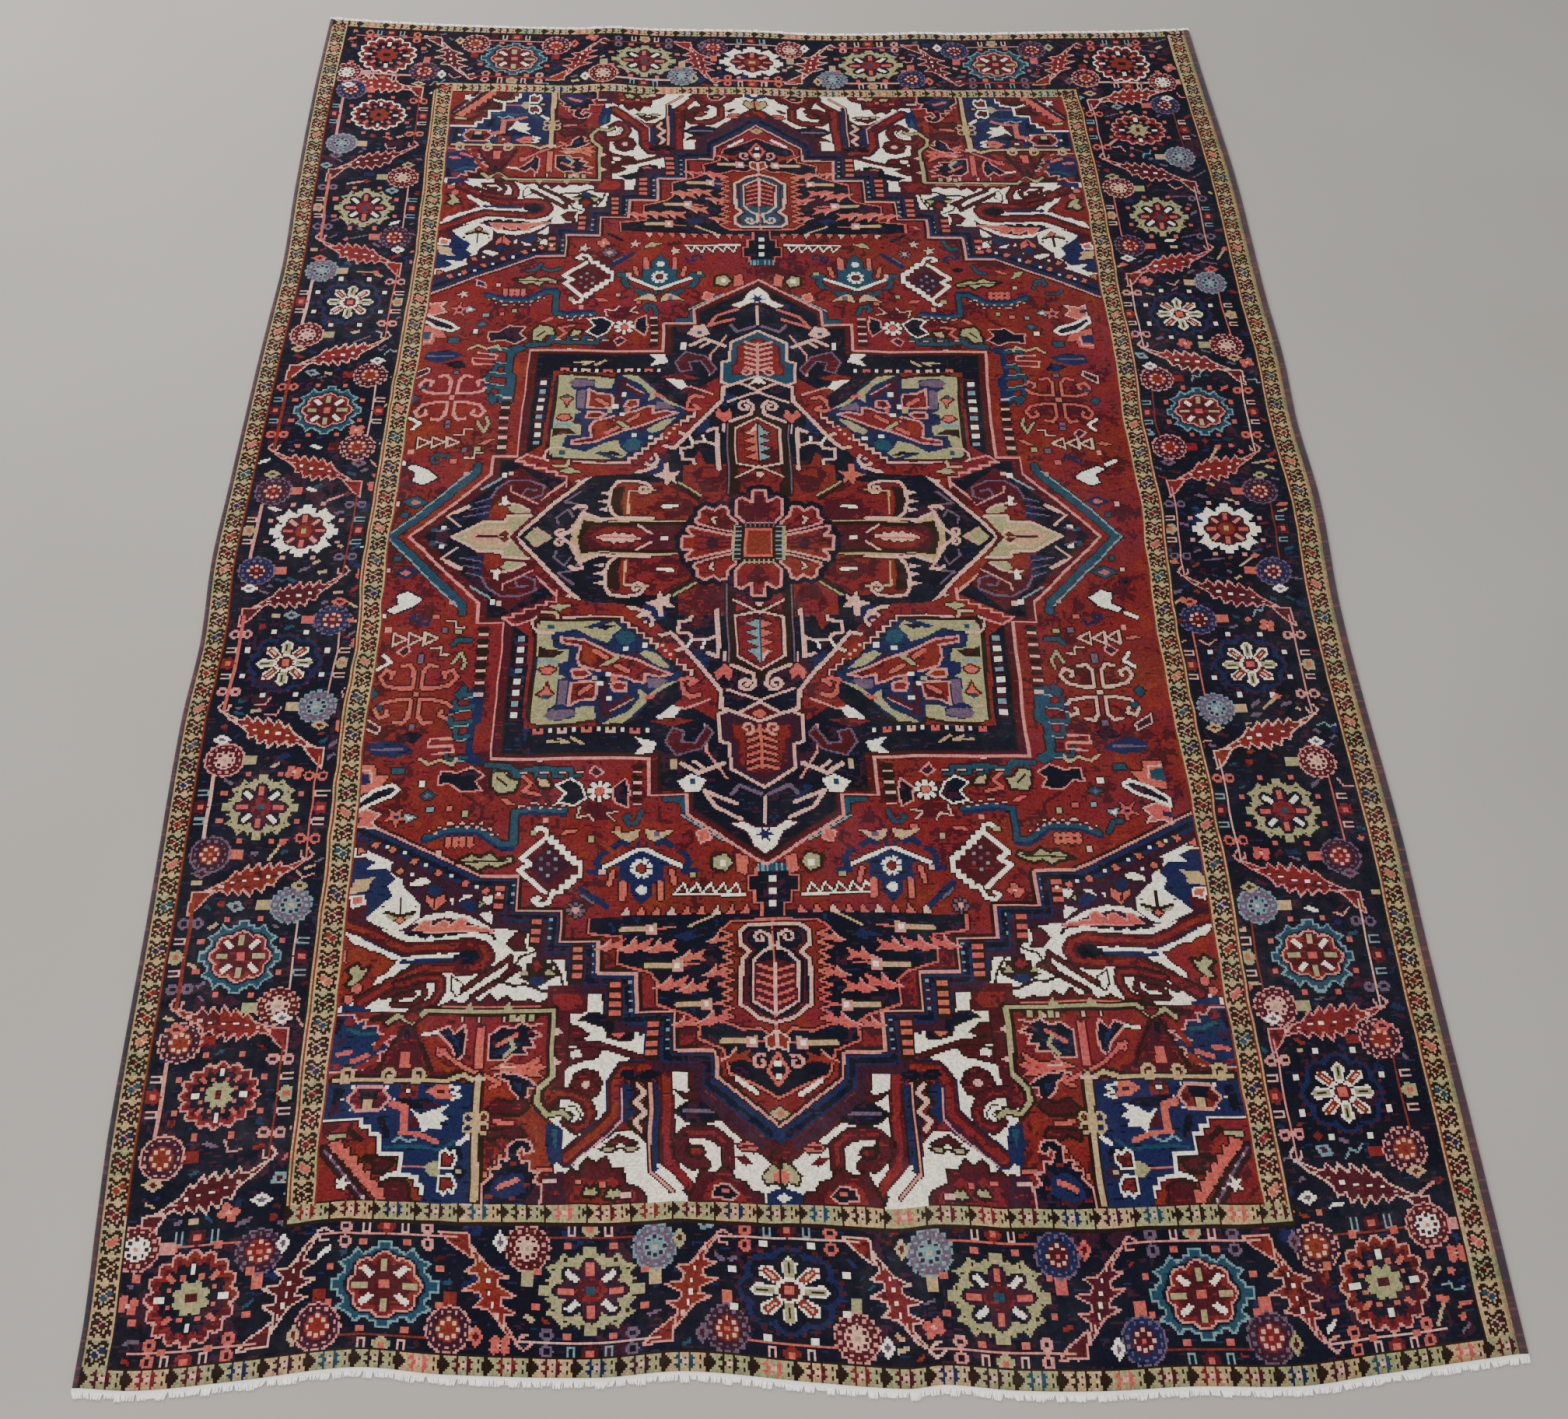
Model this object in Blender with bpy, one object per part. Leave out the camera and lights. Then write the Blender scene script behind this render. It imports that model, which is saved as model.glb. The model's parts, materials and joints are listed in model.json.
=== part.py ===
"""A hand-knotted wool rug, lying flat on a floor.

Metres, +Z up.  +X runs across the rug, +Y along it, and the origin is the
bottom centre of its bounding box.  Five solids: the knotted carpet, the two
overcast selvedges along its sides, and the cotton fringe at each end.
"""
import math

import bmesh
import bpy
from mathutils import Matrix

# ---------------------------------------------------------------- driving sizes
HALF_WIDTH = 1.14            # straight reference line of each long side
HALF_LENGTH = 1.71           # straight reference line of each end
THICKNESS = 0.009            # foundation and pile together
GAP = 0.0003                 # clear gap between touching pieces

ROUND_IN = 0.012             # how far in from the edge the pile is rounded over
ROUND_DROP = 0.0022          # how much lower the pile stands at the very edge
COLUMNS = 30                 # cells across the carpet
ROWS = 44                    # cells along the carpet

SELVEDGE_LEFT = 0.010        # width of the left overcast edge
SELVEDGE_RIGHT = 0.016       # width of the right overcast edge
SELVEDGE_HEIGHT = 0.0086

STRANDS = 140                # strands at each end
STRAND_WIDTH = 0.0080        # a lock of warp ends, at its root
STRAND_TIP = 0.0050          # the same lock at its tip
STRAND_SWAY = 0.0036         # furthest that a tip leans to one side
WEB_WIDTH = 0.0045           # woven strip that carries the strands
WEB_HEIGHT = 0.0035
TIP_HEIGHT = 0.0022

STRAND_LENGTHS = {           # shortest and longest strand beyond the web
    "fringe_front": (0.0070, 0.0120),
    "fringe_back": (0.0085, 0.0125),
}

# How far each edge stands outside its straight reference line, read along the
# edge.  The ends are those of the pile, without the fringe.
LEFT_EDGE = [                # y, out
    (-1.71, 0.004), (-1.60, 0.006), (-1.45, 0.016), (-1.30, 0.024),
    (-0.90, 0.029), (-0.50, 0.037), (-0.30, 0.030), (-0.10, 0.039),
    (0.10, 0.034), (0.45, 0.024), (0.60, 0.018), (0.80, 0.010),
    (1.05, 0.015), (1.40, 0.015), (1.71, 0.007),
]
RIGHT_EDGE = [               # y, out
    (-1.71, 0.004), (-1.40, 0.008), (-1.00, 0.011), (-0.75, 0.016),
    (-0.40, 0.010), (-0.20, 0.012), (0.00, 0.025), (0.10, 0.028),
    (0.30, 0.022), (0.50, 0.029), (0.70, 0.025), (1.10, 0.027),
    (1.30, 0.020), (1.50, 0.011), (1.71, 0.003),
]
FRONT_EDGE = [               # x, out
    (-1.14, 0.004), (-1.05, 0.010), (-0.90, -0.001), (-0.72, -0.018),
    (-0.58, -0.004), (-0.34, 0.006), (-0.20, -0.001), (0.00, 0.020),
    (0.15, 0.033), (0.21, 0.028), (0.32, 0.039), (0.46, 0.043),
    (0.60, 0.039), (0.78, 0.042), (0.90, 0.028), (1.14, 0.001),
]
BACK_EDGE = [                # x, out
    (-1.14, -0.007), (-1.00, -0.020), (-0.80, -0.031), (-0.50, -0.037),
    (-0.40, -0.029), (-0.30, -0.037), (-0.02, -0.039), (0.12, -0.049),
    (0.30, -0.046), (0.43, -0.037), (0.52, -0.040), (0.80, -0.027),
    (1.00, -0.019), (1.14, -0.007),
]

# Low ripples where the cloth stands a little off the floor.  Each is a long
# hump whose crest starts at (x, y) and runs along Y.
RIPPLES = [                  # x, y, half width, half length, height
    (-0.74, -1.42, 0.13, 0.27, 0.0070),
    (-0.20, -1.46, 0.11, 0.22, 0.0050),
    (0.24, -1.47, 0.10, 0.20, 0.0045),
    (-0.38, -0.56, 0.12, 0.24, 0.0045),
    (-0.42, 1.50, 0.12, 0.18, 0.0040),
]

# Overcast edge seen end on: u goes outwards from the carpet, h is the height.
SELVEDGE_PROFILE = [         # u, h
    (0.0, 0.0), (0.86, 0.0), (1.0, 0.42), (0.80, 0.86), (0.46, 1.0), (0.0, 0.84),
]


# ------------------------------------------------------------------ the outline
def table_value(table, at):
    """Smooth value through the rows of a (station, value) table."""
    last = len(table) - 1
    index = 0
    while index < last - 1 and at > table[index + 1][0]:
        index += 1
    before = table[max(index - 1, 0)]
    start = table[index]
    end = table[index + 1]
    after = table[min(index + 2, last)]
    span = end[0] - start[0]
    t = min(max((at - start[0]) / span, 0.0), 1.0)
    slope_start = (end[1] - before[1]) / (end[0] - before[0]) * span
    slope_end = (after[1] - start[1]) / (after[0] - start[0]) * span
    rise = (
        (2 * t**3 - 3 * t**2 + 1) * start[1]
        + (t**3 - 2 * t**2 + t) * slope_start
        + (3 * t**2 - 2 * t**3) * end[1]
        + (t**3 - t**2) * slope_end
    )
    return rise


def left_at(y):
    """x of the selvedge's outer side on the left."""
    return -HALF_WIDTH - table_value(LEFT_EDGE, y)


def right_at(y):
    """x of the selvedge's outer side on the right."""
    return HALF_WIDTH + table_value(RIGHT_EDGE, y)


def front_at(x):
    """y of the pile's end nearest the viewer."""
    return -HALF_LENGTH - table_value(FRONT_EDGE, x)


def back_at(x):
    """y of the pile's far end."""
    return HALF_LENGTH + table_value(BACK_EDGE, x)


def along_at(x, v):
    """y of a place that lies the share v of the way from front to back."""
    return front_at(x) + (back_at(x) - front_at(x)) * v


def lift_at(x, y):
    """How far the ripples raise the cloth off the floor."""
    lift = 0.0
    for crest_x, crest_y, half_width, half_length, height in RIPPLES:
        across = abs(x - crest_x) / half_width
        along = abs(y - crest_y) / half_length
        if across < 1.0 and along < 1.0:
            swell = math.cos(across * math.pi / 2) ** 2
            fade = math.cos(along * math.pi / 2) ** 2
            lift = max(lift, height * swell * fade)
    return lift


# ------------------------------------------------------------------- the pieces
def finish(name, mesh_builder, colour, roughness):
    """Turn a bmesh into a named object with its own material."""
    bmesh.ops.recalc_face_normals(mesh_builder, faces=mesh_builder.faces)
    mesh = bpy.data.meshes.new(name)
    mesh_builder.to_mesh(mesh)
    mesh_builder.free()
    material = bpy.data.materials.new(name)
    material.use_nodes = True
    surface = material.node_tree.nodes["Principled BSDF"]
    surface.inputs["Base Color"].default_value = (*colour, 1.0)
    surface.inputs["Roughness"].default_value = roughness
    surface.inputs["Metallic"].default_value = 0.0
    mesh.materials.append(material)
    piece = bpy.data.objects.new(name, mesh)
    bpy.context.scene.collection.objects.link(piece)
    return piece


def shares(cells, length):
    """Grid lines from 0 to 1, with an extra line close to each border."""
    rim = ROUND_IN / length
    inner = [rim + (1 - 2 * rim) * i / (cells - 2) for i in range(cells - 1)]
    return [0.0] + inner + [1.0]


ACROSS = shares(COLUMNS, 2 * HALF_WIDTH)
ALONG = shares(ROWS, 2 * HALF_LENGTH)


def carpet_place(u, v):
    """x, y of the carpet at the shares u across it and v along it."""
    straight_y = HALF_LENGTH * (2 * v - 1)
    low = left_at(straight_y) + SELVEDGE_LEFT + GAP
    high = right_at(straight_y) - SELVEDGE_RIGHT - GAP
    return low + (high - low) * u, along_at(HALF_WIDTH * (2 * u - 1), v)


def make_carpet():
    """The knotted slab: level on the floor, rounded at its rim, with low ripples."""
    cloth = bmesh.new()
    bmesh.ops.create_grid(cloth, x_segments=COLUMNS, y_segments=ROWS, size=1.0)
    rim = set()
    for vertex in cloth.verts:
        column = round((vertex.co.x + 1) / 2 * COLUMNS)
        row = round((vertex.co.y + 1) / 2 * ROWS)
        x, y = carpet_place(ACROSS[column], ALONG[row])
        vertex.co = (x, y, lift_at(x, y))
        if column in (0, COLUMNS) or row in (0, ROWS):
            rim.add(vertex.co.xy.to_tuple(6))
    raise_top(cloth, THICKNESS, THICKNESS - ROUND_DROP, rim)
    return finish("carpet", cloth, (0.30, 0.045, 0.035), 0.9)


def raise_top(flat, height, low_height, low_places):
    """Give a flat sheet its thickness, a little less at the named places."""
    raised = bmesh.ops.extrude_face_region(flat, geom=flat.faces[:])
    for item in raised["geom"]:
        if isinstance(item, bmesh.types.BMVert):
            low = item.co.xy.to_tuple(6) in low_places
            item.co.z += low_height if low else height
    bmesh.ops.triangulate(flat, faces=flat.faces[:])


def make_selvedge(name, edge_at, side, width):
    """Overcast cord along one long side, with a flat foot and a round back."""
    cord = bmesh.new()
    rings = []
    for v in ALONG:
        inner = edge_at(HALF_LENGTH * (2 * v - 1)) - side * width
        y = along_at(side * HALF_WIDTH, v)
        ring = [
            cord.verts.new((inner + side * width * u, y, h * SELVEDGE_HEIGHT))
            for u, h in SELVEDGE_PROFILE
        ]
        rings.append(ring)
    corners = len(SELVEDGE_PROFILE)
    for ring, following in zip(rings, rings[1:]):
        for corner in range(corners):
            beside = (corner + 1) % corners
            cord.faces.new((ring[corner], ring[beside], following[beside], following[corner]))
    cord.faces.new(rings[0])
    cord.faces.new(rings[-1])
    bmesh.ops.triangulate(cord, faces=cord.faces[:])
    return finish(name, cord, (0.035, 0.012, 0.022), 0.85)


def strand_numbers(index, phase):
    """A fixed, uneven share 0..1 for the length and -1..1 for the lean."""
    length = 0.5 + 0.5 * math.sin(index * 2.399 + phase) * math.cos(index * 0.71 + phase)
    lean = math.sin(index * 1.713 + 2 * phase) * math.cos(index * 0.37)
    return length, lean


def end_line(v):
    """The cloth's end as points from the left selvedge's outside to the right one's."""
    line = [carpet_place(u, v) for u in ACROSS]
    straight_y = HALF_LENGTH * (2 * v - 1)
    left = (left_at(straight_y), line[0][1])
    right = (right_at(straight_y), line[-1][1])
    return [left] + line + [right]


def height_on(line, x):
    """y of a line of points at x."""
    for (x_a, y_a), (x_b, y_b) in zip(line, line[1:]):
        if x <= x_b:
            return y_a + (y_b - y_a) * (x - x_a) / (x_b - x_a)
    return line[-1][1]


def make_fringe(name, v, outward, phase):
    """Cotton end web with its strands, all lying level on the floor."""
    shortest, longest = STRAND_LENGTHS[name]
    line = end_line(v)
    low = line[0][0]
    pitch = (line[-1][0] - low) / STRANDS
    comb = bmesh.new()

    def web_pair(x):
        inner = height_on(line, x) + outward * GAP
        return comb.verts.new((x, inner, 0.0)), comb.verts.new((x, inner + outward * WEB_WIDTH, 0.0))

    tips = set()
    previous = web_pair(low)
    for index in range(STRANDS):
        length_share, lean = strand_numbers(index, phase)
        middle = low + pitch * (index + 0.5)
        root_a = web_pair(middle - STRAND_WIDTH / 2)
        root_b = web_pair(middle + STRAND_WIDTH / 2)
        length = shortest + (longest - shortest) * length_share
        tip_x = middle + lean * STRAND_SWAY
        tip_y = (root_a[1].co.y + root_b[1].co.y) / 2 + outward * length
        tip_a = comb.verts.new((tip_x - STRAND_TIP / 2, tip_y, 0.0))
        tip_b = comb.verts.new((tip_x + STRAND_TIP / 2, tip_y, 0.0))
        comb.faces.new((previous[0], root_a[0], root_a[1], previous[1]))
        comb.faces.new((root_a[0], root_b[0], root_b[1], root_a[1]))
        comb.faces.new((root_a[1], root_b[1], tip_b, tip_a))
        tips.update((tip_a.co.xy.to_tuple(6), tip_b.co.xy.to_tuple(6)))
        previous = root_b
    last = web_pair(line[-1][0])
    comb.faces.new((previous[0], last[0], last[1], previous[1]))
    raise_top(comb, WEB_HEIGHT, TIP_HEIGHT, tips)
    return finish(name, comb, (0.72, 0.69, 0.62), 0.8)


def centre(pieces):
    """Move the whole rug so that its box stands centred on the origin."""
    places = [vertex.co for piece in pieces for vertex in piece.data.vertices]
    middle_x = (min(place.x for place in places) + max(place.x for place in places)) / 2
    middle_y = (min(place.y for place in places) + max(place.y for place in places)) / 2
    for piece in pieces:
        piece.data.transform(Matrix.Translation((-middle_x, -middle_y, 0.0)))


def main():
    for leftover in list(bpy.data.objects):
        bpy.data.objects.remove(leftover, do_unlink=True)
    pieces = [
        make_carpet(),
        make_selvedge("selvedge_left", left_at, -1, SELVEDGE_LEFT),
        make_selvedge("selvedge_right", right_at, 1, SELVEDGE_RIGHT),
        make_fringe("fringe_front", 0.0, -1, 0.4),
        make_fringe("fringe_back", 1.0, 1, 1.9),
    ]
    centre(pieces)


main()
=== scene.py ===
import json
import math

import bmesh
import bpy
import numpy as np
from mathutils import Matrix, Vector

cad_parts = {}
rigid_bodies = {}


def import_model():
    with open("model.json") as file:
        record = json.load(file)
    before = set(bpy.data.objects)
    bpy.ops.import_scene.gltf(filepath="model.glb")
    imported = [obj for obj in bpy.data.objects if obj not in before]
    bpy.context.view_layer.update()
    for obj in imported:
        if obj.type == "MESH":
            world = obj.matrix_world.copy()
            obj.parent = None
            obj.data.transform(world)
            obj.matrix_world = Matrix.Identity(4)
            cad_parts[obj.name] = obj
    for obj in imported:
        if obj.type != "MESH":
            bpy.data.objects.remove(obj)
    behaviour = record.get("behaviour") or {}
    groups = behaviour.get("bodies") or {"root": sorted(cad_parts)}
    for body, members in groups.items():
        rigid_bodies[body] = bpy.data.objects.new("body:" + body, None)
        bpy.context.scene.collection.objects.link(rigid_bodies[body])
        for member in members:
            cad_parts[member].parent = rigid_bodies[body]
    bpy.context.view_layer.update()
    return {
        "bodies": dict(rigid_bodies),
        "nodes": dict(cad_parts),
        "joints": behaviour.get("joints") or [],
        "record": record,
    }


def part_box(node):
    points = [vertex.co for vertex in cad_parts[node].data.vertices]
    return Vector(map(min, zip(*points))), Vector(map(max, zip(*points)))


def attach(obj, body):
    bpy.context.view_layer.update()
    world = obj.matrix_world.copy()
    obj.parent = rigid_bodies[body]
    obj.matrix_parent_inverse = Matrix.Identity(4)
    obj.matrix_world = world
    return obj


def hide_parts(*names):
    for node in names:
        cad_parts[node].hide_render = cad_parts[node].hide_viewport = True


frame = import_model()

# A hand-knotted wool rug on a pale floor.  Metres, +X across, +Y along it.
# The chart of its pattern is in centimetres from the middle of the rug.

# ------------------------------------------------------------ sizes, as in the CAD
HALF_WIDTH = 1.14
HALF_LENGTH = 1.71
THICKNESS = 0.009
GAP = 0.0003
ROUND_IN = 0.012
ROUND_DROP = 0.0022
COLUMNS = 30
ROWS = 44
SELVEDGE_LEFT = 0.010
SELVEDGE_RIGHT = 0.016
SELVEDGE_HEIGHT = 0.0086
STRANDS = 140
STRAND_SWAY = 0.0036
WEB_WIDTH = 0.0045
WEB_HEIGHT = 0.0035
TIP_HEIGHT = 0.0022
STRAND_LENGTHS = {"fringe_front": (0.0070, 0.0120), "fringe_back": (0.0085, 0.0125)}

LEFT_EDGE = [                # y, out
    (-1.71, 0.004), (-1.60, 0.006), (-1.45, 0.016), (-1.30, 0.024), (-0.90, 0.029),
    (-0.50, 0.037), (-0.30, 0.030), (-0.10, 0.039), (0.10, 0.034), (0.45, 0.024),
    (0.60, 0.018), (0.80, 0.010), (1.05, 0.015), (1.40, 0.015), (1.71, 0.007),
]
RIGHT_EDGE = [               # y, out
    (-1.71, 0.004), (-1.40, 0.008), (-1.00, 0.011), (-0.75, 0.016), (-0.40, 0.010),
    (-0.20, 0.012), (0.00, 0.025), (0.10, 0.028), (0.30, 0.022), (0.50, 0.029),
    (0.70, 0.025), (1.10, 0.027), (1.30, 0.020), (1.50, 0.011), (1.71, 0.003),
]
FRONT_EDGE = [               # x, out
    (-1.14, 0.004), (-1.05, 0.010), (-0.90, -0.001), (-0.72, -0.018), (-0.58, -0.004),
    (-0.34, 0.006), (-0.20, -0.001), (0.00, 0.020), (0.15, 0.033), (0.21, 0.028), (0.32, 0.039),
    (0.46, 0.043), (0.60, 0.039), (0.78, 0.042), (0.90, 0.028), (1.14, 0.001),
]
BACK_EDGE = [                # x, out
    (-1.14, -0.007), (-1.00, -0.020), (-0.80, -0.031), (-0.50, -0.037), (-0.40, -0.029),
    (-0.30, -0.037), (-0.02, -0.039), (0.12, -0.049), (0.30, -0.046), (0.43, -0.037),
    (0.52, -0.040), (0.80, -0.027), (1.00, -0.019), (1.14, -0.007),
]
RIPPLES = [                  # x, y, half width, half length, height
    (-0.74, -1.42, 0.13, 0.27, 0.0070),
    (-0.20, -1.46, 0.11, 0.22, 0.0050),
    (0.24, -1.47, 0.10, 0.20, 0.0045),
    (-0.38, -0.56, 0.12, 0.24, 0.0045),
    (-0.42, 1.50, 0.12, 0.18, 0.0040),
]
SELVEDGE_PROFILE = [         # u, h
    (0.0, 0.0), (0.86, 0.0), (1.0, 0.42), (0.80, 0.86), (0.46, 1.0), (0.0, 0.84),
]


def table_value(table, at):
    """Smooth value through the rows of a (station, value) table."""
    last = len(table) - 1
    index = 0
    while index < last - 1 and at > table[index + 1][0]:
        index += 1
    before, start, end = table[max(index - 1, 0)], table[index], table[index + 1]
    after = table[min(index + 2, last)]
    span = end[0] - start[0]
    t = min(max((at - start[0]) / span, 0.0), 1.0)
    slope_start = (end[1] - before[1]) / (end[0] - before[0]) * span
    slope_end = (after[1] - start[1]) / (after[0] - start[0]) * span
    return ((2 * t**3 - 3 * t**2 + 1) * start[1] + (t**3 - 2 * t**2 + t) * slope_start
            + (3 * t**2 - 2 * t**3) * end[1] + (t**3 - t**2) * slope_end)


def left_at(y):
    """x of the left selvedge's outer side."""
    return -HALF_WIDTH - table_value(LEFT_EDGE, y)


def right_at(y):
    """x of the right selvedge's outer side."""
    return HALF_WIDTH + table_value(RIGHT_EDGE, y)


def front_at(x):
    """y of the pile's near end."""
    return -HALF_LENGTH - table_value(FRONT_EDGE, x)


def back_at(x):
    """y of the pile's far end."""
    return HALF_LENGTH + table_value(BACK_EDGE, x)


def lift_at(x, y):
    """How far the ripples raise the cloth off the floor."""
    lift = np.zeros(np.broadcast(x, y).shape)
    for crest_x, crest_y, half_width, half_length, height in RIPPLES:
        across = np.clip(np.abs(x - crest_x) / half_width, 0, 1)
        along = np.clip(np.abs(y - crest_y) / half_length, 0, 1)
        lift = np.maximum(lift,
                          height * np.cos(across * math.pi / 2) ** 2 * np.cos(along * math.pi / 2) ** 2)
    return lift


def rim_shares(cells, length):
    """The CAD's grid lines: even, with an extra line close to each border."""
    rim = ROUND_IN / length
    return [0.0] + [rim + (1 - 2 * rim) * i / (cells - 2) for i in range(cells - 1)] + [1.0]


def shift_to_cad():
    """The move that centres the rug on its box, as the CAD was centred."""
    xs, ys = [], []
    for v in rim_shares(ROWS, 2 * HALF_LENGTH):
        y = HALF_LENGTH * (2 * v - 1)
        xs += [left_at(y) + SELVEDGE_LEFT + GAP, right_at(y) - SELVEDGE_RIGHT - GAP]
    for u in rim_shares(COLUMNS, 2 * HALF_WIDTH):
        x = HALF_WIDTH * (2 * u - 1)
        ys += [front_at(x), back_at(x)]
    low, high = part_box("carpet")
    return np.array([(low.x + high.x - min(xs) - max(xs)) / 2, (low.y + high.y - min(ys) - max(ys)) / 2,
                     0.0])


SHIFT = shift_to_cad()

# ------------------------------------------------------------------ dyed yarns
YARNS = {                      # name: sRGB 0..255
    "night": (10, 10, 23), "indigo": (19, 27, 66), "teal": (22, 55, 74), "sky": (92, 124, 134),
    "red": (108, 26, 26), "wine": (68, 16, 24), "coral": (172, 76, 66), "pink": (182, 112, 106),
    "ivory": (226, 221, 203), "camel": (172, 145, 106), "sage": (142, 138, 101), "bark": (31, 18, 13),
    "plum": (44, 17, 34), "mauve": (92, 70, 92), "brick": (116, 37, 24), "peach": (195, 150, 135),
}
OTHER_LOTS = {                 # the same yarns from the next dye bath
    "night": (10, 16, 32), "indigo": (24, 30, 62), "teal": (31, 62, 76), "sky": (106, 128, 128),
    "red": (95, 26, 28), "wine": (59, 17, 25), "coral": (164, 79, 69), "pink": (181, 120, 108),
    "ivory": (216, 208, 186), "camel": (154, 128, 88), "sage": (134, 130, 90), "bark": (38, 24, 18),
    "plum": (50, 21, 36), "mauve": (86, 72, 86), "brick": (102, 37, 26), "peach": (191, 144, 127),
}
(NIGHT, INDIGO, TEAL, SKY, RED, WINE, CORAL, PINK,
 IVORY, CAMEL, SAGE, BARK, PLUM, MAUVE, BRICK, PEACH) = range(len(YARNS))

# ------------------------------------------------------------------- the chart
PILE_LEFT, PILE_RIGHT = -113.0, 112.4      # cm, the straight sides of the chart
PILE_FRONT, PILE_BACK = -171.0, 169.4      # cm, its straight ends
BLOCK = 4                                  # knots of one cell of the cloth, each way
YARN_ROOM = 16                             # yarns that one digit of a cell's number can tell apart
CELLS_ACROSS, CELLS_ALONG = 172, 260
KNOTS_ACROSS, KNOTS_ALONG = CELLS_ACROSS * BLOCK, CELLS_ALONG * BLOCK
KNOT_X = (PILE_RIGHT - PILE_LEFT) / KNOTS_ACROSS
KNOT_Y = (PILE_BACK - PILE_FRONT) / KNOTS_ALONG
LINE = 0.50                                # cm, the usual outline


class Pen:
    """Draws on the weaver's chart in centimetres, in a place and direction of its own."""

    def __init__(self, knots, place=(0.0, 0.0), right=(1.0, 0.0), up=(0.0, 1.0)):
        self.knots = knots
        self.place = np.array(place, float)
        self.right = np.array(right, float)
        self.up = np.array(up, float)

    def at(self, x, y, turn=0.0, flip=1, size=1.0):
        """The same pen moved, turned (degrees), mirrored and scaled."""
        c, s = math.cos(math.radians(turn)), math.sin(math.radians(turn))
        right = (self.right * c + self.up * s) * size
        up = (self.up * c - self.right * s) * size
        return Pen(self.knots, self.place + self.right * x + self.up * y, right * flip, up)

    def sides(self):
        """This pen and its mirror image."""
        return self, self.at(0, 0, flip=-1)

    def quarters(self):
        """The four pens of a fourfold pattern."""
        return [self.at(0, 0, turn, flip) for turn, flip in ((0, 1), (0, -1), (180, 1), (180, -1))]

    def plan(self, points):
        points = np.asarray(points, float)
        return self.place + points[:, :1] * self.right + points[:, 1:] * self.up

    def window(self, plan, margin):
        """The part of the chart around some points, with the place of each knot in it."""
        low = plan.min(axis=0) - margin
        high = plan.max(axis=0) + margin
        a = max(int((low[0] - PILE_LEFT) / KNOT_X), 0)
        b = min(int((high[0] - PILE_LEFT) / KNOT_X) + 1, KNOTS_ACROSS)
        c = max(int((low[1] - PILE_FRONT) / KNOT_Y), 0)
        d = min(int((high[1] - PILE_FRONT) / KNOT_Y) + 1, KNOTS_ALONG)
        x = PILE_LEFT + (np.arange(a, b) + 0.5) * KNOT_X
        y = PILE_FRONT + (np.arange(c, d) + 0.5) * KNOT_Y
        return self.knots[c:d, a:b], x[None, :], y[:, None]

    def bare(self, reach, rise, ground, share):
        """Whether nearly all knots around the pen's place still are of the ground's yarn."""
        knots, _, _ = self.window(self.place + np.array([(-reach, -rise), (reach, rise)]), 0.0)
        return knots.size > 0 and (knots == ground).mean() > share

    def fill(self, points, yarn):
        """A plain patch inside a closed outline."""
        plan = self.plan(points)
        knots, x, y = self.window(plan, 0.0)
        if knots.size == 0:
            return
        inside = np.zeros(knots.shape, bool)
        for (xa, ya), (xb, yb) in zip(plan, np.roll(plan, -1, axis=0)):
            if ya != yb:
                crossed = (ya > y) != (yb > y)
                inside ^= crossed & (x < xa + (y - ya) * (xb - xa) / (yb - ya))
        knots[inside] = yarn

    def line(self, points, yarn, width=LINE, closed=False):
        """A line of even width through the points."""
        plan = self.plan(points)
        ends = np.roll(plan, -1, axis=0) if closed else plan[1:]
        for start, end in zip(plan, ends):
            knots, x, y = self.window(np.array([start, end]), width)
            if knots.size == 0:
                continue
            run = end - start
            length = max(float(run @ run), 1e-9)
            t = ((x - start[0]) * run[0] + (y - start[1]) * run[1]) / length
            t = t.clip(0.0, 1.0)
            gap_x = x - start[0] - t * run[0]
            gap_y = y - start[1] - t * run[1]
            knots[gap_x**2 + gap_y**2 <= (width / 2) ** 2] = yarn

    def bands(self, points, *bands, closed=False):
        """Lines of several yarns on the same course, the widest first."""
        for yarn, width in bands:
            self.line(points, yarn, width, closed)

    def edged(self, points, yarn, edge, width=LINE):
        """A patch with an outline of another yarn."""
        self.fill(points, yarn)
        self.line(points, edge, width, closed=True)

    def box(self, x, y, wide, high, yarn, turn=0.0):
        w, h = wide / 2, high / 2
        self.at(x, y, turn).fill([(-w, -h), (w, -h), (w, h), (-w, h)], yarn)

    def disc(self, x, y, radius, yarn, squash=1.0):
        self.at(x, y).fill(lobes(radius, 0.0, 4, squash=squash), yarn)

    def diamond(self, x, y, wide, high, yarn):
        w, h = wide / 2, high / 2
        self.at(x, y).fill([(-w, 0), (0, -h), (w, 0), (0, h)], yarn)


# ------------------------------------------------------------- outlines by rule
def lobes(radius, depth, count, turn=0.0, squash=1.0, steps=8):
    """A round outline with the given number of petals; depth 0 is a plain round."""
    points = []
    for i in range(count * steps):
        angle = 2 * math.pi * i / (count * steps)
        swell = abs(math.cos(count * angle / 2))
        r = radius * (1 - depth * (1 - swell))
        angle += math.radians(turn)
        points.append((r * math.cos(angle), r * math.sin(angle) * squash))
    return points


def star(outer, inner, count, turn=0.0):
    """A pointed outline: count tips at the outer radius, notches at the inner one."""
    points = []
    for i in range(2 * count):
        angle = math.pi * i / count + math.radians(turn)
        r = inner if i % 2 else outer
        points.append((r * math.cos(angle), r * math.sin(angle)))
    return points


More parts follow.
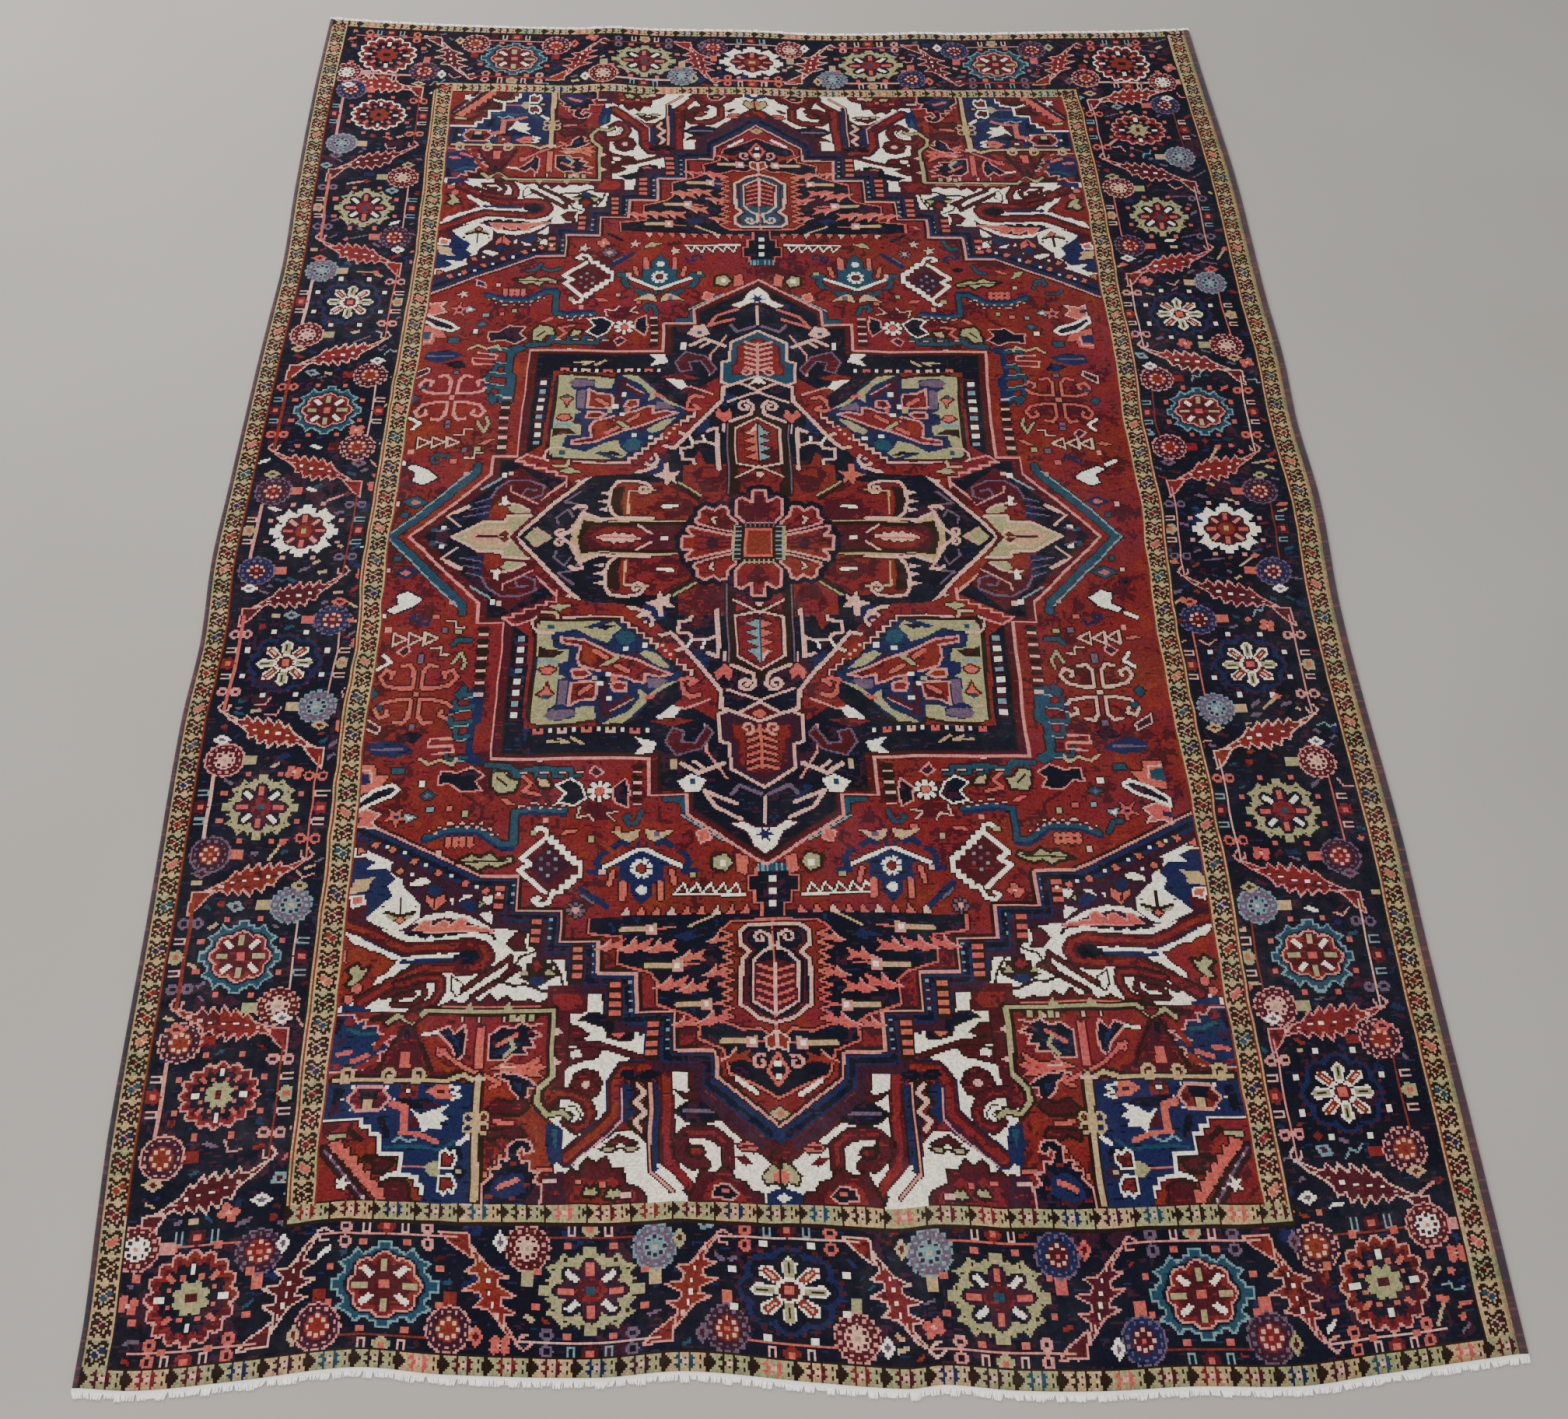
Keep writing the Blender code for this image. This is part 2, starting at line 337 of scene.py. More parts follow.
def stairs(points, tread, closed=False):
    """The slanting stretches of an outline turned to steps, as knots make them."""
    stepped = []
    ends = points[1:] + points[:1] if closed else points[1:]
    for (xa, ya), (xb, yb) in zip(points, ends):
        dx, dy = xb - xa, yb - ya
        count = max(int(round(min(abs(dx), abs(dy)) / tread)), 1)
        if abs(dx) < 0.4 or abs(dy) < 0.4:
            stepped += [(xa, ya), (xb, yb)]
            continue
        for i in range(count):
            stepped.append((xa + dx * i / count, ya + dy * i / count))
            stepped.append((xa + dx * (i + 1) / count, ya + dy * i / count))
        stepped.append((xb, yb))
    return stepped


def ragged(points, tooth=1.3, depth=0.7, closed=True):
    """An outline whose long stretches are broken into saw teeth."""
    saw = []
    ends = points[1:] + points[:1] if closed else points[1:]
    for (xa, ya), (xb, yb) in zip(points, ends):
        length = math.hypot(xb - xa, yb - ya)
        count = max(int(length / tooth), 1)
        for i in range(count):
            t = i / count
            push = depth if i % 2 and count > 1 else 0.0
            saw.append((xa + (xb - xa) * t - (yb - ya) / length * push,
                        ya + (yb - ya) * t + (xb - xa) / length * push))
    return saw if closed else saw + [points[-1]]


def mirrored(points):
    """The right half of an outline, from top to bottom, closed with its mirror image."""
    return list(points) + [(-x, y) for x, y in reversed(points)]


def leaf_outline(length, width, teeth, bend=0.0, bite=0.45):
    """A saw-edged leaf from (0, 0) along +x, its spine bent sideways by bend."""
    upper, lower = [], []
    count = teeth * 2
    for i in range(count + 1):
        t = i / count
        half = width / 2 * math.sin(math.pi * min(max(t, 0.03), 0.985)) ** 0.6
        x = length * t
        spine = bend * math.sin(math.pi * t)
        cut = bite if i % 2 else 0.0
        lean = -0.35 * length / count if i % 2 == 0 else 0.0
        upper.append((x + lean, spine + half * (1 - cut)))
        lower.append((x + lean, spine - half * (1 - cut)))
    return upper + lower[::-1]


def curl(radius, turns=1.15, start=0.0, way=1):
    """A scroll that winds in on itself from the point at start degrees."""
    points = []
    count = int(14 * turns)
    for i in range(count + 1):
        t = i / count
        angle = math.radians(start) + way * 2 * math.pi * turns * t
        r = radius * (1 - 0.72 * t)
        points.append((r * math.cos(angle), r * math.sin(angle)))
    return points


def herringbone(pen, height, reach, rows, yarn, width=0.6, droop=1.2):
    """A stem with slanting side shoots, from (0, 0) up."""
    pen.line([(0, 0), (0, height)], yarn, width)
    for i in range(rows):
        y = height * (i + 0.6) / rows
        for side in (-1, 1):
            pen.line([(0, y), (side * reach, y + droop)], yarn, width)


# Small repeats, charted one letter a knot: k dark outline, * flower, o eye.
SIDE_BAY = [
    "..............",
    "...kkk....kk..",
    "..kkkkk..kkk..",
    "..kk..kkkk....",
    "...k**.kk.k...",
    "..k****..kkk..",
    "..kk**o**.kk..",
    "..k..o****k...",
    "..kkk.***.k...",
    "...kkk.*.kkk..",
    "..kk.kkk.kkk..",
    "..kkk..kkk.k..",
    "....k...kk....",
]
END_BOX = [
    "k......*....*........",
    "kk....**....**...k...",
    "kkk..***..*.***..k.k.",
    "kkkk...**ooo**.....kk",
    "kkkk...**ooo**.....kk",
    "kkk..***..*.***..k.k.",
    "kk....**....**...k...",
    "k......*....*........",
]
GUARD_FLOWERS = (WINE, INDIGO, BARK, RED, PLUM, CORAL, WINE, TEAL)


def corners(left, right, front, back):
    """The outline of an upright rectangle."""
    return [(left, front), (right, front), (right, back), (left, back)]


def charted(pen, rows, x, y, letters, flip=1):
    """Knot a given repeat with its lower left corner at x, y."""
    for row, text in enumerate(reversed(rows)):
        cells = text if flip > 0 else text[::-1]
        for column, letter in enumerate(cells):
            yarn = letters.get(letter)
            if yarn is None:
                continue
            place = pen.plan([(x + (column + 0.5) * KNOT_X, y + (row + 0.5) * KNOT_Y)])[0]
            i = int((place[0] - PILE_LEFT) / KNOT_X)
            j = int((place[1] - PILE_FRONT) / KNOT_Y)
            if 0 <= i < KNOTS_ACROSS and 0 <= j < KNOTS_ALONG:
                pen.knots[j, i] = yarn


def side_guard(pen, left, right, front, back, ground, first):
    """Narrow stripe along a side: a dark meander with a star flower in each bay."""
    pen.fill(corners(left, right, front, back), ground)
    middle = (left + right) / 2 - len(SIDE_BAY[0]) * KNOT_X / 2
    step = len(SIDE_BAY) * KNOT_Y
    for bay in range(int((back - front) / step) + 1):
        flower = GUARD_FLOWERS[(bay * 3 + first) % len(GUARD_FLOWERS)]
        low, high = front + bay * step, min(front + (bay + 1) * step, back)
        if (bay * 5 + first) % 7 < 2:
            pen.fill(corners(left, right, low, high), SAGE)
        flip = 1 if bay % 2 else -1
        charted(pen, SIDE_BAY, middle, low, {"k": BARK, "*": flower, "o": CORAL if bay % 3 else PEACH},
                flip)


def end_guard(pen, left, right, front, back, ground, first):
    """Narrow stripe along an end: boxes that each hold a dark wedge and a small flower."""
    pen.fill(corners(left, right, front, back), ground)
    rows = (back - front) / KNOT_Y
    low = front + max(rows - len(END_BOX), 0) / 2 * KNOT_Y
    step = len(END_BOX[0]) * KNOT_X
    for box in range(int((right - left) / step) + 1):
        x = left + box * step
        flower = GUARD_FLOWERS[(box * 3 + first) % len(GUARD_FLOWERS)]
        if box % 3 == 1:
            pen.fill(corners(x, min(x + step, right), front, back), SAGE if ground == CAMEL else CAMEL)
        charted(pen, END_BOX, x, low, {"k": BARK, "*": flower, "o": PEACH})
        pen.line([(x, front), (x, back)], BARK, 0.34)


# ------------------------------------------------------------ border flowers
def eight(pen, radius, length, wide, straight, slanting):
    """Eight short bars round a centre."""
    for i in range(8):
        yarn = slanting if i % 2 else straight
        pen.at(0, 0, turn=45 * i).box(radius, 0, length, wide, yarn)


def squares(pen, radius, size, yarn, turn=22.5, count=8, squash=1):
    for i in range(count):
        a = math.radians(turn + 360 / count * i)
        pen.box(radius * math.cos(a), radius * math.sin(a) * squash, size, size, yarn)


def toothed_rim(pen, base, tip, yarn, width, edge=None):
    """A squared ring with a stepped tooth on each side and two horns at each corner."""
    b, t = base, tip
    half = [(0, t), (0.9, t), (0.9, t - 1), (1.9, t - 1.1), (2, b), (3, b - 0.3), (4, b + 0.7),
            (4.7, b - 0.7)]
    points = []
    for sx, sy in ((1, 1), (1, -1), (-1, -1), (-1, 1)):
        part = half + [(y, x) for x, y in reversed(half)]
        part = [(x * sx, y * sy) for x, y in part]
        points += part if sx * sy > 0 else part[::-1]
    pen.fill(points, yarn)
    if edge is not None:
        pen.line(points, edge, width, closed=True)


def camel_rosette(pen, straight=PLUM, bars=CORAL, eye=TEAL, rim=SAGE):
    """Spiky pale rim round a dark eight-petalled flower."""
    squares(pen, 8.4, 1.15, CORAL)
    toothed_rim(pen, 5.9, 7.6, rim, 0.4)
    squares(pen, 6.4, 0.5, BARK, turn=11, count=16)
    pen.fill(lobes(5.7, 0.30, 8), NIGHT)
    for i in (0, 2, 4, 6):
        pen.at(0, 0, 45 * i).fill([(1.5, -1.4), (4.3, -1.2), (5.6, 0), (4.3, 1.2), (1.5, 1.4)], straight)
    eight(pen, 3.7, 2.3, 1, bars, IVORY)
    pen.fill(lobes(2.3, 0.12, 8), RED)
    pen.box(0, 0, 1.4, 1.2, eye)


def blue_rosette(pen):
    """Blue squared rim, red ring, wine flower."""
    squares(pen, 8.4, 1.15, CORAL)
    toothed_rim(pen, 5.9, 7.6, TEAL, 0.36, SKY)
    pen.fill(lobes(6.3, 0.1, 8, squash=0.92), NIGHT)
    pen.edged(lobes(5.8, 0.16, 8, squash=0.9), RED, PINK, 0.36)
    pen.fill(lobes(4.9, 0.24, 8, squash=0.86), WINE)
    eight(pen, 3.5, 2.2, 1, SAGE, IVORY)
    pen.box(0, 0, 1.6, 1.5, CORAL)


def white_petal_rosette(pen, field=INDIGO):
    """Blue cloud with eight outlined petals and a ring of white dots."""
    pen.fill(lobes(7.8, 0.12, 8), field)
    pen.fill(lobes(7, 0.2, 8), NIGHT)
    squares(pen, 7.7, 0.7, WINE, turn=0, count=24)
    squares(pen, 8.8, 1.1, IVORY)
    for i in range(8):
        petal = pen.at(0, 0, 45 * i)
        petal.fill([(1.4, -0.6), (4.8, -1.2), (5.9, 0), (4.8, 1.2), (1.4, 0.6)], IVORY)
        petal.box(3.8, 0, 3, 1.3, BRICK if i % 2 else SAGE)
        petal.box(3.9, 0, 1.8, 0.36, PEACH if i % 2 else BARK)
    pen.fill(lobes(1.7, 0.1, 8), WINE)
    pen.box(0, 0, 1.6, 1.6, CORAL)


def red_rosette(pen, rim=PINK, heart=SAGE, centre=WINE):
    """Red toothed rim outlined in pink, pale heart, white and coral bars."""
    squares(pen, 8.3, 1.1, CORAL)
    pen.edged(lobes(7.2, 0.15, 16, squash=0.88), RED, rim, 0.4)
    pen.fill(lobes(5.5, 0.14, 16, squash=0.88), NIGHT)
    squares(pen, 5.7, 0.7, WINE, turn=0, count=16, squash=0.88)
    eight(pen, 4.3, 1.5, 0.8, IVORY, CORAL)
    squares(pen, 3.3, 0.7, CORAL, turn=22.5)
    pen.fill(lobes(2.7, 0.25, 8, turn=22), heart)
    pen.box(0, 0, 1.2, 1.6, centre)


def white_toothed_rosette(pen):
    """White notched rim round a plum and coral flower."""
    squares(pen, 8.3, 1, PINK)
    toothed_rim(pen, 5.8, 7.4, IVORY, 0.4)
    for i in range(8):
        pen.at(0, 0, 22.5 + 45 * i).box(6.2, 0, 1.6, 0.6, NIGHT)
    pen.fill(lobes(5.1, 0.14, 8), PLUM)
    for i in range(8):
        pen.at(0, 0, 45 * i).fill([(1.4, -0.9), (4.2, -1.1), (4.9, 0), (4.2, 1.1), (1.4, 0.9)], WINE)
    eight(pen, 3.5, 2.1, 0.9, CORAL, PINK)
    pen.fill(lobes(1.9, 0.12, 8), BRICK)
    pen.box(0, 0, 1.2, 1.4, SAGE)


ROSETTES = {
    "camel": camel_rosette,
    "blue": blue_rosette,
    "petal": white_petal_rosette,
    "red": red_rosette,
    "tooth": white_toothed_rosette,
    "green": lambda pen: red_rosette(pen, IVORY, BRICK, NIGHT),
}


def small_round(pen, ring=MAUVE, ground=PLUM, petals=PEACH, heart=RED, foot=CORAL):
    """Little beaded flower on a square foot."""
    pen.box(4.7, 0, 2.6, 1.9, foot)
    pen.fill(lobes(3.9, 0.12, 16), ring)
    pen.fill(lobes(3.4, 0, 12), ground)
    squares(pen, 2.8, 0.5, ring, turn=0, count=14)
    pen.fill(lobes(2.1, 0.1, 8), heart)
    squares(pen, 1.5, 0.62, petals, turn=0)
    pen.box(0, 0, 0.7, 0.7, foot)


# The half width of a leaf at shares of its length.  The ends have three long thorns,
# the sides five short ones.
END_LEAF = ((0, 0.2), (0.06, 0.7), (0.22, 0.8), (0.27, 1.3), (0.29, 3.3), (0.36, 1.5), (0.43, 1.7),
            (0.45, 4.2), (0.53, 1.6), (0.60, 1.5), (0.62, 3.5), (0.70, 1.1), (0.78, 0.8), (0.92, 0.7),
            (1, 0.2))
SIDE_LEAF = ((0, 0.2), (0.06, 0.7), (0.20, 0.9), (0.24, 1.4), (0.26, 2.6), (0.33, 1.5), (0.36, 3.1),
             (0.43, 1.8), (0.46, 3.5), (0.53, 1.8), (0.56, 3.1), (0.63, 1.5), (0.66, 2.5), (0.73, 1),
             (0.92, 0.7), (1, 0.2))


def saz_leaf(pen, halves, span, rise, fill=RED, edge=PINK):
    """Saw-edged leaf between the stems: a loop at its upper end, an arrow head at its lower one."""
    def spine(t):
        s = 2 * t - 1
        return span / 2 * s, -rise * math.copysign(abs(s) ** 1.7, s)

    upper, lower = [], []
    for t, half in halves:
        x, y = spine(t)
        upper.append((x - 0.3, y + half))
        lower.append((x + 0.5, y - half))
    pen.edged(upper + lower[::-1], fill, edge, 0.34)
    x, y = spine(1)
    pen.edged([(x - 3.6, y + 1.9), (x + 0.3, y + 1.5), (x + 0.5, y - 3), (x - 1.2, y - 1.5)], fill, edge,
              0.34)
    x, y = spine(0)
    pen.line([(x, y + 2.4), (x - 0.9, y + 1.2), (x - 0.2, y + 0.2), (x + 1.1, y + 0.5), (x + 1.3, y + 1.8)],
             edge, 0.4)
    for t in (0.14, 0.24, 0.34, 0.45, 0.56, 0.66, 0.76, 0.86):
        x, y = spine(t)
        pen.box(x, y, 0.8, 0.45, IVORY if 0.3 < t < 0.7 else PEACH)


def bud_and_bars(pen, yarn):
    """Small bud on the stem with a pair of open bars on either side."""
    pen.fill([(-0.4, 0), (-1.4, 1.5), (-3, 1.1), (-3, -1.1), (-1.4, -1.5)], yarn)
    pen.box(-1.9, 0, 1, 1.2, CORAL if yarn != CORAL else WINE)
    for y in (-3, 3):
        pen.line([(-2.7, y - 0.5), (-0.9, y - 0.5), (-0.9, y + 0.5), (-2.7, y + 0.5)],
                 SKY if yarn == WINE else PEACH, 0.34)


def ring_pair(pen, yarn):
    for x in (-1.25, 1.25):
        pen.disc(x, 0, 1.05, yarn)
        pen.box(x, 0, 0.9, 0.8, NIGHT)


def little_diamond(pen, yarn):
    pen.diamond(0, 0, 3.6, 2.4, yarn)
    pen.diamond(0, 0, 1.6, 1, MAUVE if yarn == IVORY else WINE)


def sprig(pen, yarn, tip):
    pen.line([(-1.9, -0.9), (1.4, 0.9)], yarn, 0.55)
    pen.diamond(1.9, 1.1, 2.2, 1.5, tip)


def four_petals(pen, petals, eye):
    for x, y in ((-0.8, 0.6), (0.8, 0.6), (-0.8, -0.6), (0.8, -0.6)):
        pen.disc(x, y, 0.75, petals)
    pen.box(0, 0, 0.6, 0.6, eye)


def stroke(pen, yarn):
    pen.fill([(-1.4, -0.5), (0.8, -0.35), (1.5, 0.5), (-0.7, 0.4)], yarn)


def bay(pen, kind, rooms, stem, tilt, index, stretch):
    """One rosette and its two stems; +y runs along the border.

    On one side the stem joins two beaded flowers, on the other it joins the ends of two leaves.
    The rooms are, before and after it, the way to the middle of the gap and the spread of what is there.
    """
    (before, spread_before), (after, spread_after) = rooms
    for side in (-1, 1):
        arm = pen.at(0, 0, flip=-1) if side > 0 else pen
        shade = (CORAL, PINK, BRICK, PEACH)[(index + (side > 0)) % 4]
        flowers = side * tilt < 0
        stop = (0.78, 3.4) if flowers else (0.62, 0.4)
        low = -(before - spread_before * stop[0] - stop[1])
        high = after - spread_after * stop[0] - stop[1]
        arm.line([(-stem, low), (-stem, high)], shade, 0.4)
        bud_and_bars(arm.at(-stem + 0.4, 0), (WINE, RED, SAGE)[(index + (side > 0)) % 3])
        if not flowers:
            for y in ((low - 2.4) / 2, (high + 2.4) / 2):
                ring_pair(arm.at(-stem, y), (CORAL, PINK, MAUVE)[index % 3])
    ROSETTES[kind](Pen(pen.knots, pen.place, pen.right * stretch[0], pen.up * stretch[1]))


def between(pen, halves, stem, tilt, index, spread, ends):
    """What fills the ground between two rosettes: leaf, beaded flowers at its ends, diamonds."""
    beads = ((MAUVE, PLUM, PEACH, RED, CORAL), (PINK, PLUM, PEACH, BRICK, RED),
             (SKY, MAUVE, PLUM, SKY, CAMEL), (PINK, WINE, WINE, PEACH, SAGE),
             (MAUVE, INDIGO, PEACH, WINE, CORAL), )
    lean = pen.at(0, 0, flip=-1) if tilt < 0 else pen
    saz_leaf(lean, halves, 2 * stem + 0.6, spread * 0.62, RED if index % 4 else WINE,
             PINK if index % 3 else PEACH)
    for end in ends:
        colours = beads[(index if end < 0 else index * 2 + 1) % 5]
        small_round(lean.at((stem - 1.6) * end, spread * 0.78 * end, 0 if end < 0 else 180), *colours)
    little_diamond(lean.at(-stem + 0.6, -spread * 0.2), (IVORY, CORAL, SAGE)[index % 3])
    little_diamond(lean.at(stem - 0.6, spread * 0.22), (CAMEL, IVORY, MAUVE)[index % 3])


def scatter(pen, left, right, front, back, tries, seed):
    """Small filling motifs wherever the dark ground is still bare."""
    draw = np.random.default_rng(seed)
    motifs = (
        lambda p: stroke(p, CORAL),
        lambda p: sprig(p, CAMEL, CORAL),
        lambda p: four_petals(p, CORAL, PEACH),
        lambda p: stroke(p, IVORY),
        lambda p: sprig(p, PINK, RED),
        lambda p: little_diamond(p, SKY),
        lambda p: stroke(p, RED),
        lambda p: p.box(0, 0, 2.4, 1.2, INDIGO),
        lambda p: stroke(p, MAUVE),
        lambda p: p.box(0, 0, 1.1, 1, CORAL),
        lambda p: p.line([(-1.8, -0.6), (-0.4, 0.6), (0.6, -0.3), (1.8, 0.7)], SKY, 0.36),
        lambda p: p.line([(-1.6, 0.6), (0, -0.7), (1.6, 0.6)], PINK, 0.36),
        lambda p: p.box(0, 0, 1.8, 0.8, CAMEL),
        lambda p: p.line([(-1.9, 0), (1.9, 0.2)], MAUVE, 0.4),
        lambda p: p.disc(0, 0, 0.7, RED),
    )
    for i in range(tries):
        x = draw.uniform(left, right)
        y = draw.uniform(front, back)
        place = pen.at(x, y, draw.choice((-30, -15, 0, 15, 30, 150)))
        if place.bare(1.8, 1.1, NIGHT, 0.97):
            motifs[i % len(motifs)](place)
    quiet = (WINE, MAUVE, PLUM, BRICK, INDIGO, TEAL, WINE, MAUVE, CAMEL)
    for i in range(tries):
        place = pen.at(draw.uniform(left, right), draw.uniform(front, back),
                       draw.choice((-35, -20, 20, 35)))
        if place.bare(1.2, 0.6, NIGHT, 0.97):
            place.box(0, 0, draw.uniform(1, 2.2), draw.uniform(0.4, 0.8), quiet[i % len(quiet)])


# ------------------------------------------------------------------ the border
# cm: where the main border starts and ends, then the inner guard, then the red field
OUTER_LEFT, OUTER_RIGHT, OUTER_FRONT, OUTER_BACK = -108.85, 107.4, -168.2, 166.5
INNER_LEFT, INNER_RIGHT, INNER_FRONT, INNER_BACK = -83.7, 79.5, -147.4, 144.7
FIELD_LEFT, FIELD_RIGHT, FIELD_FRONT, FIELD_BACK = -78.8, 75, -144.5, 141.8

FRONT_ROSETTES = [(-97.6, "red"), (-67.6, "blue"), (-35, "camel"), (-3.4, "petal"), (30, "camel"),
                  (62.8, "blue"), (92.8, "red")]
BACK_ROSETTES = [(-97.2, "green"), (-64.8, "blue"), (-31.5, "camel"), (-3.8, "tooth"), (27, "camel"),
                 (59.8, "blue"), (93, "green")]
LEFT_ROSETTES = [(-158, ""), (-125, "red"), (-99.5, "blue"), (-69, "camel"), (-36.3, "petal"),
                 (-2.8, "tooth"), (31.1, "blue"), (64.7, "petal"), (96.7, "camel"), (131.5, "green"),
                 (155.6, "")]
RIGHT_ROSETTES = [(-158, ""), (-127, "petal"), (-101.5, "blue"), (-71.3, "camel"), (-37.5, "petal"),
                  (-2.2, "tooth"), (31.3, "blue"), (62.2, "petal"), (96, "camel"), (128.6, "red"),
                  (155.6, "")]
SCATTER_TRIES = 14000
CORNER_STRETCH = (1.04, 1.16)  # width and height of a rosette in the rug's corner
BORDER_MIDDLES = {"front": -158, "back": 155.6, "left": -96.7, "right": 92.6}


def border_run(pen, rosettes, halves, stem, first_tilt, stretch):
    """A row of rosettes along a border, with the leaf between each pair."""
    gaps = [there - here for (here, _), (there, _) in zip(rosettes, rosettes[1:])]
    rooms = [(9, 0)] + [(gap / 2, min(gap / 2 - 8.6, 8)) for gap in gaps] + [(9, 0)]
    tilts = [first_tilt * (-1) ** index for index in range(len(rosettes))]
    for index, (half, spread) in enumerate(rooms[1:-1]):
        ends = [end for end, kind in ((-1, rosettes[index][1]), (1, rosettes[index + 1][1])) if kind]
        between(pen.at(0, rosettes[index][0] + half), halves, stem, tilts[index], index, spread, ends)
    for index, (here, kind) in enumerate(rosettes):
        if not kind:
            continue
        corner = index in (0, len(rosettes) - 1)
        shape = CORNER_STRETCH if corner else stretch
        bay(pen.at(0, here), kind, rooms[index:index + 2], stem, tilts[index], index, shape)
        if corner:
            beyond = -9.4 if index == 0 else 9.4
            bead = pen.at(-math.copysign(stem, tilts[index]), here + beyond, 90)
            small_round(bead, PINK, WINE, PLUM, IVORY, PINK)


def draw_border(pen):
    """Rosettes and leaves on the dark ground, then the guards and the thin lines beside them."""
    border_run(pen.at(BORDER_MIDDLES["left"], 0), LEFT_ROSETTES, SIDE_LEAF, 9.4, -1, (0.92, 0.92))
    border_run(pen.at(BORDER_MIDDLES["right"], 0), RIGHT_ROSETTES, SIDE_LEAF, 10.2, 1, (0.94, 0.92))
    # the ends: the pen is turned so that its +y runs along the rug's width
    border_run(pen.at(0, BORDER_MIDDLES["front"], turn=-90), FRONT_ROSETTES, END_LEAF, 8, 1, (0.88, 1.1))
    border_run(pen.at(0, BORDER_MIDDLES["back"], turn=-90), BACK_ROSETTES, END_LEAF, 7.8, -1, (0.88, 1.1))
    scatter(pen, OUTER_LEFT + 1, OUTER_RIGHT - 1, OUTER_FRONT + 1, OUTER_BACK - 1, SCATTER_TRIES, 11)
    end_guard(pen, PILE_LEFT, PILE_RIGHT, PILE_FRONT, OUTER_FRONT, SAGE, 0)
    end_guard(pen, PILE_LEFT, PILE_RIGHT, OUTER_BACK, PILE_BACK, CAMEL, 2)
    side_guard(pen, PILE_LEFT, OUTER_LEFT, OUTER_FRONT, OUTER_BACK, CAMEL, 1)
    side_guard(pen, OUTER_RIGHT, PILE_RIGHT, OUTER_FRONT, OUTER_BACK, CAMEL, 4)
    end_guard(pen, INNER_LEFT, INNER_RIGHT, INNER_FRONT, FIELD_FRONT, SAGE, 3)
    end_guard(pen, INNER_LEFT, INNER_RIGHT, FIELD_BACK, INNER_BACK, CAMEL, 5)
    side_guard(pen, INNER_LEFT, FIELD_LEFT, FIELD_FRONT, FIELD_BACK, CAMEL, 2)
    side_guard(pen, FIELD_RIGHT, INNER_RIGHT, FIELD_FRONT, FIELD_BACK, CAMEL, 5)
    pen.line(corners(OUTER_LEFT, OUTER_RIGHT, OUTER_FRONT, OUTER_BACK), BARK, 0.4, closed=True)
    for x in (OUTER_LEFT - 0.5, OUTER_RIGHT + 0.5, INNER_LEFT + 0.3, FIELD_LEFT - 0.3, FIELD_RIGHT + 0.3,
              INNER_RIGHT - 0.3):
        pen.line([(x, FIELD_FRONT), (x, FIELD_BACK)], BRICK, 0.4)
    edge = corners(INNER_LEFT - 0.3, INNER_RIGHT + 0.3, INNER_FRONT - 0.3, INNER_BACK + 0.3)
    pen.line(edge, BARK, 0.55, closed=True)


def both_ways(pen):
    """The pens that look along +y and -y."""
    return pen, pen.at(0, 0, 180)


class Outward:
    """Draws with places read left of and in front of the middle, on any quarter of the medallion."""

    def __init__(self, pen, y=-4.5):
        self.pen = pen
        self.middle = (-4.6, y)

    def places(self, points):
        return [(self.middle[0] - x, self.middle[1] - y) for x, y in points]

    def fill(self, points, yarn):
        self.pen.fill(self.places(points), yarn)

    def line(self, points, yarn, width=0.5):
        self.pen.line(self.places(points), yarn, width)

    def edged(self, points, yarn, edge, width=0.55):
        self.fill(points, yarn)
        self.line(points + points[:1], edge, width)

    def box(self, x, y, wide, high, yarn):
        self.pen.box(*self.places([(x, y)])[0], wide, high, yarn)


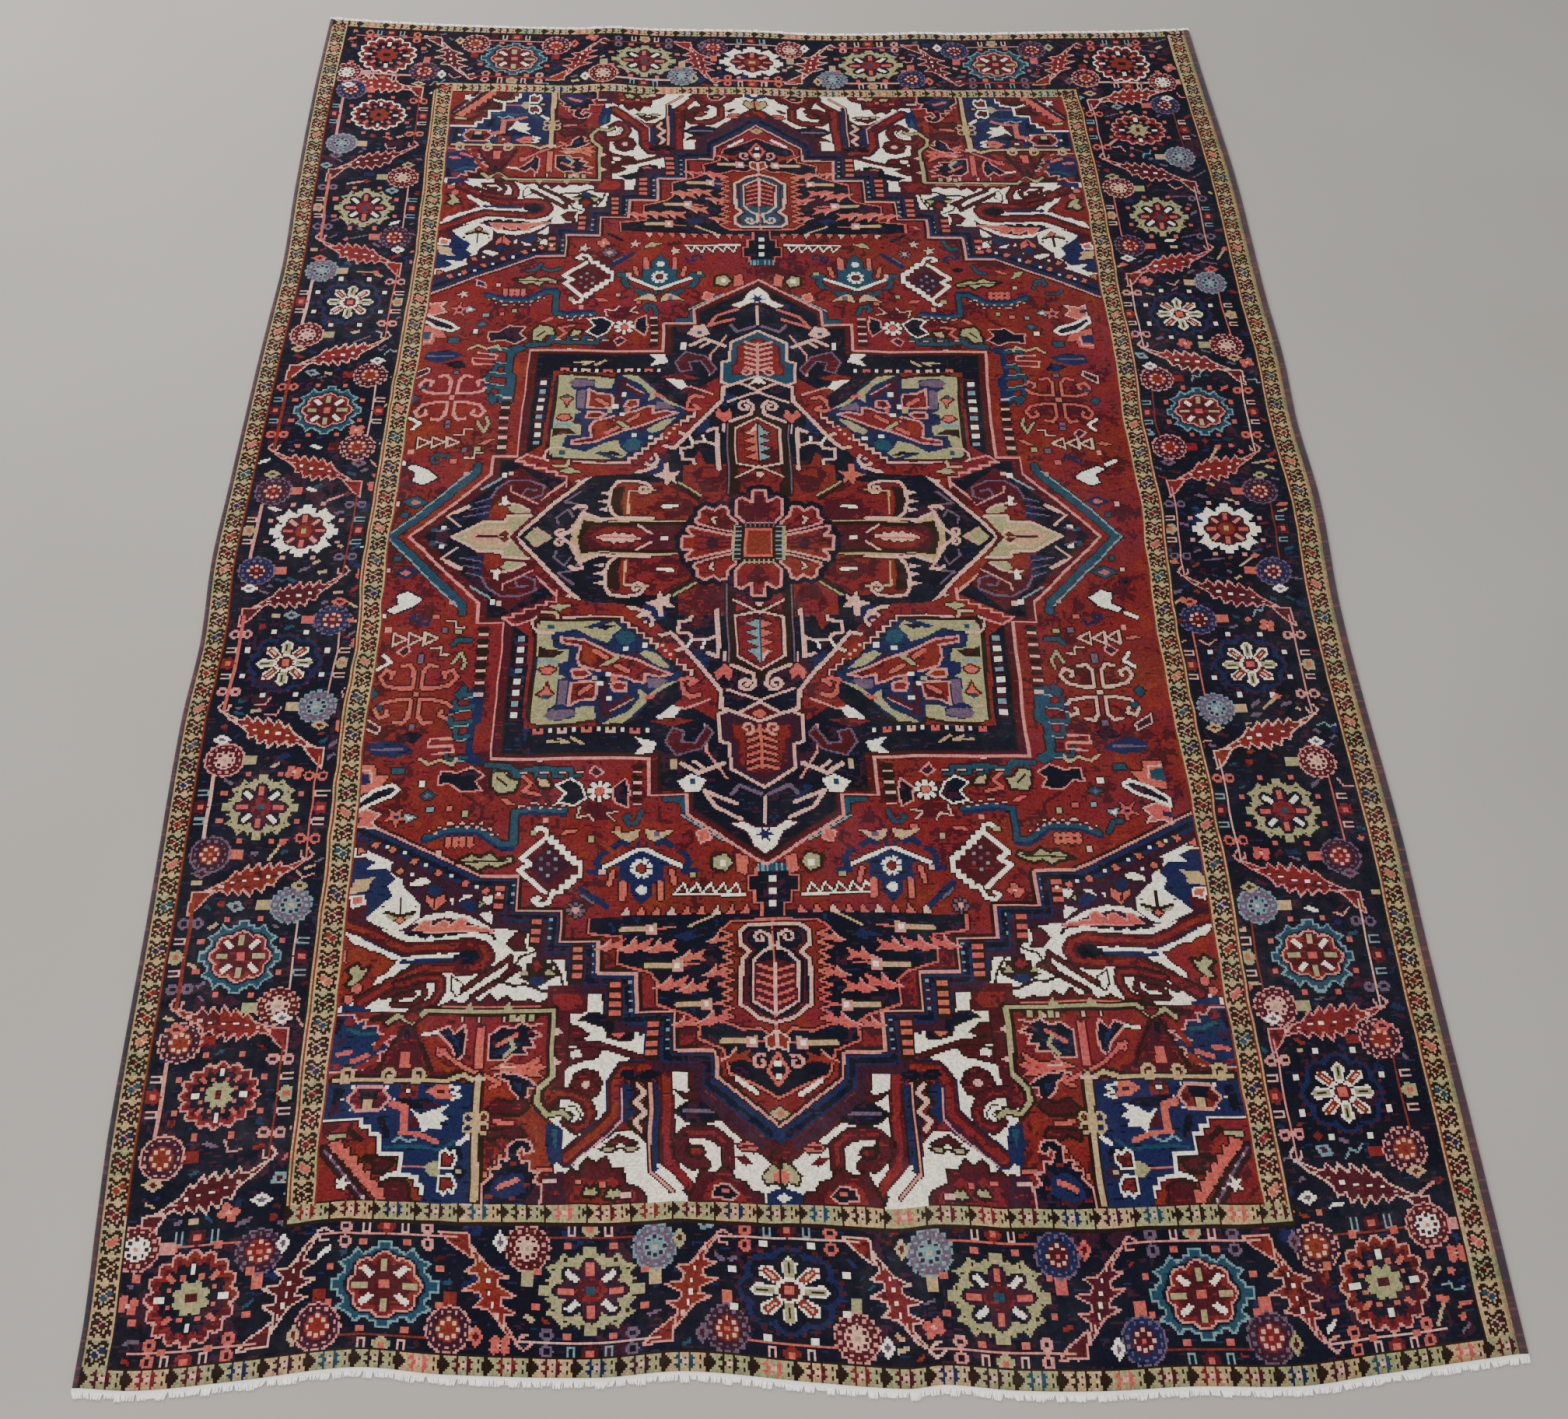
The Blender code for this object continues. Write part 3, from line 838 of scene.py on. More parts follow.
def palmette_block(pen):
    """Corner block of the medallion: a half flower on a dark, pale-framed ground."""
    q = Outward(pen)
    # the red strip it lies on, with a stepped outline
    q.fill([(-57, -25), (-45.6, -19.5), (-40, -21.5), (-32, -22), (-19, -37), (-14, -42), (-14.5, -45.5),
            (-19, -47.5), (-26, -48.5), (-33, -52), (-50.8, -52), (-51.4, -30)], RED)
    q.fill([(-46, -24.5), (-39.5, -25), (-31, -26), (-26.5, -30), (-24, -34), (-18, -38), (-20, -40),
            (-50, -30)], WINE)
    q.line(stairs([(-57, -25.2), (-45.8, -20.2)], 1) + [(-45.8, -18.4)], PINK, 0.5)
    q.line([(-57, -25.2), (-54.5, -27.2), (-50.9, -26)], PINK, 0.5)
    q.line([(-14.6, -45.2), (-19.5, -47.4), (-26, -46.9)], PINK, 0.5)
    ground = [(-50, -27.5), (-49, -26), (-34.5, -26)] + stairs([(-33.4, -26), (-19.8, -39.6)], 1.3)
    ground += [(-20.5, -41), (-26.8, -46), (-26, -47.5), (-31.5, -51), (-36.2, -51.6), (-36.8, -50),
               (-41, -51), (-47, -51.2), (-49.6, -50)]
    q.edged(ground, INDIGO, BARK, 0.5)
    q.line([(-44.5, -25.4), (-39, -25.1)] + stairs([(-34, -25.2), (-18.4, -39.6)], 1.3), PEACH, 0.5)
    # pale leaf pieces round the edge of the ground
    for leaf in (
            [(-49.6, -27), (-49.4, -50.6), (-46, -51), (-46.4, -47.2), (-44.9, -46.2), (-45.1, -40.6),
             (-43.6, -39.8), (-45.1, -39.2), (-45.2, -36.6), (-43.2, -36), (-43.4, -33.2), (-46.4, -33),
             (-47.2, -29.2)],
            [(-49, -26.4), (-36, -26.2), (-40.2, -27.8), (-38.8, -28.4), (-34.2, -26.4), (-32.8, -28),
             (-34.4, -29.6), (-35.2, -31.6), (-38.2, -30.6), (-42, -28.2), (-45, -29), (-49.2, -29)],
            [(-29, -34.4), (-27.8, -33.4), (-25.4, -34.4), (-22.4, -38), (-25, -37.4)],
            [(-21, -40.9), (-23, -43), (-27, -44.6), (-25.6, -43.4), (-24.4, -42)],
            [(-41, -47.4), (-39.6, -47), (-37.2, -47), (-37, -50), (-41, -50.8), (-47.5, -50.9),
             (-49.4, -49.6), (-48, -49.6), (-44, -50.2), (-40.8, -49.6)],
            [(-28.8, -42.8), (-27.2, -44), (-27.2, -46), (-31.6, -50.8), (-35.8, -51.2), (-34, -50),
             (-30.6, -48), (-28.6, -45)],
    ):
        q.fill(leaf, SAGE)
    q.fill([(-37.8, -28), (-36.6, -27.4), (-33.6, -27.2), (-36, -28.6)], NIGHT)
    # dark blots of other blues
    q.fill([(-34, -30), (-33, -28.6), (-30.6, -28.8), (-30, -31), (-31.4, -32.2), (-33.2, -31.6)], TEAL)
    q.fill([(-36.2, -41), (-34.8, -41.4), (-34.6, -46), (-33.8, -49.8), (-36.4, -49.6)], PLUM)
    q.fill([(-29.6, -44.6), (-35.8, -49.2), (-34.6, -47.2), (-31, -44.4)], WINE)
    q.line([(-29.8, -45.2), (-34.2, -48.2)], PINK, 0.33)
    q.fill([(-30.6, -33.4), (-28.4, -35.2), (-26, -37.4), (-30, -36.4)], PLUM)
    for blot in (
            [(-47, -48.6), (-45.6, -47.4), (-41.4, -47.8), (-40.6, -49), (-43, -49.8), (-46, -49.8)],
            [(-44.8, -40.8), (-43, -40.8), (-42.8, -46.6), (-44.7, -46.2)],
            [(-27.2, -40.4), (-22.6, -40.6), (-24.6, -42.6), (-26.8, -42.8)],
    ):
        q.fill(blot, MAUVE)
    # the half flower
    q.edged([(-45, -30.3), (-40.2, -31), (-37.6, -32.4), (-33.8, -34.4), (-36.6, -38.6), (-38.2, -38),
             (-40.6, -37.2), (-41.4, -35.4), (-40.9, -32.4), (-43.4, -31.9), (-45, -31.5)], RED, PINK)
    q.fill([(-40.2, -32.2), (-37.2, -33.6), (-38.4, -37), (-40.4, -36)], BRICK)
    q.edged([(-36.2, -37.4), (-33.4, -34.4), (-29.2, -36), (-26.2, -37.6), (-22.2, -39.4), (-24.8, -40),
             (-27.6, -39.2), (-27.6, -41.4), (-29.6, -41), (-31.6, -39.9), (-33.6, -39.7)], RED, PINK)
    q.fill([(-36.6, -38.2), (-35, -34.8), (-31, -35.6), (-30, -38), (-33.6, -39.2)], RED)
    for petal in (
            [(-42.3, -38.2), (-39.5, -38.1), (-38.2, -39.3), (-39.6, -40), (-42, -40)],
            [(-42.4, -41.3), (-40, -41.1), (-36.9, -41.2), (-37, -44.2), (-37.4, -45.3), (-40.2, -45.5),
             (-42.2, -46.8)],
            [(-34.2, -41.6), (-32.8, -41), (-31, -41.5), (-31.2, -43.4), (-33.4, -43.4)],
    ):
        q.edged(petal, RED, PINK)
    for bar in (
            [(-37.7, -33.6), (-35.5, -35.2)],
            [(-33.3, -37.2), (-30.9, -38.7)],
            [(-38.2, -42.2), (-40.3, -43.7)],
    ):
        q.line(bar, CORAL, 1)
    q.line([(-33.2, -35.1), (-35.4, -36.8)], SAGE, 0.9)
    for px, py, yarn in ((-37.4, -40.3, SAGE), (-34.8, -39.2, IVORY), (-33.6, -40.4, CORAL),
                         (-36.3, -41.6, IVORY), (-35.6, -40.4, NIGHT), (-31.7, -33, IVORY),
                         (-28, -32.2, IVORY), (-34.4, -45.2, IVORY), (-47, -27.8, TEAL)):
        q.box(px, py, 1.2, 1.1, yarn)
    # small figures standing in the pale strip
    q.fill([(-49.2, -32.5), (-47.8, -33.2), (-44.2, -33.5), (-46, -35.1), (-49.2, -35.2)], BARK)
    q.fill([(-48, -33.4), (-46.4, -33.8), (-47, -34.6)], WINE)
    q.fill([(-49.2, -35.6), (-45.4, -35.5), (-45.6, -36.6), (-49.2, -36.6)], SKY)
    q.edged([(-49, -37.9), (-47, -37), (-45.4, -37.9), (-46.4, -39.2), (-48, -39.2)], CORAL, WINE, 0.4)
    q.edged([(-48.8, -44), (-47.6, -42.8), (-47, -41), (-46.4, -42.6), (-45.4, -43.8), (-47, -45)], CORAL,
            WINE, 0.4)
    q.fill([(-47.9, -44), (-46.2, -44), (-47, -45.2)], TEAL)
    # curls and hooks at its ends
    q.line([(-48.6, -24), (-46, -23.9), (-45.6, -25.4)], CAMEL, 0.7)
    q.line([(-49.8, -25.4), (-50.8, -26), (-50.5, -28), (-49.4, -29.3), (-46.6, -29.3)], PEACH, 0.5)
    q.line([(-27.2, -45), (-24, -44.2), (-21.4, -42.4), (-20.4, -40.7), (-19, -40.3), (-17.4, -40.9),
            (-18.6, -41.8)], CORAL, 0.95)
    q.line([(-20.4, -41.6), (-19.7, -43.8), (-18.6, -44.7), (-16.9, -44.2)], CORAL, 0.95)
    q.fill([(-25.4, -33), (-24.4, -31.2), (-22.4, -33), (-21.4, -36), (-24.2, -35.2)], BRICK)
    for i in range(3):
        q.box(-24.6 + i * 0.9, -32.2 - i * 1.2, 0.6, 0.6, PEACH)
    # beads and combs in the strips round the block
    for i in range(8):
        y = -30.6 - i * 2.56
        q.box(-52.7, y, 1.5, 1.25, IVORY if i % 3 else SKY)
        q.box(-52.5, y - 1.28, 2.2, 0.5, WINE)
    for i in range(5):
        x = -48 + i * 4.7
        q.box(x, -52.6, 1.9, 1.2, PEACH if i % 2 else CORAL)
        q.box(x, -52, 0.5, 0.8, NIGHT)
        q.box(x + 2.4, -52.4, 0.7, 1, IVORY)
    q.line([(-46, -54.8), (-42, -55.2), (-44, -54.2)], CAMEL, 0.5)
    q.line([(-41.4, -54.2), (-39.4, -55.6)], CAMEL, 0.6)


def side_palmette(pen):
    """Pale arrow and the curls that fill the medallion's point at each side, one half."""
    q = Outward(pen, y=-5.9)
    # red ground with a ragged dark bed
    q.fill([(-67, -5.9), (-63, -10.5), (-60.5, -19), (-57.5, -23), (-49, -18.5), (-52, -13), (-55, -5.9)],
           WINE)
    q.fill([(-64, -8.6), (-61.8, -10.2), (-61.5, -13), (-59.5, -16.5), (-57, -12.5), (-57.2, -10)], RED)
    arrow = [(-68.6, -5.9), (-62.6, -9.8), (-57.8, -9.9), (-57.4, -11.5), (-52.4, -11.4), (-56.6, -5.9)]
    q.fill(arrow, SAGE)
    q.line(arrow[:-1], PEACH, 0.7)
    q.fill([(-66.4, -5.9), (-62.4, -8.7), (-57.2, -9), (-56, -7), (-56.8, -5.9)], CAMEL)
    for i in range(4):
        x = -64.0 + i * 1.5
        q.fill([(x - 0.8, -5.9), (x + 0.5, -8), (x + 0.9, -5.9)], PINK)
    q.line([(-63.4, -5.9), (-59.2, -5.9)], BARK, 0.7)
    q.fill([(-59, -6.1), (-57.6, -7.6), (-56.6, -6.6), (-57.2, -5.9)], RED)
    q.line([(-58.6, -7.4), (-57.2, -7.9), (-56.2, -6.6)], PEACH, 0.4)
    # leaf and small bird form below the arrow
    q.fill([(-57.8, -14), (-56.6, -12.4), (-52.8, -12.3), (-54.2, -14.2), (-56.2, -14.8)], SAGE)
    q.line([(-59.6, -14.9), (-57.6, -15.1), (-55.4, -14.6), (-53, -12.9)], PEACH, 0.55)
    q.line([(-58.4, -15), (-58.8, -17.8)], IVORY, 1.1)
    # paisley curl
    q.fill([(-62, -16), (-60.6, -19.4), (-57.4, -21.6), (-53.6, -21.4), (-50.6, -19.8), (-50.8, -17),
            (-53, -15.9), (-54.8, -17), (-54, -18.8), (-52.2, -18.6), (-53.6, -19.6), (-57.4, -18.6),
            (-58.4, -17)], WINE)
    q.line([(-61.8, -16), (-60.4, -19.2), (-57.4, -21.3), (-53.6, -21.2), (-50.4, -19.6), (-50.6, -17),
            (-53, -15.9), (-54.8, -17), (-54, -18.8), (-52, -18.4)], MAUVE, 0.5)
    q.line([(-57.3, -19.6), (-57.2, -18.2), (-51.2, -14.6)], PINK, 0.4)
    # feathers on the dark bed
    for i in range(3):
        y = -11.4 - i * 2
        q.fill([(-66.5 + i, y), (-61.6, y - 1.1), (-61.6, y + 0.6)], INDIGO)
        q.line([(-66.5 + i, y), (-61.8, y - 1)], MAUVE, 0.35)
    q.line([(-67.2, -8.8), (-70, -11.6), (-68, -13.2), (-65.8, -14)], PEACH, 0.5)
    q.line([(-68.6, -12.6), (-66, -14.2)], PEACH, 1)
    q.line([(-63.6, -19), (-59.6, -21.8)], SKY, 0.55)
    for px, py, yarn in ((-57.6, -23.2, PEACH), (-59, -22.8, IVORY), (-70.4, -8.4, IVORY),
                         (-72.2, -7.8, TEAL)):
        q.box(px, py, 1.1, 1.2, yarn)
    q.fill([(-72, -5.9), (-71.4, -7.4), (-69.6, -7.6), (-69.2, -5.9)], PLUM)
    q.line([(-69.4, -8.2), (-71.6, -7.4)], MAUVE, 0.5)
    # grey-green nook behind the pale line's point
    q.fill([(-53.4, -5.9), (-51, -8.6), (-48.6, -6.8), (-47.6, -5.9)], SAGE)
    q.line([(-51.4, -8), (-48.4, -6.4)], PINK, 0.45)
    q.line([(-46.6, -9.6), (-47, -11.2), (-44.6, -13.4), (-43.6, -11.4)], MAUVE, 0.5)
    q.line([(-43.4, -13.8), (-42.6, -14.5), (-41, -14.2)], PEACH, 0.9)


def end_shield(v, top):
    """Outlined shield in the medallion's point at each end; v looks outward."""
    half = [(0, 60.8), (6.2, 56.8), (6.4, 51.2), (8.2, 50.6), (8.2, 44.4), (6.2, 43.4), (0, 46.2)]
    v.edged(mirrored(half), TEAL if top else PLUM, PEACH, 0.65)
    inner = [(0, 58.4), (4.6, 55.6), (4.8, 50.2), (5.8, 49.6), (5.6, 46.6), (2.4, 47)]
    v.edged(mirrored(inner), RED, WINE, 0.4)
    tree = v.at(0, 47)
    herringbone(tree, 9.6, 2.9, 6, CORAL if not top else PINK, 0.7, 1)
    for side in v.sides():
        side.at(2.6, 47.6).line(curl(1.5, 1, 90), PINK, 0.6)
        side.line([(7.2, 59), (10.8, 53), (11, 46.5)], PINK, 0.5)
        # scroll arm with a leaf stroke, tulips and lilies on the dark ground
        side.edged([(9.4, 48.6), (11.8, 52.4), (16.6, 53.8), (18.8, 50.6), (17.4, 47.4), (15, 48.2),
                    (15.6, 50.6), (13, 51), (10.6, 46.8)], WINE, MAUVE, 0.45)
        side.line([(7.6, 55.6), (12.4, 58), (15.6, 55.8)], PEACH, 0.9)
        side.line([(11, 57.2), (13.2, 55.4)], PEACH, 0.7)
        side.fill([(15.8, 43), (17.2, 45.4), (21, 45.2), (19.4, 43.4), (17.8, 41.6)], IVORY)
        side.fill([(13.2, 45.6), (17.6, 47.2), (21.8, 45.8), (17.6, 44.9)], RED)
        side.fill([(20.4, 50.6), (24.6, 49.4), (23.2, 51.4), (24.8, 53.2), (21.4, 53)], IVORY)
        side.fill([(11.2, 59.4), (13.8, 58.2), (16.6, 59.6), (15, 62), (12.6, 62.2)],
                  IVORY if not top else PEACH)
        side.box(13.8, 59.8, 1, 1, TEAL)
        side.line([(5.6, 64.4), (11.6, 61.8), (9.4, 65.4), (4.6, 67.6)], PEACH if not top else CORAL, 0.8)
        side.fill([(16, 36.4), (19.6, 38.6), (24.4, 44.4), (21, 45.4), (15.4, 40.4)], NIGHT)
        side.box(17.2, 55.6, 1.2, 2.4, IVORY if top else CAMEL)
        side.line([(0.8, 62.2), (4.8, 60.4), (6.4, 62.4)], MAUVE, 0.8)
    # white lily in the very tip
    v.edged(mirrored([(0, 75.2), (2.2, 73.4), (3.4, 70.6), (6.6, 68.8), (4, 68), (1.6, 69.6)]), IVORY, WINE,
            0.35)
    v.at(0, 71).fill(star(1.9, 0.8, 6), INDIGO)
    v.line([(0, 68.6), (0, 62.8)], PEACH, 0.5)


def centre_flower(c):
    """Eight outlined petals round a framed square, each with a dark rim."""
    slanting = [(4.8, 2.6), (4.6, 5.4), (6.3, 7.4), (6.7, 9.5), (8, 9.9), (9.3, 8.7), (11.1, 9.7),
                (12.4, 8.7), (12.4, 7.1), (13.3, 6.3), (12.9, 5.3)]
    petals = [(q, slanting) for q in c.quarters()]
    broad = mirrored([(0, 15.8), (1.7, 15.7), (1.9, 13.6), (3.4, 14.8), (4.6, 14.6), (1.9, 5.6)])
    petals += [(c.at(0, 0, turn), broad) for turn in (90, -90)]
    forked = mirrored([(0, 14.3), (1.3, 14.2), (1.5, 10.8), (3.6, 12.3), (4.7, 11.6), (4.7, 7.4), (2.9, 5)])
    petals += [(c.at(0, 0, turn), forked) for turn in (0, 180)]
    for pen, outline in petals:
        pen.line(outline, NIGHT, 3, closed=True)
    for pen, outline in petals:
        pen.edged(outline, RED, PINK, 0.62)
    for q in c.quarters():
        q.line([(9.3, 5.4), (10, 6.6), (9.2, 7)], PEACH, 0.5)
        q.line([(6.2, 3.6), (11, 5.2)], WINE, 0.7)
    for turn in (90, -90):
        pen = c.at(0, 0, turn)
        pen.disc(0, 9.6, 1.3, PLUM)
        for x in (-1.8, 0, 1.8):
            pen.line([(x * 0.5, 6.2), (x, 12.4)], WINE, 0.6)
    for turn in (0, 180):
        pen = c.at(0, 0, turn)
        pen.fill([(-2.6, 10), (0, 5.5), (2.6, 10), (0, 11.4)], WINE)
    c.box(0, 0, 10.4, 9.6, BARK)
    c.box(0, 0, 7.6, 10.4, BARK)
    for side in (-1, 1):
        c.line([(side * 5.3, -4.4), (side * 5.3, 4.4)], SAGE, 0.5)
        for i in range(8):
            c.box(side * 4.5, -4.2 + i * 1.2, 1.5, 0.45, SKY)
        for i in range(7):
            c.box(-3 + i * 1, side * 5, 0.4, 1.5, MAUVE if side > 0 else SAGE)
    c.box(0, 0, 6.2, 7.4, CORAL)
    c.box(0, 0, 4.9, 6.1, BRICK)


def inner_medallion(c):
    """Dark ground inside the pale line, with arms toward all four sides."""
    for q in c.quarters():
        outline = [(0, 46), (7.4, 42.6), (7.6, 38.6), (18.6, 25.2), (24.4, 18), (34.6, 17.6), (35.8, 16.8),
                   (50.4, 0), (0, 0)]
        q.fill([(54.8, 0), (41, 15.4), (51, 21), (30, 24), (14, 42), (9, 45.6), (0, 49.4), (0, 0)], RED)
        q.line([(55.2, 0), (41.2, 15.2)], PINK, 0.6)
        q.fill(outline, NIGHT)
        # red ground nearer the middle
        q.fill([(0, 0), (0, 15), (5, 20.5), (16.4, 20.2), (16.4, 15.5), (26, 12), (31.6, 8), (31, 4.6),
                (22, 3.8)], RED)
        q.fill([(6, 16.5), (5.6, 19.8), (11.4, 20.2), (12.6, 24), (14.6, 21.6), (15.6, 15.8), (11, 13.4)],
               RED)
    for index, q in enumerate(c.quarters()):
        # bracket panels beside the side arms
        panel = [(13, 4.2), (27.6, 3.8), (31.2, 6.6), (31.6, 13.2), (30.2, 15), (24.6, 14.8), (20, 15.6),
                 (11.5, 10)]
        q.fill(panel, RED)
        q.fill([(28.6, 5), (31.2, 6.6), (31.4, 13), (28.8, 14), (29.6, 9.6)], BARK)
        q.fill([(27, 5.6), (28.6, 6.4), (28.8, 12.6), (27.2, 13.2)], BRICK)
        q.fill(ragged([(14, 5.6), (19.6, 5.2), (24.2, 8.2), (19.6, 11.8), (14.4, 10.2), (12.6, 7.8)], 1.6,
                      0.6), WINE)
        q.fill([(16.2, 7.4), (20.4, 7.2), (19.6, 9.6), (16.6, 9.6)], RED)
        q.fill([(20.6, 12.4), (24, 11.6), (24.6, 13.6), (21, 14.4)], WINE)
        q.line([(22.4, 5.2), (25.6, 6.6)], WINE, 0.6)
        q.line([(13, 11.6), (17.2, 12.8), (19.6, 14.6)], WINE, 0.7)
        q.line([(22.8, 3.6), (28.2, 3.8), (31, 6.8), (31.8, 9.6), (31.6, 13.4), (30.4, 15.3), (27.2, 15.6),
                (24.6, 15.1)], PEACH, 0.75)
        q.at(24.8, 13.3).line(curl(1.7, 1.15, 90, 1), PEACH, 0.7)
        for y in (7.4, 9.6, 12):
            q.fill([(32, y - 0.5), (34.2, y + 0.2), (32, y + 0.8)], PEACH)
        q.line([(27.6, 6.4), (27.8, 12.6), (22.4, 13)], CAMEL, 0.45)
        q.line([(17.6, 8.6), (20.4, 8.4)], IVORY, 0.8)
        q.fill([(7.2, 17), (7.2, 19.6), (12.6, 19.8), (14.6, 17.8), (12.4, 12.6), (9, 12.6)], WINE)
        q.fill([(8.4, 17.4), (8.4, 19.2), (12.2, 19.2), (12.6, 16.4)], RED)
        q.line([(36.4, 6), (38.4, 9), (41.2, 9.4), (38, 12.4)], MAUVE, 0.55)
        q.line([(35.4, 3.4), (37.8, 5.6), (36.2, 8.2)], PINK, 0.5)
        # candle, hook and tulip beside the end arms
        q.line([(8.6, 19), (8.8, 30.6), (10.8, 29.8)], PEACH, 0.9)
        q.line([(8.8, 25.6), (11.2, 26.6), (13.9, 26.4), (14.4, 25), (16.8, 24.6), (16.6, 21.8),
                (14.2, 21.6), (14, 20.4)], PEACH, 0.7)
        q.line([(11.4, 26.6), (11.8, 28.4)], IVORY, 0.6)
        q.line([(14, 26.4), (14.9, 28.2)], IVORY, 0.6)
        q.fill([(5.6, 34), (7.4, 32.2), (9.4, 34.4), (8.6, 36.4), (7.5, 34.8), (6.2, 36.4)], CORAL)
        q.line([(7.5, 31.6), (7.4, 29.6)], PEACH, 0.5)
        q.fill([(10.4, 30.4), (13.4, 28.6), (12.8, 32), (10.8, 34.4)], INDIGO)
        q.fill([(11.6, 26.8), (13.8, 27.2), (12.4, 28.6)], PLUM)
        # the sprig between the two scroll ends
        q.fill([(20.2, 18), (23.6, 17.4), (23.4, 21.4), (20.8, 21.8)], INDIGO)
        q.fill([(17.8, 14.6), (19.2, 15.8), (20.2, 14.2), (20.8, 16.4), (23.2, 17.2), (20.8, 18.2),
                (20.6, 20.4), (19.6, 20.6), (19.4, 18), (17, 18.4), (18.4, 16.8)],
               PEACH if index else CORAL)
        q.line([(12.3, 11.4), (17.4, 15.2)], SAGE, 0.5)
        q.line([(13, 10.6), (18, 14.6)], BARK, 0.5)
    for q in c.quarters():
        # the pale line itself with its scroll ends
        q.line([(0, 46.2), (7.6, 42.8), (7.8, 38.8), (16.2, 27.2), (18.3, 24.7), (20.9, 25.4)], PEACH, 0.85)
        q.line([(15.4, 28.4), (17.2, 29.2)], PEACH, 0.9)
        q.line([(50.6, 0), (36.4, 17), (34.6, 18.4), (25.4, 18.3), (22.4, 19.6)], PEACH, 0.85)
        q.at(23.6, 21.4).line(curl(2, 1, 130, 1), PEACH, 0.8)
        q.line([(38, 15), (40, 16.2)], PEACH, 0.8)
        q.line([(0, 41.2), (6.6, 38.4)], PEACH, 0.6)
    for turn in (90, -90):
        arm = c.at(0, 0, turn)
        # side arm: an arrow-headed panel with a saw-edged leaf
        arrow = [(0, 39.2), (3, 39.4), (6.2, 37.4), (5.4, 34), (4, 32.8), (4.8, 28), (4.6, 15)]
        arm.fill(mirrored(arrow), CAMEL)
        arm.fill(mirrored([(0, 38), (4.6, 37), (3.9, 32.8), (4.2, 27), (4.2, 15)]), BARK)
        arm.fill(mirrored([(0, 37), (3.4, 35.2), (3, 31), (3.3, 25), (3.2, 15)]), WINE)
        arm.fill(mirrored([(0, 35.8), (2.6, 32.4), (2.9, 27), (1.6, 23.2), (0, 24.2)]), RED)
        for side in arm.sides():
            side.line([(0.4, 41), (3, 38.2), (5, 37.8), (6.8, 37), (4.8, 33.2), (5.2, 28.4), (5.2, 22.6)],
                      PEACH, 0.75)
            side.at(1.4, 41.4).line(curl(1.2, 1, 200, -1), PEACH, 0.66)
            side.line([(1.2, 22.6), (3.4, 25.4)], PEACH, 0.5)
        arm.at(-0.2, 24.8, 90).fill(leaf_outline(9.4, 3.2, 5, 0), PEACH)
        arm.line([(0, 25.4), (0, 33.2)], CORAL, 0.5)
        arm.box(0, 19.8, 0.8, 1.6, IVORY)
        arm.box(0, 17, 1.2, 1.4, NIGHT)
    for index, arm in enumerate(both_ways(c)):
        # end arm: long hexagon with a two-coloured leaf, then a pair of scrolls
        arm.fill(mirrored([(0, 36.4), (6.4, 32.4), (6.6, 11.2), (4.6, 11.2), (4.6, 16.2), (0, 16.2)]), BARK)
        for side in arm.sides():
            side.line([(6.7, 12.2), (6.7, 31.8)], MAUVE, 0.4)
        arm.edged(mirrored([(0, 33.6), (5, 30.4), (5, 20.6), (0, 19.4)]), RED, PEACH, 0.5)
        arm.fill(mirrored([(0, 18.4), (5, 20), (5.2, 15), (0, 15)]), RED)
        arm.line([(-5.2, 16.6), (0, 19.8), (5.2, 16.6)], PEACH, 0.5)
        arm.disc(0, 17.4, 0.8, PEACH)
        for i in range(4):
            y = 21.4 + i * 2.3
            arm.fill([(-0.2, y), (-0.2, y + 2.3), (-2.9, y + 1)], CORAL)
            arm.fill([(0.2, y), (0.2, y + 2.3), (2.9, y + 1)], SKY)
        arm.fill([(-0.2, 30), (-2.2, 28.6), (-0.2, 32)], PEACH)
        arm.fill([(0.2, 30), (2.2, 28.6), (0.2, 32)], SKY)
        arm.line([(0, 21), (0, 32)], TEAL if index else BARK, 0.4)
        for side in arm.sides():
            side.line([(6, 32.6), (1.6, 34.6), (1, 37.2), (2.2, 38.6)], PEACH, 0.8)
            side.at(2.9, 37).line(curl(1.5, 1, 90, -1), PEACH, 0.75)
        arm.edged(mirrored([(0, 47.6), (5, 44.6), (0, 41.6)]), BARK if not index else WINE, PEACH, 0.7)
        if index:
            arm.diamond(0, 44.4, 3.2, 2.4, CORAL)
        else:
            arm.fill([(-2, 43.4), (0, 46.4), (2, 43.4), (0, 44.2)], IVORY)
            arm.line([(0, 44), (0, 47.8)], IVORY, 0.5)
    centre_flower(c.at(0, -1.4))


def medallion(c):
    """The whole centre of the rug; c stands at its middle."""
    point = [(72.5, 0), (57.2, 17.2), (57.2, 22), (52, 22), (52, 54.2), (21.8, 54.2), (21.8, 62.6),
             (14.8, 62.6), (14.8, 67.2), (0, 77.4)]
    for q in c.quarters():
        # blue shadow line outside the point and along the shoulders
        q.line([(76, 0), (70, 6.6), (60.4, 17.4), (60.2, 19.6)], TEAL, 1.5)
        q.line([(77, 0), (70.8, 7.4), (61.4, 18)], SKY, 0.4)
        for i in range(12):
            q.box(55.8, 23.4 + i * 1.45, 1.9, 0.75, PEACH if i % 2 else BARK)
    for q in c.quarters():
        q.fill([(0, 0)] + point, WINE)
        q.line(point, PINK, 0.6)
        inside = [(x - 1.9 if x > 20 else x - 1.2, y - 1.2) for x, y in point[1:-1]]
        q.fill([(0, 0), (69.5, 0)] + inside + [(0, 75.4)], NIGHT)
        q.line([(69.7, 0)] + inside + [(0, 75.6)], BARK, 0.4)
        q.fill([(53, 17.6), (52.6, 7), (47, 8.8), (44.6, 13), (51, 19)], WINE)
    inner_medallion(c)
    for q in c.quarters():
        palmette_block(q)
        side_palmette(q)
    for index, v in enumerate(both_ways(c)):
        end_shield(v, index == 0)


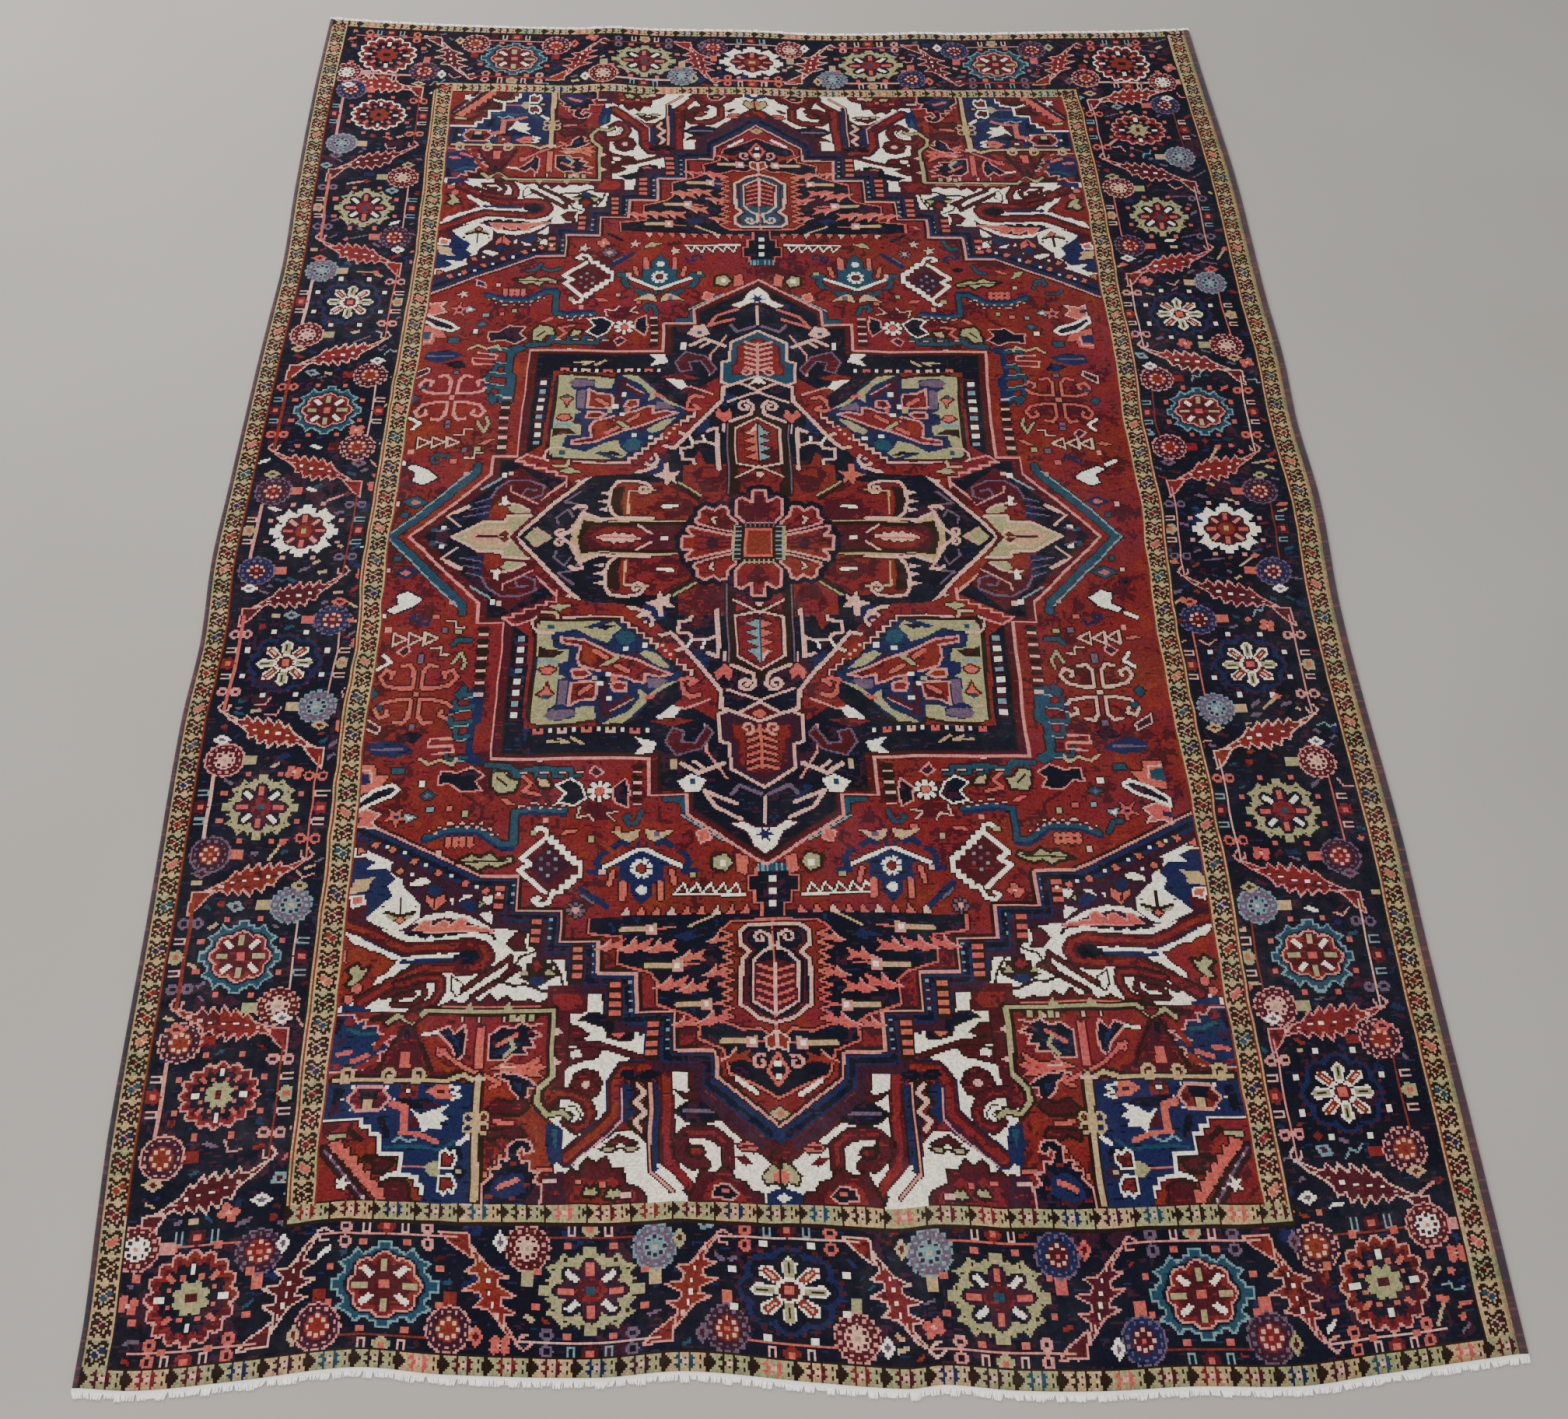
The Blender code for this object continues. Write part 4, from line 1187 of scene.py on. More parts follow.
AXIS = -3.6                    # cm, the middle line of the pendants
STEPS = [(-82, -70.6), (-57, -84), (-50, -84), (-50, -91), (-42, -91), (-42, -97.2), (-35.2, -97.2),
         (-35.2, -103.5), (-28.2, -103.5), (-28.2, -111), (-21.4, -111), (-21.4, -118.2), (-14.4, -118.4),
         (-14.2, -123), (-9, -127), (AXIS, -131.5)]


def spandrel(p):
    """Pale ground between the pendant and the guard, with thick scrolling stems."""
    shore = [(-82, -76), (-72, -80.5), (-66, -84.5), (-60, -88), (-54.5, -88.5), (-54.5, -94), (-47, -95.5),
             (-46, -99), (-41, -100), (-40, -106), (-34, -106.5), (-33.5, -113.5), (-27.5, -114),
             (-27, -120.5), (-20, -121), (-19, -125), (-13, -128), (-10, -132), (AXIS, -136)]
    p.fill(STEPS + [(AXIS, -145), (-82, -145)], INDIGO)
    p.fill(shore + [(AXIS, -145), (-82, -145)], IVORY)
    p.line(shore, BARK, 0.45)
    upper_corner(p)
    loop(p)
    slanting_bars(p)
    wedge(p)
    arch_and_scrolls(p)


def upper_corner(p):
    """The top of the spandrel: pale branch, umbrella bird and the saw-edged leaf on dark ground."""
    p.fill([(-82, -77), (-72, -80.5), (-66, -84), (-60, -87), (-54.2, -87.6), (-53.6, -95.4), (-68, -95.6),
            (-76, -94), (-82, -91.4)], PLUM)
    p.fill([(-82, -80), (-76, -80.6), (-73.4, -83), (-71.4, -86.4), (-73, -88.6), (-76, -91.6), (-82, -88)],
           INDIGO)
    p.fill([(-82, -76.6), (-79.4, -76.8), (-75, -79.6), (-74.2, -80.3), (-70.8, -80.2), (-71, -81.2),
            (-73.2, -81.4), (-73, -83.5), (-70.8, -84.8), (-70.6, -86.4), (-69, -87.8), (-67.5, -89.8),
            (-67.5, -92.4), (-69.6, -94.4), (-71.6, -95.2), (-77, -92.4), (-75.4, -90.4), (-72.4, -88),
            (-73.4, -86), (-72, -84.6), (-74, -82.2), (-77.8, -82.4), (-76, -80.9), (-78, -79.8),
            (-82, -79.6)], IVORY)
    p.fill([(-79.4, -84.4), (-75.8, -84), (-77, -85.6), (-76.6, -86.6), (-78.6, -87), (-80.6, -87.4)],
           CAMEL)
    p.fill([(-82, -87.6), (-77.4, -88), (-76.6, -90), (-78, -92), (-82, -91.6)], WINE)
    p.edged([(-79.8, -87.8), (-77.8, -87.6), (-77.4, -89.2), (-79.4, -89.8)], CORAL, IVORY, 0.45)
    p.edged([(-79.8, -77.4), (-78.4, -77.2), (-78, -78.8), (-79.6, -79.2)], CORAL, BARK, 0.36)
    # leaf in the pale ground
    p.line([(-71, -88.4), (-71, -91.4)], BARK, 0.6)
    p.line([(-73.6, -91.2), (-71, -92), (-68.6, -91.2)], BARK, 0.8)
    p.line([(-73.2, -91.9), (-71, -92.8), (-69, -92)], SAGE, 0.7)
    p.edged([(-71.9, -92.8), (-70.8, -91.8), (-69.9, -92.8), (-70.8, -93.8)], CORAL, BARK, 0.34)
    for x in (-74.2, -68.4):
        p.box(x, -90, 0.5, 0.5, BARK)
    # umbrella bird
    p.edged([(-69.6, -85.2), (-65.6, -83.2), (-64.2, -84.2), (-66.6, -85.8), (-69.4, -86.3)], IVORY, BARK,
            0.34)
    p.edged([(-64.2, -84.2), (-60.4, -86), (-63.4, -86.4), (-65.2, -85.2)], IVORY, BARK, 0.34)
    p.fill([(-66.2, -86), (-63.8, -86), (-64, -87.6), (-65, -88.2), (-66, -87.6)], INDIGO)
    p.edged([(-66.8, -87.4), (-66, -87.9), (-65, -88.6), (-64, -87.9), (-62.9, -87.3), (-62.8, -89.2),
             (-64.8, -91.3), (-66.6, -89.2)], CORAL, BARK, 0.36)
    p.line([(-65, -89), (-64.9, -90.4)], WINE, 0.4)
    for points in ([(-60.4, -86.8), (-58.2, -86.9), (-58.3, -88.2), (-60.6, -89.2), (-59.6, -87.8)],
                   [(-56.4, -88.2), (-54.6, -87.4), (-54.2, -89.2), (-55.6, -90)],
                   [(-62.2, -88.6), (-61.6, -88.5), (-61.7, -90.4)],
                   [(-56.8, -91.8), (-54.4, -91.2), (-54.1, -94), (-55.2, -93.2)],
                   [(-68.8, -93.8), (-66.4, -91.8), (-62, -91.2), (-58.4, -92.2), (-54, -94.8), (-55, -95),
                    (-59, -93.2), (-63, -92.2)]):
        p.fill(points, IVORY)
    p.fill([(-60.8, -89.6), (-58.2, -88.9), (-56, -90.8), (-58.2, -91.5)], INDIGO)
    p.edged([(-57.8, -88.4), (-55.6, -89.6), (-57, -91), (-56.8, -89.6)], SAGE, BARK, 0.34)
    saw = [(-68.4, -95.2)]
    for x, y in ((-66.2, -92.8), (-62.9, -92.9), (-59.7, -92.6)):
        saw += [(x - 0.4, y), (x + 0.9, y - 0.3), (x + 0.8, y - 1.5)]
    p.edged(saw + [(-53.8, -94.9), (-54, -95.6), (-60, -95.2)], CORAL, PINK, 0.34)


def loop(p):
    """The loop at the side with its pale rims, and what lies in and under it."""
    p.fill([(-82, -95), (-70, -98), (-56, -98), (-56, -102), (-66, -102), (-76, -108), (-82, -110)], RED)
    p.fill([(-70.8, -95.4), (-68, -95.2), (-57, -95.4), (-53.6, -95.6), (-53.2, -97), (-57, -96.2),
            (-68.4, -97)], NIGHT)
    for i in range(4):
        x = -67.4 + i * 2.6
        p.fill([(x - 0.9, -96.6), (x - 0.3, -95.7), (x + 0.8, -96.5)], IVORY)
    p.bands([(-71, -95.6), (-68.6, -96.6), (-66, -97), (-61, -96.6), (-57.6, -95.8), (-54.6, -96.4),
             (-53.2, -98.6)], (IVORY, 0.9))
    # pale rims inside the loop
    p.fill(ragged([(-79.6, -95.4), (-76.4, -95.4), (-73, -98.4), (-68.6, -99.8), (-59.4, -99.4),
                   (-68, -101.2), (-74.4, -105.2), (-71.4, -101.8), (-70.4, -100.2), (-74.4, -98.8),
                   (-79.4, -96.4)], 1.2, 0.45), IVORY)
    course = [(-82, -92.6), (-75.5, -95.2), (-72.7, -97), (-69.4, -98.4), (-61.2, -98.1), (-58, -97.6),
              (-55.3, -98.5), (-54.4, -100.3), (-55.5, -102.1), (-58, -102.6), (-65.7, -102.2),
              (-70.6, -104.8), (-76.2, -108.6)]
    p.bands([(-76.8, -96), (-73, -98), (-69.4, -99.6), (-62, -99.3)], (INDIGO, 1))
    p.bands(course, (BARK, 2.7), (WINE, 2.3), (RED, 1))
    p.line([(-69.6, -100.9), (-65, -100.7), (-59, -100.4)], INDIGO, 1)
    p.line([(-68.6, -100.2), (-63, -99.8), (-59.6, -100.2)], IVORY, 0.7)
    p.fill([(-60.6, -99.9), (-58.2, -98.9), (-56.4, -99.2), (-55.9, -100.6), (-57, -101.8), (-59, -101.6),
            (-60.4, -100.9)], NIGHT)
    p.edged([(-79.4, -102.2), (-77.6, -101), (-76.8, -102.2), (-75.4, -101.6), (-76.2, -103.6),
             (-77.8, -105.4), (-79.2, -105.2), (-78.2, -103.6)], SAGE, BARK, 0.36)
    p.disc(-77.2, -105.9, 0.9, CORAL)
    p.disc(-78.4, -107.9, 0.8, CORAL)
    p.fill([(-79.4, -108.8), (-76.4, -109.2), (-74, -110), (-74.6, -111), (-79.4, -111)], INDIGO)
    # scroll below the loop
    p.fill([(-74.4, -109), (-70.6, -105.8), (-66.4, -103.6), (-63.4, -103.4), (-60.6, -103.4),
            (-58.6, -105), (-58.4, -108.8), (-66, -110.2), (-72.4, -110.2)], IVORY)
    p.bands([(-72.2, -107.6), (-69.8, -106.4), (-65.6, -105.6), (-65, -107.4), (-67, -109), (-70.6, -109)],
            (BARK, 1.3), (WINE, 0.7))
    p.bands([(-67.2, -107.2), (-68.8, -107.4), (-70.2, -108)], (BARK, 1.2), (WINE, 0.7))
    p.bands([(-70, -105.4), (-66, -104.2), (-62.6, -104.2), (-62.4, -106.4), (-63.6, -108.8),
             (-67, -110.2)], (BARK, 1.9), (WINE, 1.3), (RED, 0.5))
    p.edged([(-60.6, -103.9), (-58.8, -105.2), (-58.4, -106.6), (-59.8, -107.8), (-60.8, -106.2)], IVORY,
            BARK, 0.36)


def slanting_bars(p):
    """Dark and pale bars that climb to the band, the stepped blossom and the strip above the corner."""
    for start, end in (((-58.6, -106.4), (-50.6, -100.6)), ((-57, -107.8), (-48.8, -102.6))):
        p.bands([start, end], (BARK, 1.3), (WINE, 0.6))
    p.bands([(-50.6, -100.4), (-50.2, -102.6), (-51.6, -104.2)], (BARK, 1.3), (WINE, 0.6))
    p.edged(ragged([(-51.4, -97.6), (-50, -95.7), (-47.9, -95.6), (-48.4, -97.4), (-47.6, -99.2),
                    (-50, -99)], 1.4, 0.4), WINE, BARK, 0.36)
    p.line([(-46.4, -99.4), (-48.8, -100.4), (-49.4, -102)], BARK, 0.5)
    # stepped blossom
    bed = stairs([(-49.4, -104.2), (-46.6, -100.2)], 1) + stairs([(-44.8, -100.2), (-42, -104.2)], 1)
    p.fill(bed + [(-45.7, -106)], BARK)
    p.fill([(-47.2, -102.4), (-45.7, -100.4), (-44.2, -102.4), (-45.7, -103.6)], RED)
    for x in (-47.9, -43.5):
        p.fill([(x - 1, -104), (x, -102.6), (x + 1, -104)], SAGE)
    p.fill([(-46.8, -104.2), (-44.6, -104.2), (-44.2, -105.4), (-45.8, -106.2), (-47.2, -105.4)], INDIGO)
    p.line([(-53, -104.8), (-50, -105.8), (-47.6, -105.6), (-44.6, -107), (-42.4, -106.6)], BARK, 0.6)
    p.line([(-43, -101.2), (-41.6, -103.6), (-41, -106)], BARK, 0.5)
    # strip above the corner panel, with a scalloped rim
    p.edged([(-68, -110.4), (-62, -109.4), (-60.6, -108.4), (-58.4, -109.2), (-57, -107.8), (-55.4, -109),
             (-54, -107.2), (-52.4, -108.8), (-51, -107.6), (-49.6, -108.8), (-47, -108.4), (-45.4, -109),
             (-42.4, -107.8), (-41, -111.4), (-41, -128), (-44, -128), (-44, -110.4)], WINE, BARK, 0.36)
    p.line([(-62, -109.8), (-45, -109.6)], CORAL, 0.4)


def wedge(p):
    """Pale and dark pieces above the arch, round the slanting branch and the small red flower."""
    p.fill([(-44, -106), (-36.6, -106), (-36.4, -111), (-39.8, -111.2), (-44, -111)], WINE)
    p.fill([(-42.8, -107.4), (-38.4, -107.4), (-37.4, -109), (-38.8, -110.4), (-42.6, -110.4)], RED)
    p.fill([(-41.4, -111), (-39.6, -111), (-39.4, -119.6), (-40.2, -121.5), (-40.4, -124.8), (-44, -128),
            (-44, -111)], WINE)
    p.fill([(-39.6, -112.2), (-36.8, -110.8), (-33.4, -111), (-32.4, -114.2), (-29.6, -116.4),
            (-26.6, -115), (-26.6, -119.4), (-31, -118), (-39.4, -116.2)], IVORY)
    p.edged([(-38, -112.2), (-36.2, -110.9), (-33.4, -111.2), (-31.2, -113.2), (-28.4, -113.4),
             (-28.6, -116), (-30.4, -116.2), (-33, -115.4), (-33.4, -113.6), (-36.6, -112.4)], NIGHT, BARK,
            0.36)
    p.edged([(-32.8, -115), (-30.8, -113.9), (-29.3, -114.7), (-30.9, -115.9)], CORAL, BARK, 0.36)
    p.edged([(-39.8, -113), (-37.8, -113.4), (-36, -114.8), (-37.6, -115.6), (-39.8, -115.8)], WINE, BARK,
            0.36)
    p.edged([(-39.6, -117.6), (-36, -116.9), (-33.8, -117.8), (-34.6, -119.2), (-36.8, -119.6),
             (-39.8, -120.6)], WINE, BARK, 0.36)
    p.bands([(-39.4, -116.2), (-34.4, -116.8), (-30.8, -118), (-27, -119.4), (-23.6, -120.6)], (BARK, 1.4),
            (WINE, 0.8))
    p.fill([(-39.2, -118), (-37.6, -117.6), (-37.2, -118.8), (-39, -119.2)], IVORY)
    # small red flower in the pale ground
    for i in range(8):
        p.at(-36.5, -123.8, 45 * i).edged([(0, -1.1), (2.3, -1.2), (2.8, 0), (2.3, 1.2), (0, 1.1)], WINE,
                                          BARK, 0.36)
    p.disc(-36.5, -123.8, 1.6, WINE)
    p.disc(-36.5, -123.8, 0.7, PEACH)
    # the hooked foot of the corner frame
    p.bands([(-43, -127.2), (-41.6, -125.4), (-39.2, -125.4), (-36.8, -126.6), (-35.7, -129), (-36.3, -131),
             (-38.2, -131.5), (-39.6, -130.4)], (BARK, 2.3), (WINE, 1.8), (RED, 0.6))
    p.bands([(-42.8, -129.4), (-40.8, -128.6), (-38.8, -128), (-37.8, -129.2), (-38.6, -130)], (BARK, 1.2),
            (IVORY, 0.7))


def arch_and_scrolls(p):
    """The arch at the foot, what stands in it, and the scrolls toward the middle line."""
    arch = [(-39.4, -136.6), (-33, -131), (-31.5, -129.2), (-31.5, -124), (-29.8, -121.5), (-24.8, -121.3),
            (-22.9, -122.8), (-22.7, -137.6), (-18.4, -142.6)]
    p.fill([(-31, -123), (-24, -123), (-23.4, -138), (-26.4, -141), (-36, -136), (-31, -131)], RED)
    p.bands(arch, (INDIGO, 3.4), (BARK, 3), (WINE, 2.5), (RED, 1.3))
    p.bands([(x + 1.1, y - 1.1) for x, y in arch[:4]], (INDIGO, 0.9), (PINK, 0.36))
    p.fill([(-30.8, -122.6), (-30, -121.4), (-27.9, -121.8), (-27.3, -122.6), (-26.7, -121.8),
            (-24.4, -121.4), (-23.6, -122.6), (-26, -123.6), (-27.3, -123), (-29, -123.6)], NIGHT)
    p.fill([(-30.2, -124.2), (-24.4, -124.2), (-24.4, -139), (-26, -139.4), (-26.4, -132.4),
            (-30.2, -130.8)], INDIGO)
    p.bands([(-27.6, -124.4), (-26.5, -125.8), (-28.1, -127.4), (-26.5, -129.2), (-28.3, -130.8),
             (-27.2, -132.2)], (BARK, 2.3), (RED, 1.9), (PEACH, 0.8))
    p.bands([(-25.6, -124), (-25.7, -139.4), (-22.2, -142.8)], (BARK, 1.1), (PINK, 0.5))
    p.bands([(-24.2, -138.4), (-20.6, -142.2)], (IVORY, 0.8))
    # roof, wings and mound left of it
    p.fill([(-37.4, -136.8), (-31, -132.2), (-28.6, -132.4), (-26.4, -134.4), (-26.2, -139.6),
            (-23, -142.6), (-24, -145), (-37, -145), (-38.4, -138.4)], IVORY)
    p.edged([(-33, -134.3), (-30.9, -132.9), (-27.6, -134.4), (-29.2, -134.8), (-30.6, -134.2),
             (-31.8, -134.8)], WINE, BARK, 0.36)
    for x in (-32.4, -28.9):
        p.edged([(x - 1.6, -135.2), (x, -134.7), (x + 1.6, -135.2), (x + 0.4, -135.8), (x - 0.6, -135.8)],
                SAGE, BARK, 0.36)
    mound = [(-41, -145), (-40.4, -140), (-38.4, -138.4), (-37, -139.2), (-35.8, -136.6), (-34.4, -137.6),
             (-33, -136.4), (-31.8, -138.6), (-30, -138.4), (-29.8, -141), (-27.4, -142), (-26.6, -145)]
    p.edged(ragged(mound, 1.4, 0.5), WINE, BARK, 0.4)
    p.fill(ragged([(-39, -145), (-38, -141), (-35.6, -139.6), (-34, -141), (-32, -139.8), (-30.4, -142),
                   (-28.4, -142.4), (-28.6, -145)], 1.2, 0.4), RED)
    for x, y in ((-35.4, -141.6), (-31.6, -142)):
        p.edged([(x - 1.5, y - 1.2), (x - 0.6, y + 0.4), (x, y - 0.2), (x + 0.7, y + 0.5), (x + 1.4, y - 1),
                 (x, y - 1.6)], SAGE, BARK, 0.36)
    p.box(-33.5, -141, 1, 0.9, CORAL)
    p.box(-37.4, -140.6, 1.3, 0.7, CORAL)
    p.box(-29.8, -143, 1.6, 0.7, PEACH)
    # ground between the arch and the middle band
    p.fill([(-22.2, -120.4), (-19.3, -121.4), (-19.1, -125.6), (-16, -126), (-12.4, -129), (-9, -131.4),
            (AXIS, -136.4), (AXIS, -145), (-17.2, -145), (-17.4, -142.8), (-20.6, -138.6), (-21, -136)],
           IVORY)
    p.bands([(-17.6, -119.6), (-17.2, -125.2), (-11.8, -130), (AXIS, -136.8)], (BARK, 3.5), (WINE, 3),
            (RED, 1.1))
    p.edged([(-21.6, -125.4), (-19.6, -126), (-17.8, -125.4), (-16.8, -126.8), (-18.6, -127.4),
             (-20.2, -126.8)], WINE, BARK, 0.36)
    p.edged(ragged([(-21.8, -129.1), (-19.4, -127.5), (-15.4, -127.6), (-12.8, -129.2), (-15.8, -131),
                    (-19.8, -130.8)], 1.5, 0.5), NIGHT, BARK, 0.36)
    p.line([(-20.2, -129.1), (-14.8, -129.2)], MAUVE, 0.5)
    # the scroll, its block and the bird
    p.bands([(-20.8, -134.4), (-19.4, -132.8), (-15, -132.7), (-12.4, -134.6), (-12.4, -138.2)],
            (BARK, 2.5), (WINE, 2), (RED, 0.6))
    p.bands([(-20.2, -134), (-20.5, -136.2), (-18.6, -138), (-16.4, -137.8)], (BARK, 2.3), (WINE, 1.8))
    p.edged([(-19, -134.6), (-17, -134.8), (-15.9, -136), (-17.2, -137), (-19, -136.6)], RED, BARK, 0.36)
    p.bands([(-18.4, -134.1), (-16.2, -134.3), (-14.9, -135.6), (-15.2, -137)], (IVORY, 0.9))
    p.edged([(-11, -134.6), (-9, -133.9), (-6.4, -134.4), (-8, -136), (-10.2, -135.8)], CORAL, BARK, 0.36)
    p.line([(-10, -135), (-7.4, -134.9)], WINE, 0.4)
    p.fill([(-11.4, -136.8), (-9.8, -136.4), (-8.4, -137.8), (-9.6, -138.2)], WINE)
    foot = [(-19.4, -145), (-18.2, -141), (-17.2, -138.8), (-15, -139.6), (-13.4, -138.4), (-11.4, -140.2),
            (-9.6, -140.8), (-8.6, -142.4), (-6.8, -142.6), (-6.6, -145)]
    p.edged(ragged(foot, 1.3, 0.5), WINE, BARK, 0.4)
    p.fill([(-17.4, -145), (-16.2, -141.6), (-14.4, -140.4), (-12, -142), (-10.2, -142.8), (-9.6, -145)],
           RED)
    p.edged([(-15.6, -143.6), (-15, -141.6), (-12.6, -141.4), (-11, -143), (-12.4, -144)], NIGHT, PINK,
            0.34)
    p.box(-13.2, -142.4, 1.2, 0.7, CORAL)
    # half flower on the middle line
    p.edged([(AXIS, -137.2), (-5.4, -138), (-6.8, -139.8), (-6.2, -141.4), (-4.6, -140.8), (AXIS, -142)],
            SAGE, BARK, 0.4)
    p.fill([(AXIS, -138.6), (-5, -139.4), (-4.8, -140.4), (AXIS, -141)], CORAL)
    p.fill([(-6.4, -142.6), (AXIS, -141.6), (AXIS, -145), (-6.4, -145)], INDIGO)
    p.diamond(AXIS, -143.4, 2.4, 1.6, IVORY)


def corner_panel(p):
    """The square in the corner of the field."""
    p.fill([(-82, -110.6), (-42.4, -110.6), (-42.4, -125), (-44.6, -128), (-41.6, -131), (-41.6, -145),
            (-82, -145)], RED)
    side_wing(p)
    fan_flower(p)
    corner_frame(p)
    blue_quarter(p)
    step_quarter(p)
    horned_mound(p)


def side_wing(p):
    """Blue saw-edged wing at the guard, and the dark leaf with a bud beside it."""
    wing = [(-82, -110.8), (-77.2, -110.9), (-76.4, -112.4), (-74.8, -111.8), (-75.2, -113.4),
            (-72.8, -113.2), (-72.4, -114.8), (-69.6, -115.2), (-71.4, -116.4), (-69.8, -117.6),
            (-72.2, -118.4), (-71.8, -119.8), (-74, -119.8), (-74.2, -121.2), (-82, -122)]
    p.edged(wing, INDIGO, PINK, 0.4)
    p.fill([(-82, -111), (-78.6, -111.4), (-79.4, -114.6), (-82, -115)], NIGHT)
    p.fill([(-78, -111), (-76.6, -112.2), (-77.6, -113.4), (-78.8, -112.6)], RED)
    p.line([(-77.8, -113.6), (-75.4, -114.8), (-73, -114.6)], TEAL, 0.7)
    p.line([(-79, -118.4), (-76.8, -118)], CORAL, 0.9)
    p.line([(-76.4, -119.8), (-74, -118.8)], CORAL, 0.9)
    p.diamond(-72.6, -116.8, 1.8, 1.2, SAGE)
    p.line([(-79.6, -116.4), (-78, -115.6)], PLUM, 0.7)
    p.line([(-79.8, -120.6), (-76.6, -121.2)], RED, 0.8)
    p.line([(-73.6, -111.9), (-70.4, -111.2)], BARK, 0.8)
    # leaf behind the bud
    for side in p.at(-67.6, 0).sides():
        side.fill([(0, -112.6), (1.8, -113.4), (1.4, -115.6), (3.2, -118.2), (2.6, -119.2), (4.2, -121.6),
                   (0, -121.8)], WINE)
        side.line([(0.6, -113.2), (1.8, -115.6), (3.4, -118.4), (4.6, -121.4)], BARK, 0.5)
        side.line([(2.6, -113.6), (5.2, -117.6)], BRICK, 1)
        side.line([(5, -119.4), (7.6, -121.2)], BRICK, 0.9)
    p.box(-67.6, -114.6, 0.8, 2, NIGHT)
    p.edged([(-68.5, -117.8), (-66.7, -117.8), (-66.4, -121.2), (-68.8, -121.2)], CORAL, WINE, 0.36)


def fan_flower(p):
    """Upright stem with dark birdlike petals on both sides."""
    for x in (-58.4, -55.4, -51, -48.8):
        p.box(x, -111.9, 0.5, 1.2, PEACH)
    for i in range(3):
        p.box(-49.8 + i * 1.7, -111.6, 0.9, 1.5, SAGE)
        p.box(-49.0 + i * 1.7, -111.6, 0.5, 0.5, BARK)
    # left petal
    p.edged([(-62.6, -114.2), (-60.6, -113.2), (-59.4, -114.6), (-57.8, -112.8), (-57.2, -115.4),
             (-57.4, -118.2), (-58.6, -119.6), (-59.4, -117.4), (-61, -115.6)], NIGHT, PINK, 0.4)
    p.fill([(-60.6, -114.2), (-58.6, -115.6), (-58.2, -117.8), (-59.2, -116.4)], INDIGO)
    p.line([(-64.8, -114.8), (-62.4, -114.4)], IVORY, 0.6)
    # right petals
    p.edged([(-53.4, -114.8), (-51.4, -113.2), (-49.4, -113.6), (-48, -112.6), (-46.4, -113.4),
             (-44.4, -112.8), (-45.6, -114.2), (-44.2, -115), (-46.2, -115.6), (-45.4, -117),
             (-47.4, -117.2), (-46.6, -118.4), (-49.4, -118.6), (-50.2, -119.6), (-53.4, -119.4)], NIGHT,
            PINK, 0.4)
    p.fill([(-52.6, -118.6), (-50.4, -116.6), (-47.6, -116.2), (-49.6, -118)], INDIGO)
    p.line([(-51.8, -116.6), (-48.8, -114.8)], CORAL, 0.8)
    p.line([(-49.8, -115.6), (-49, -117.2), (-50.6, -118.8)], SAGE, 0.7)
    p.line([(-46.8, -114.4), (-44.8, -113.4)], RED, 0.5)
    p.fill([(-53, -121.2), (-50.6, -119.8), (-47.4, -120.4), (-44.2, -118.6), (-44.8, -120.2),
            (-43.4, -120.8), (-45, -121.6), (-43.8, -122.8), (-46.4, -122.4), (-49.8, -121.6)], CORAL)
    p.line([(-51, -120.6), (-48.6, -120.8)], PEACH, 0.4)
    for x, y in ((-46.6, -121.2), (-49.4, -120.4), (-45.2, -120.4)):
        p.box(x, y, 0.7, 0.4, BRICK)
    p.edged([(-52.8, -122.4), (-50.6, -121.8), (-48, -122.2), (-46, -123.2), (-44, -125), (-46.4, -124.6),
             (-46.2, -126), (-47.6, -126.8), (-49.2, -125.2), (-49.8, -123.4)], NIGHT, PINK, 0.4)
    p.fill([(-49, -123.6), (-47.4, -124), (-47.8, -125.6)], INDIGO)
    # the slanting bar with a hook at each end
    p.bands([(-62, -117.4), (-57.4, -120.6), (-51.6, -123.4)], (WINE, 1.3), (CORAL, 0.66))
    p.at(-61.4, -118.2).line(curl(0.9, 0.9), CORAL, 0.5)
    p.line([(-52.6, -124.4), (-51, -123.8), (-51, -122.4)], CORAL, 0.6)
    # stem
    p.edged([(-55.7, -113.6), (-55.2, -112.6), (-54.8, -113.4), (-54.3, -112.6), (-53.9, -113.6),
             (-53.9, -121.2), (-55.7, -121.2)], CORAL, WINE, 0.36)


def corner_frame(p):
    """Sage bracket with teeth and a scrolled foot."""
    frame = [(-71, -112.6), (-69.4, -111.2), (-67, -112.6), (-64.6, -110.4), (-42.6, -110.4),
             (-42.4, -122.4), (-44.4, -124.6), (-44.8, -127), (-43, -129.2), (-40.6, -128.6),
             (-39.4, -129.6)]
    p.bands(frame, (BARK, 1.5), (SAGE, 0.8))
    p.fill([(-67, -110.6), (-65.4, -111.6), (-67, -112.8), (-68.6, -111.6)], RED)
    for x in (-57, -50.4):
        p.fill([(x - 1.1, -110.2), (x, -108.8), (x + 0.7, -110.2)], SAGE)
    for y in (-114.4, -119.8):
        p.fill([(-42.2, y - 0.8), (-40.8, y), (-42.2, y + 0.8)], PEACH)


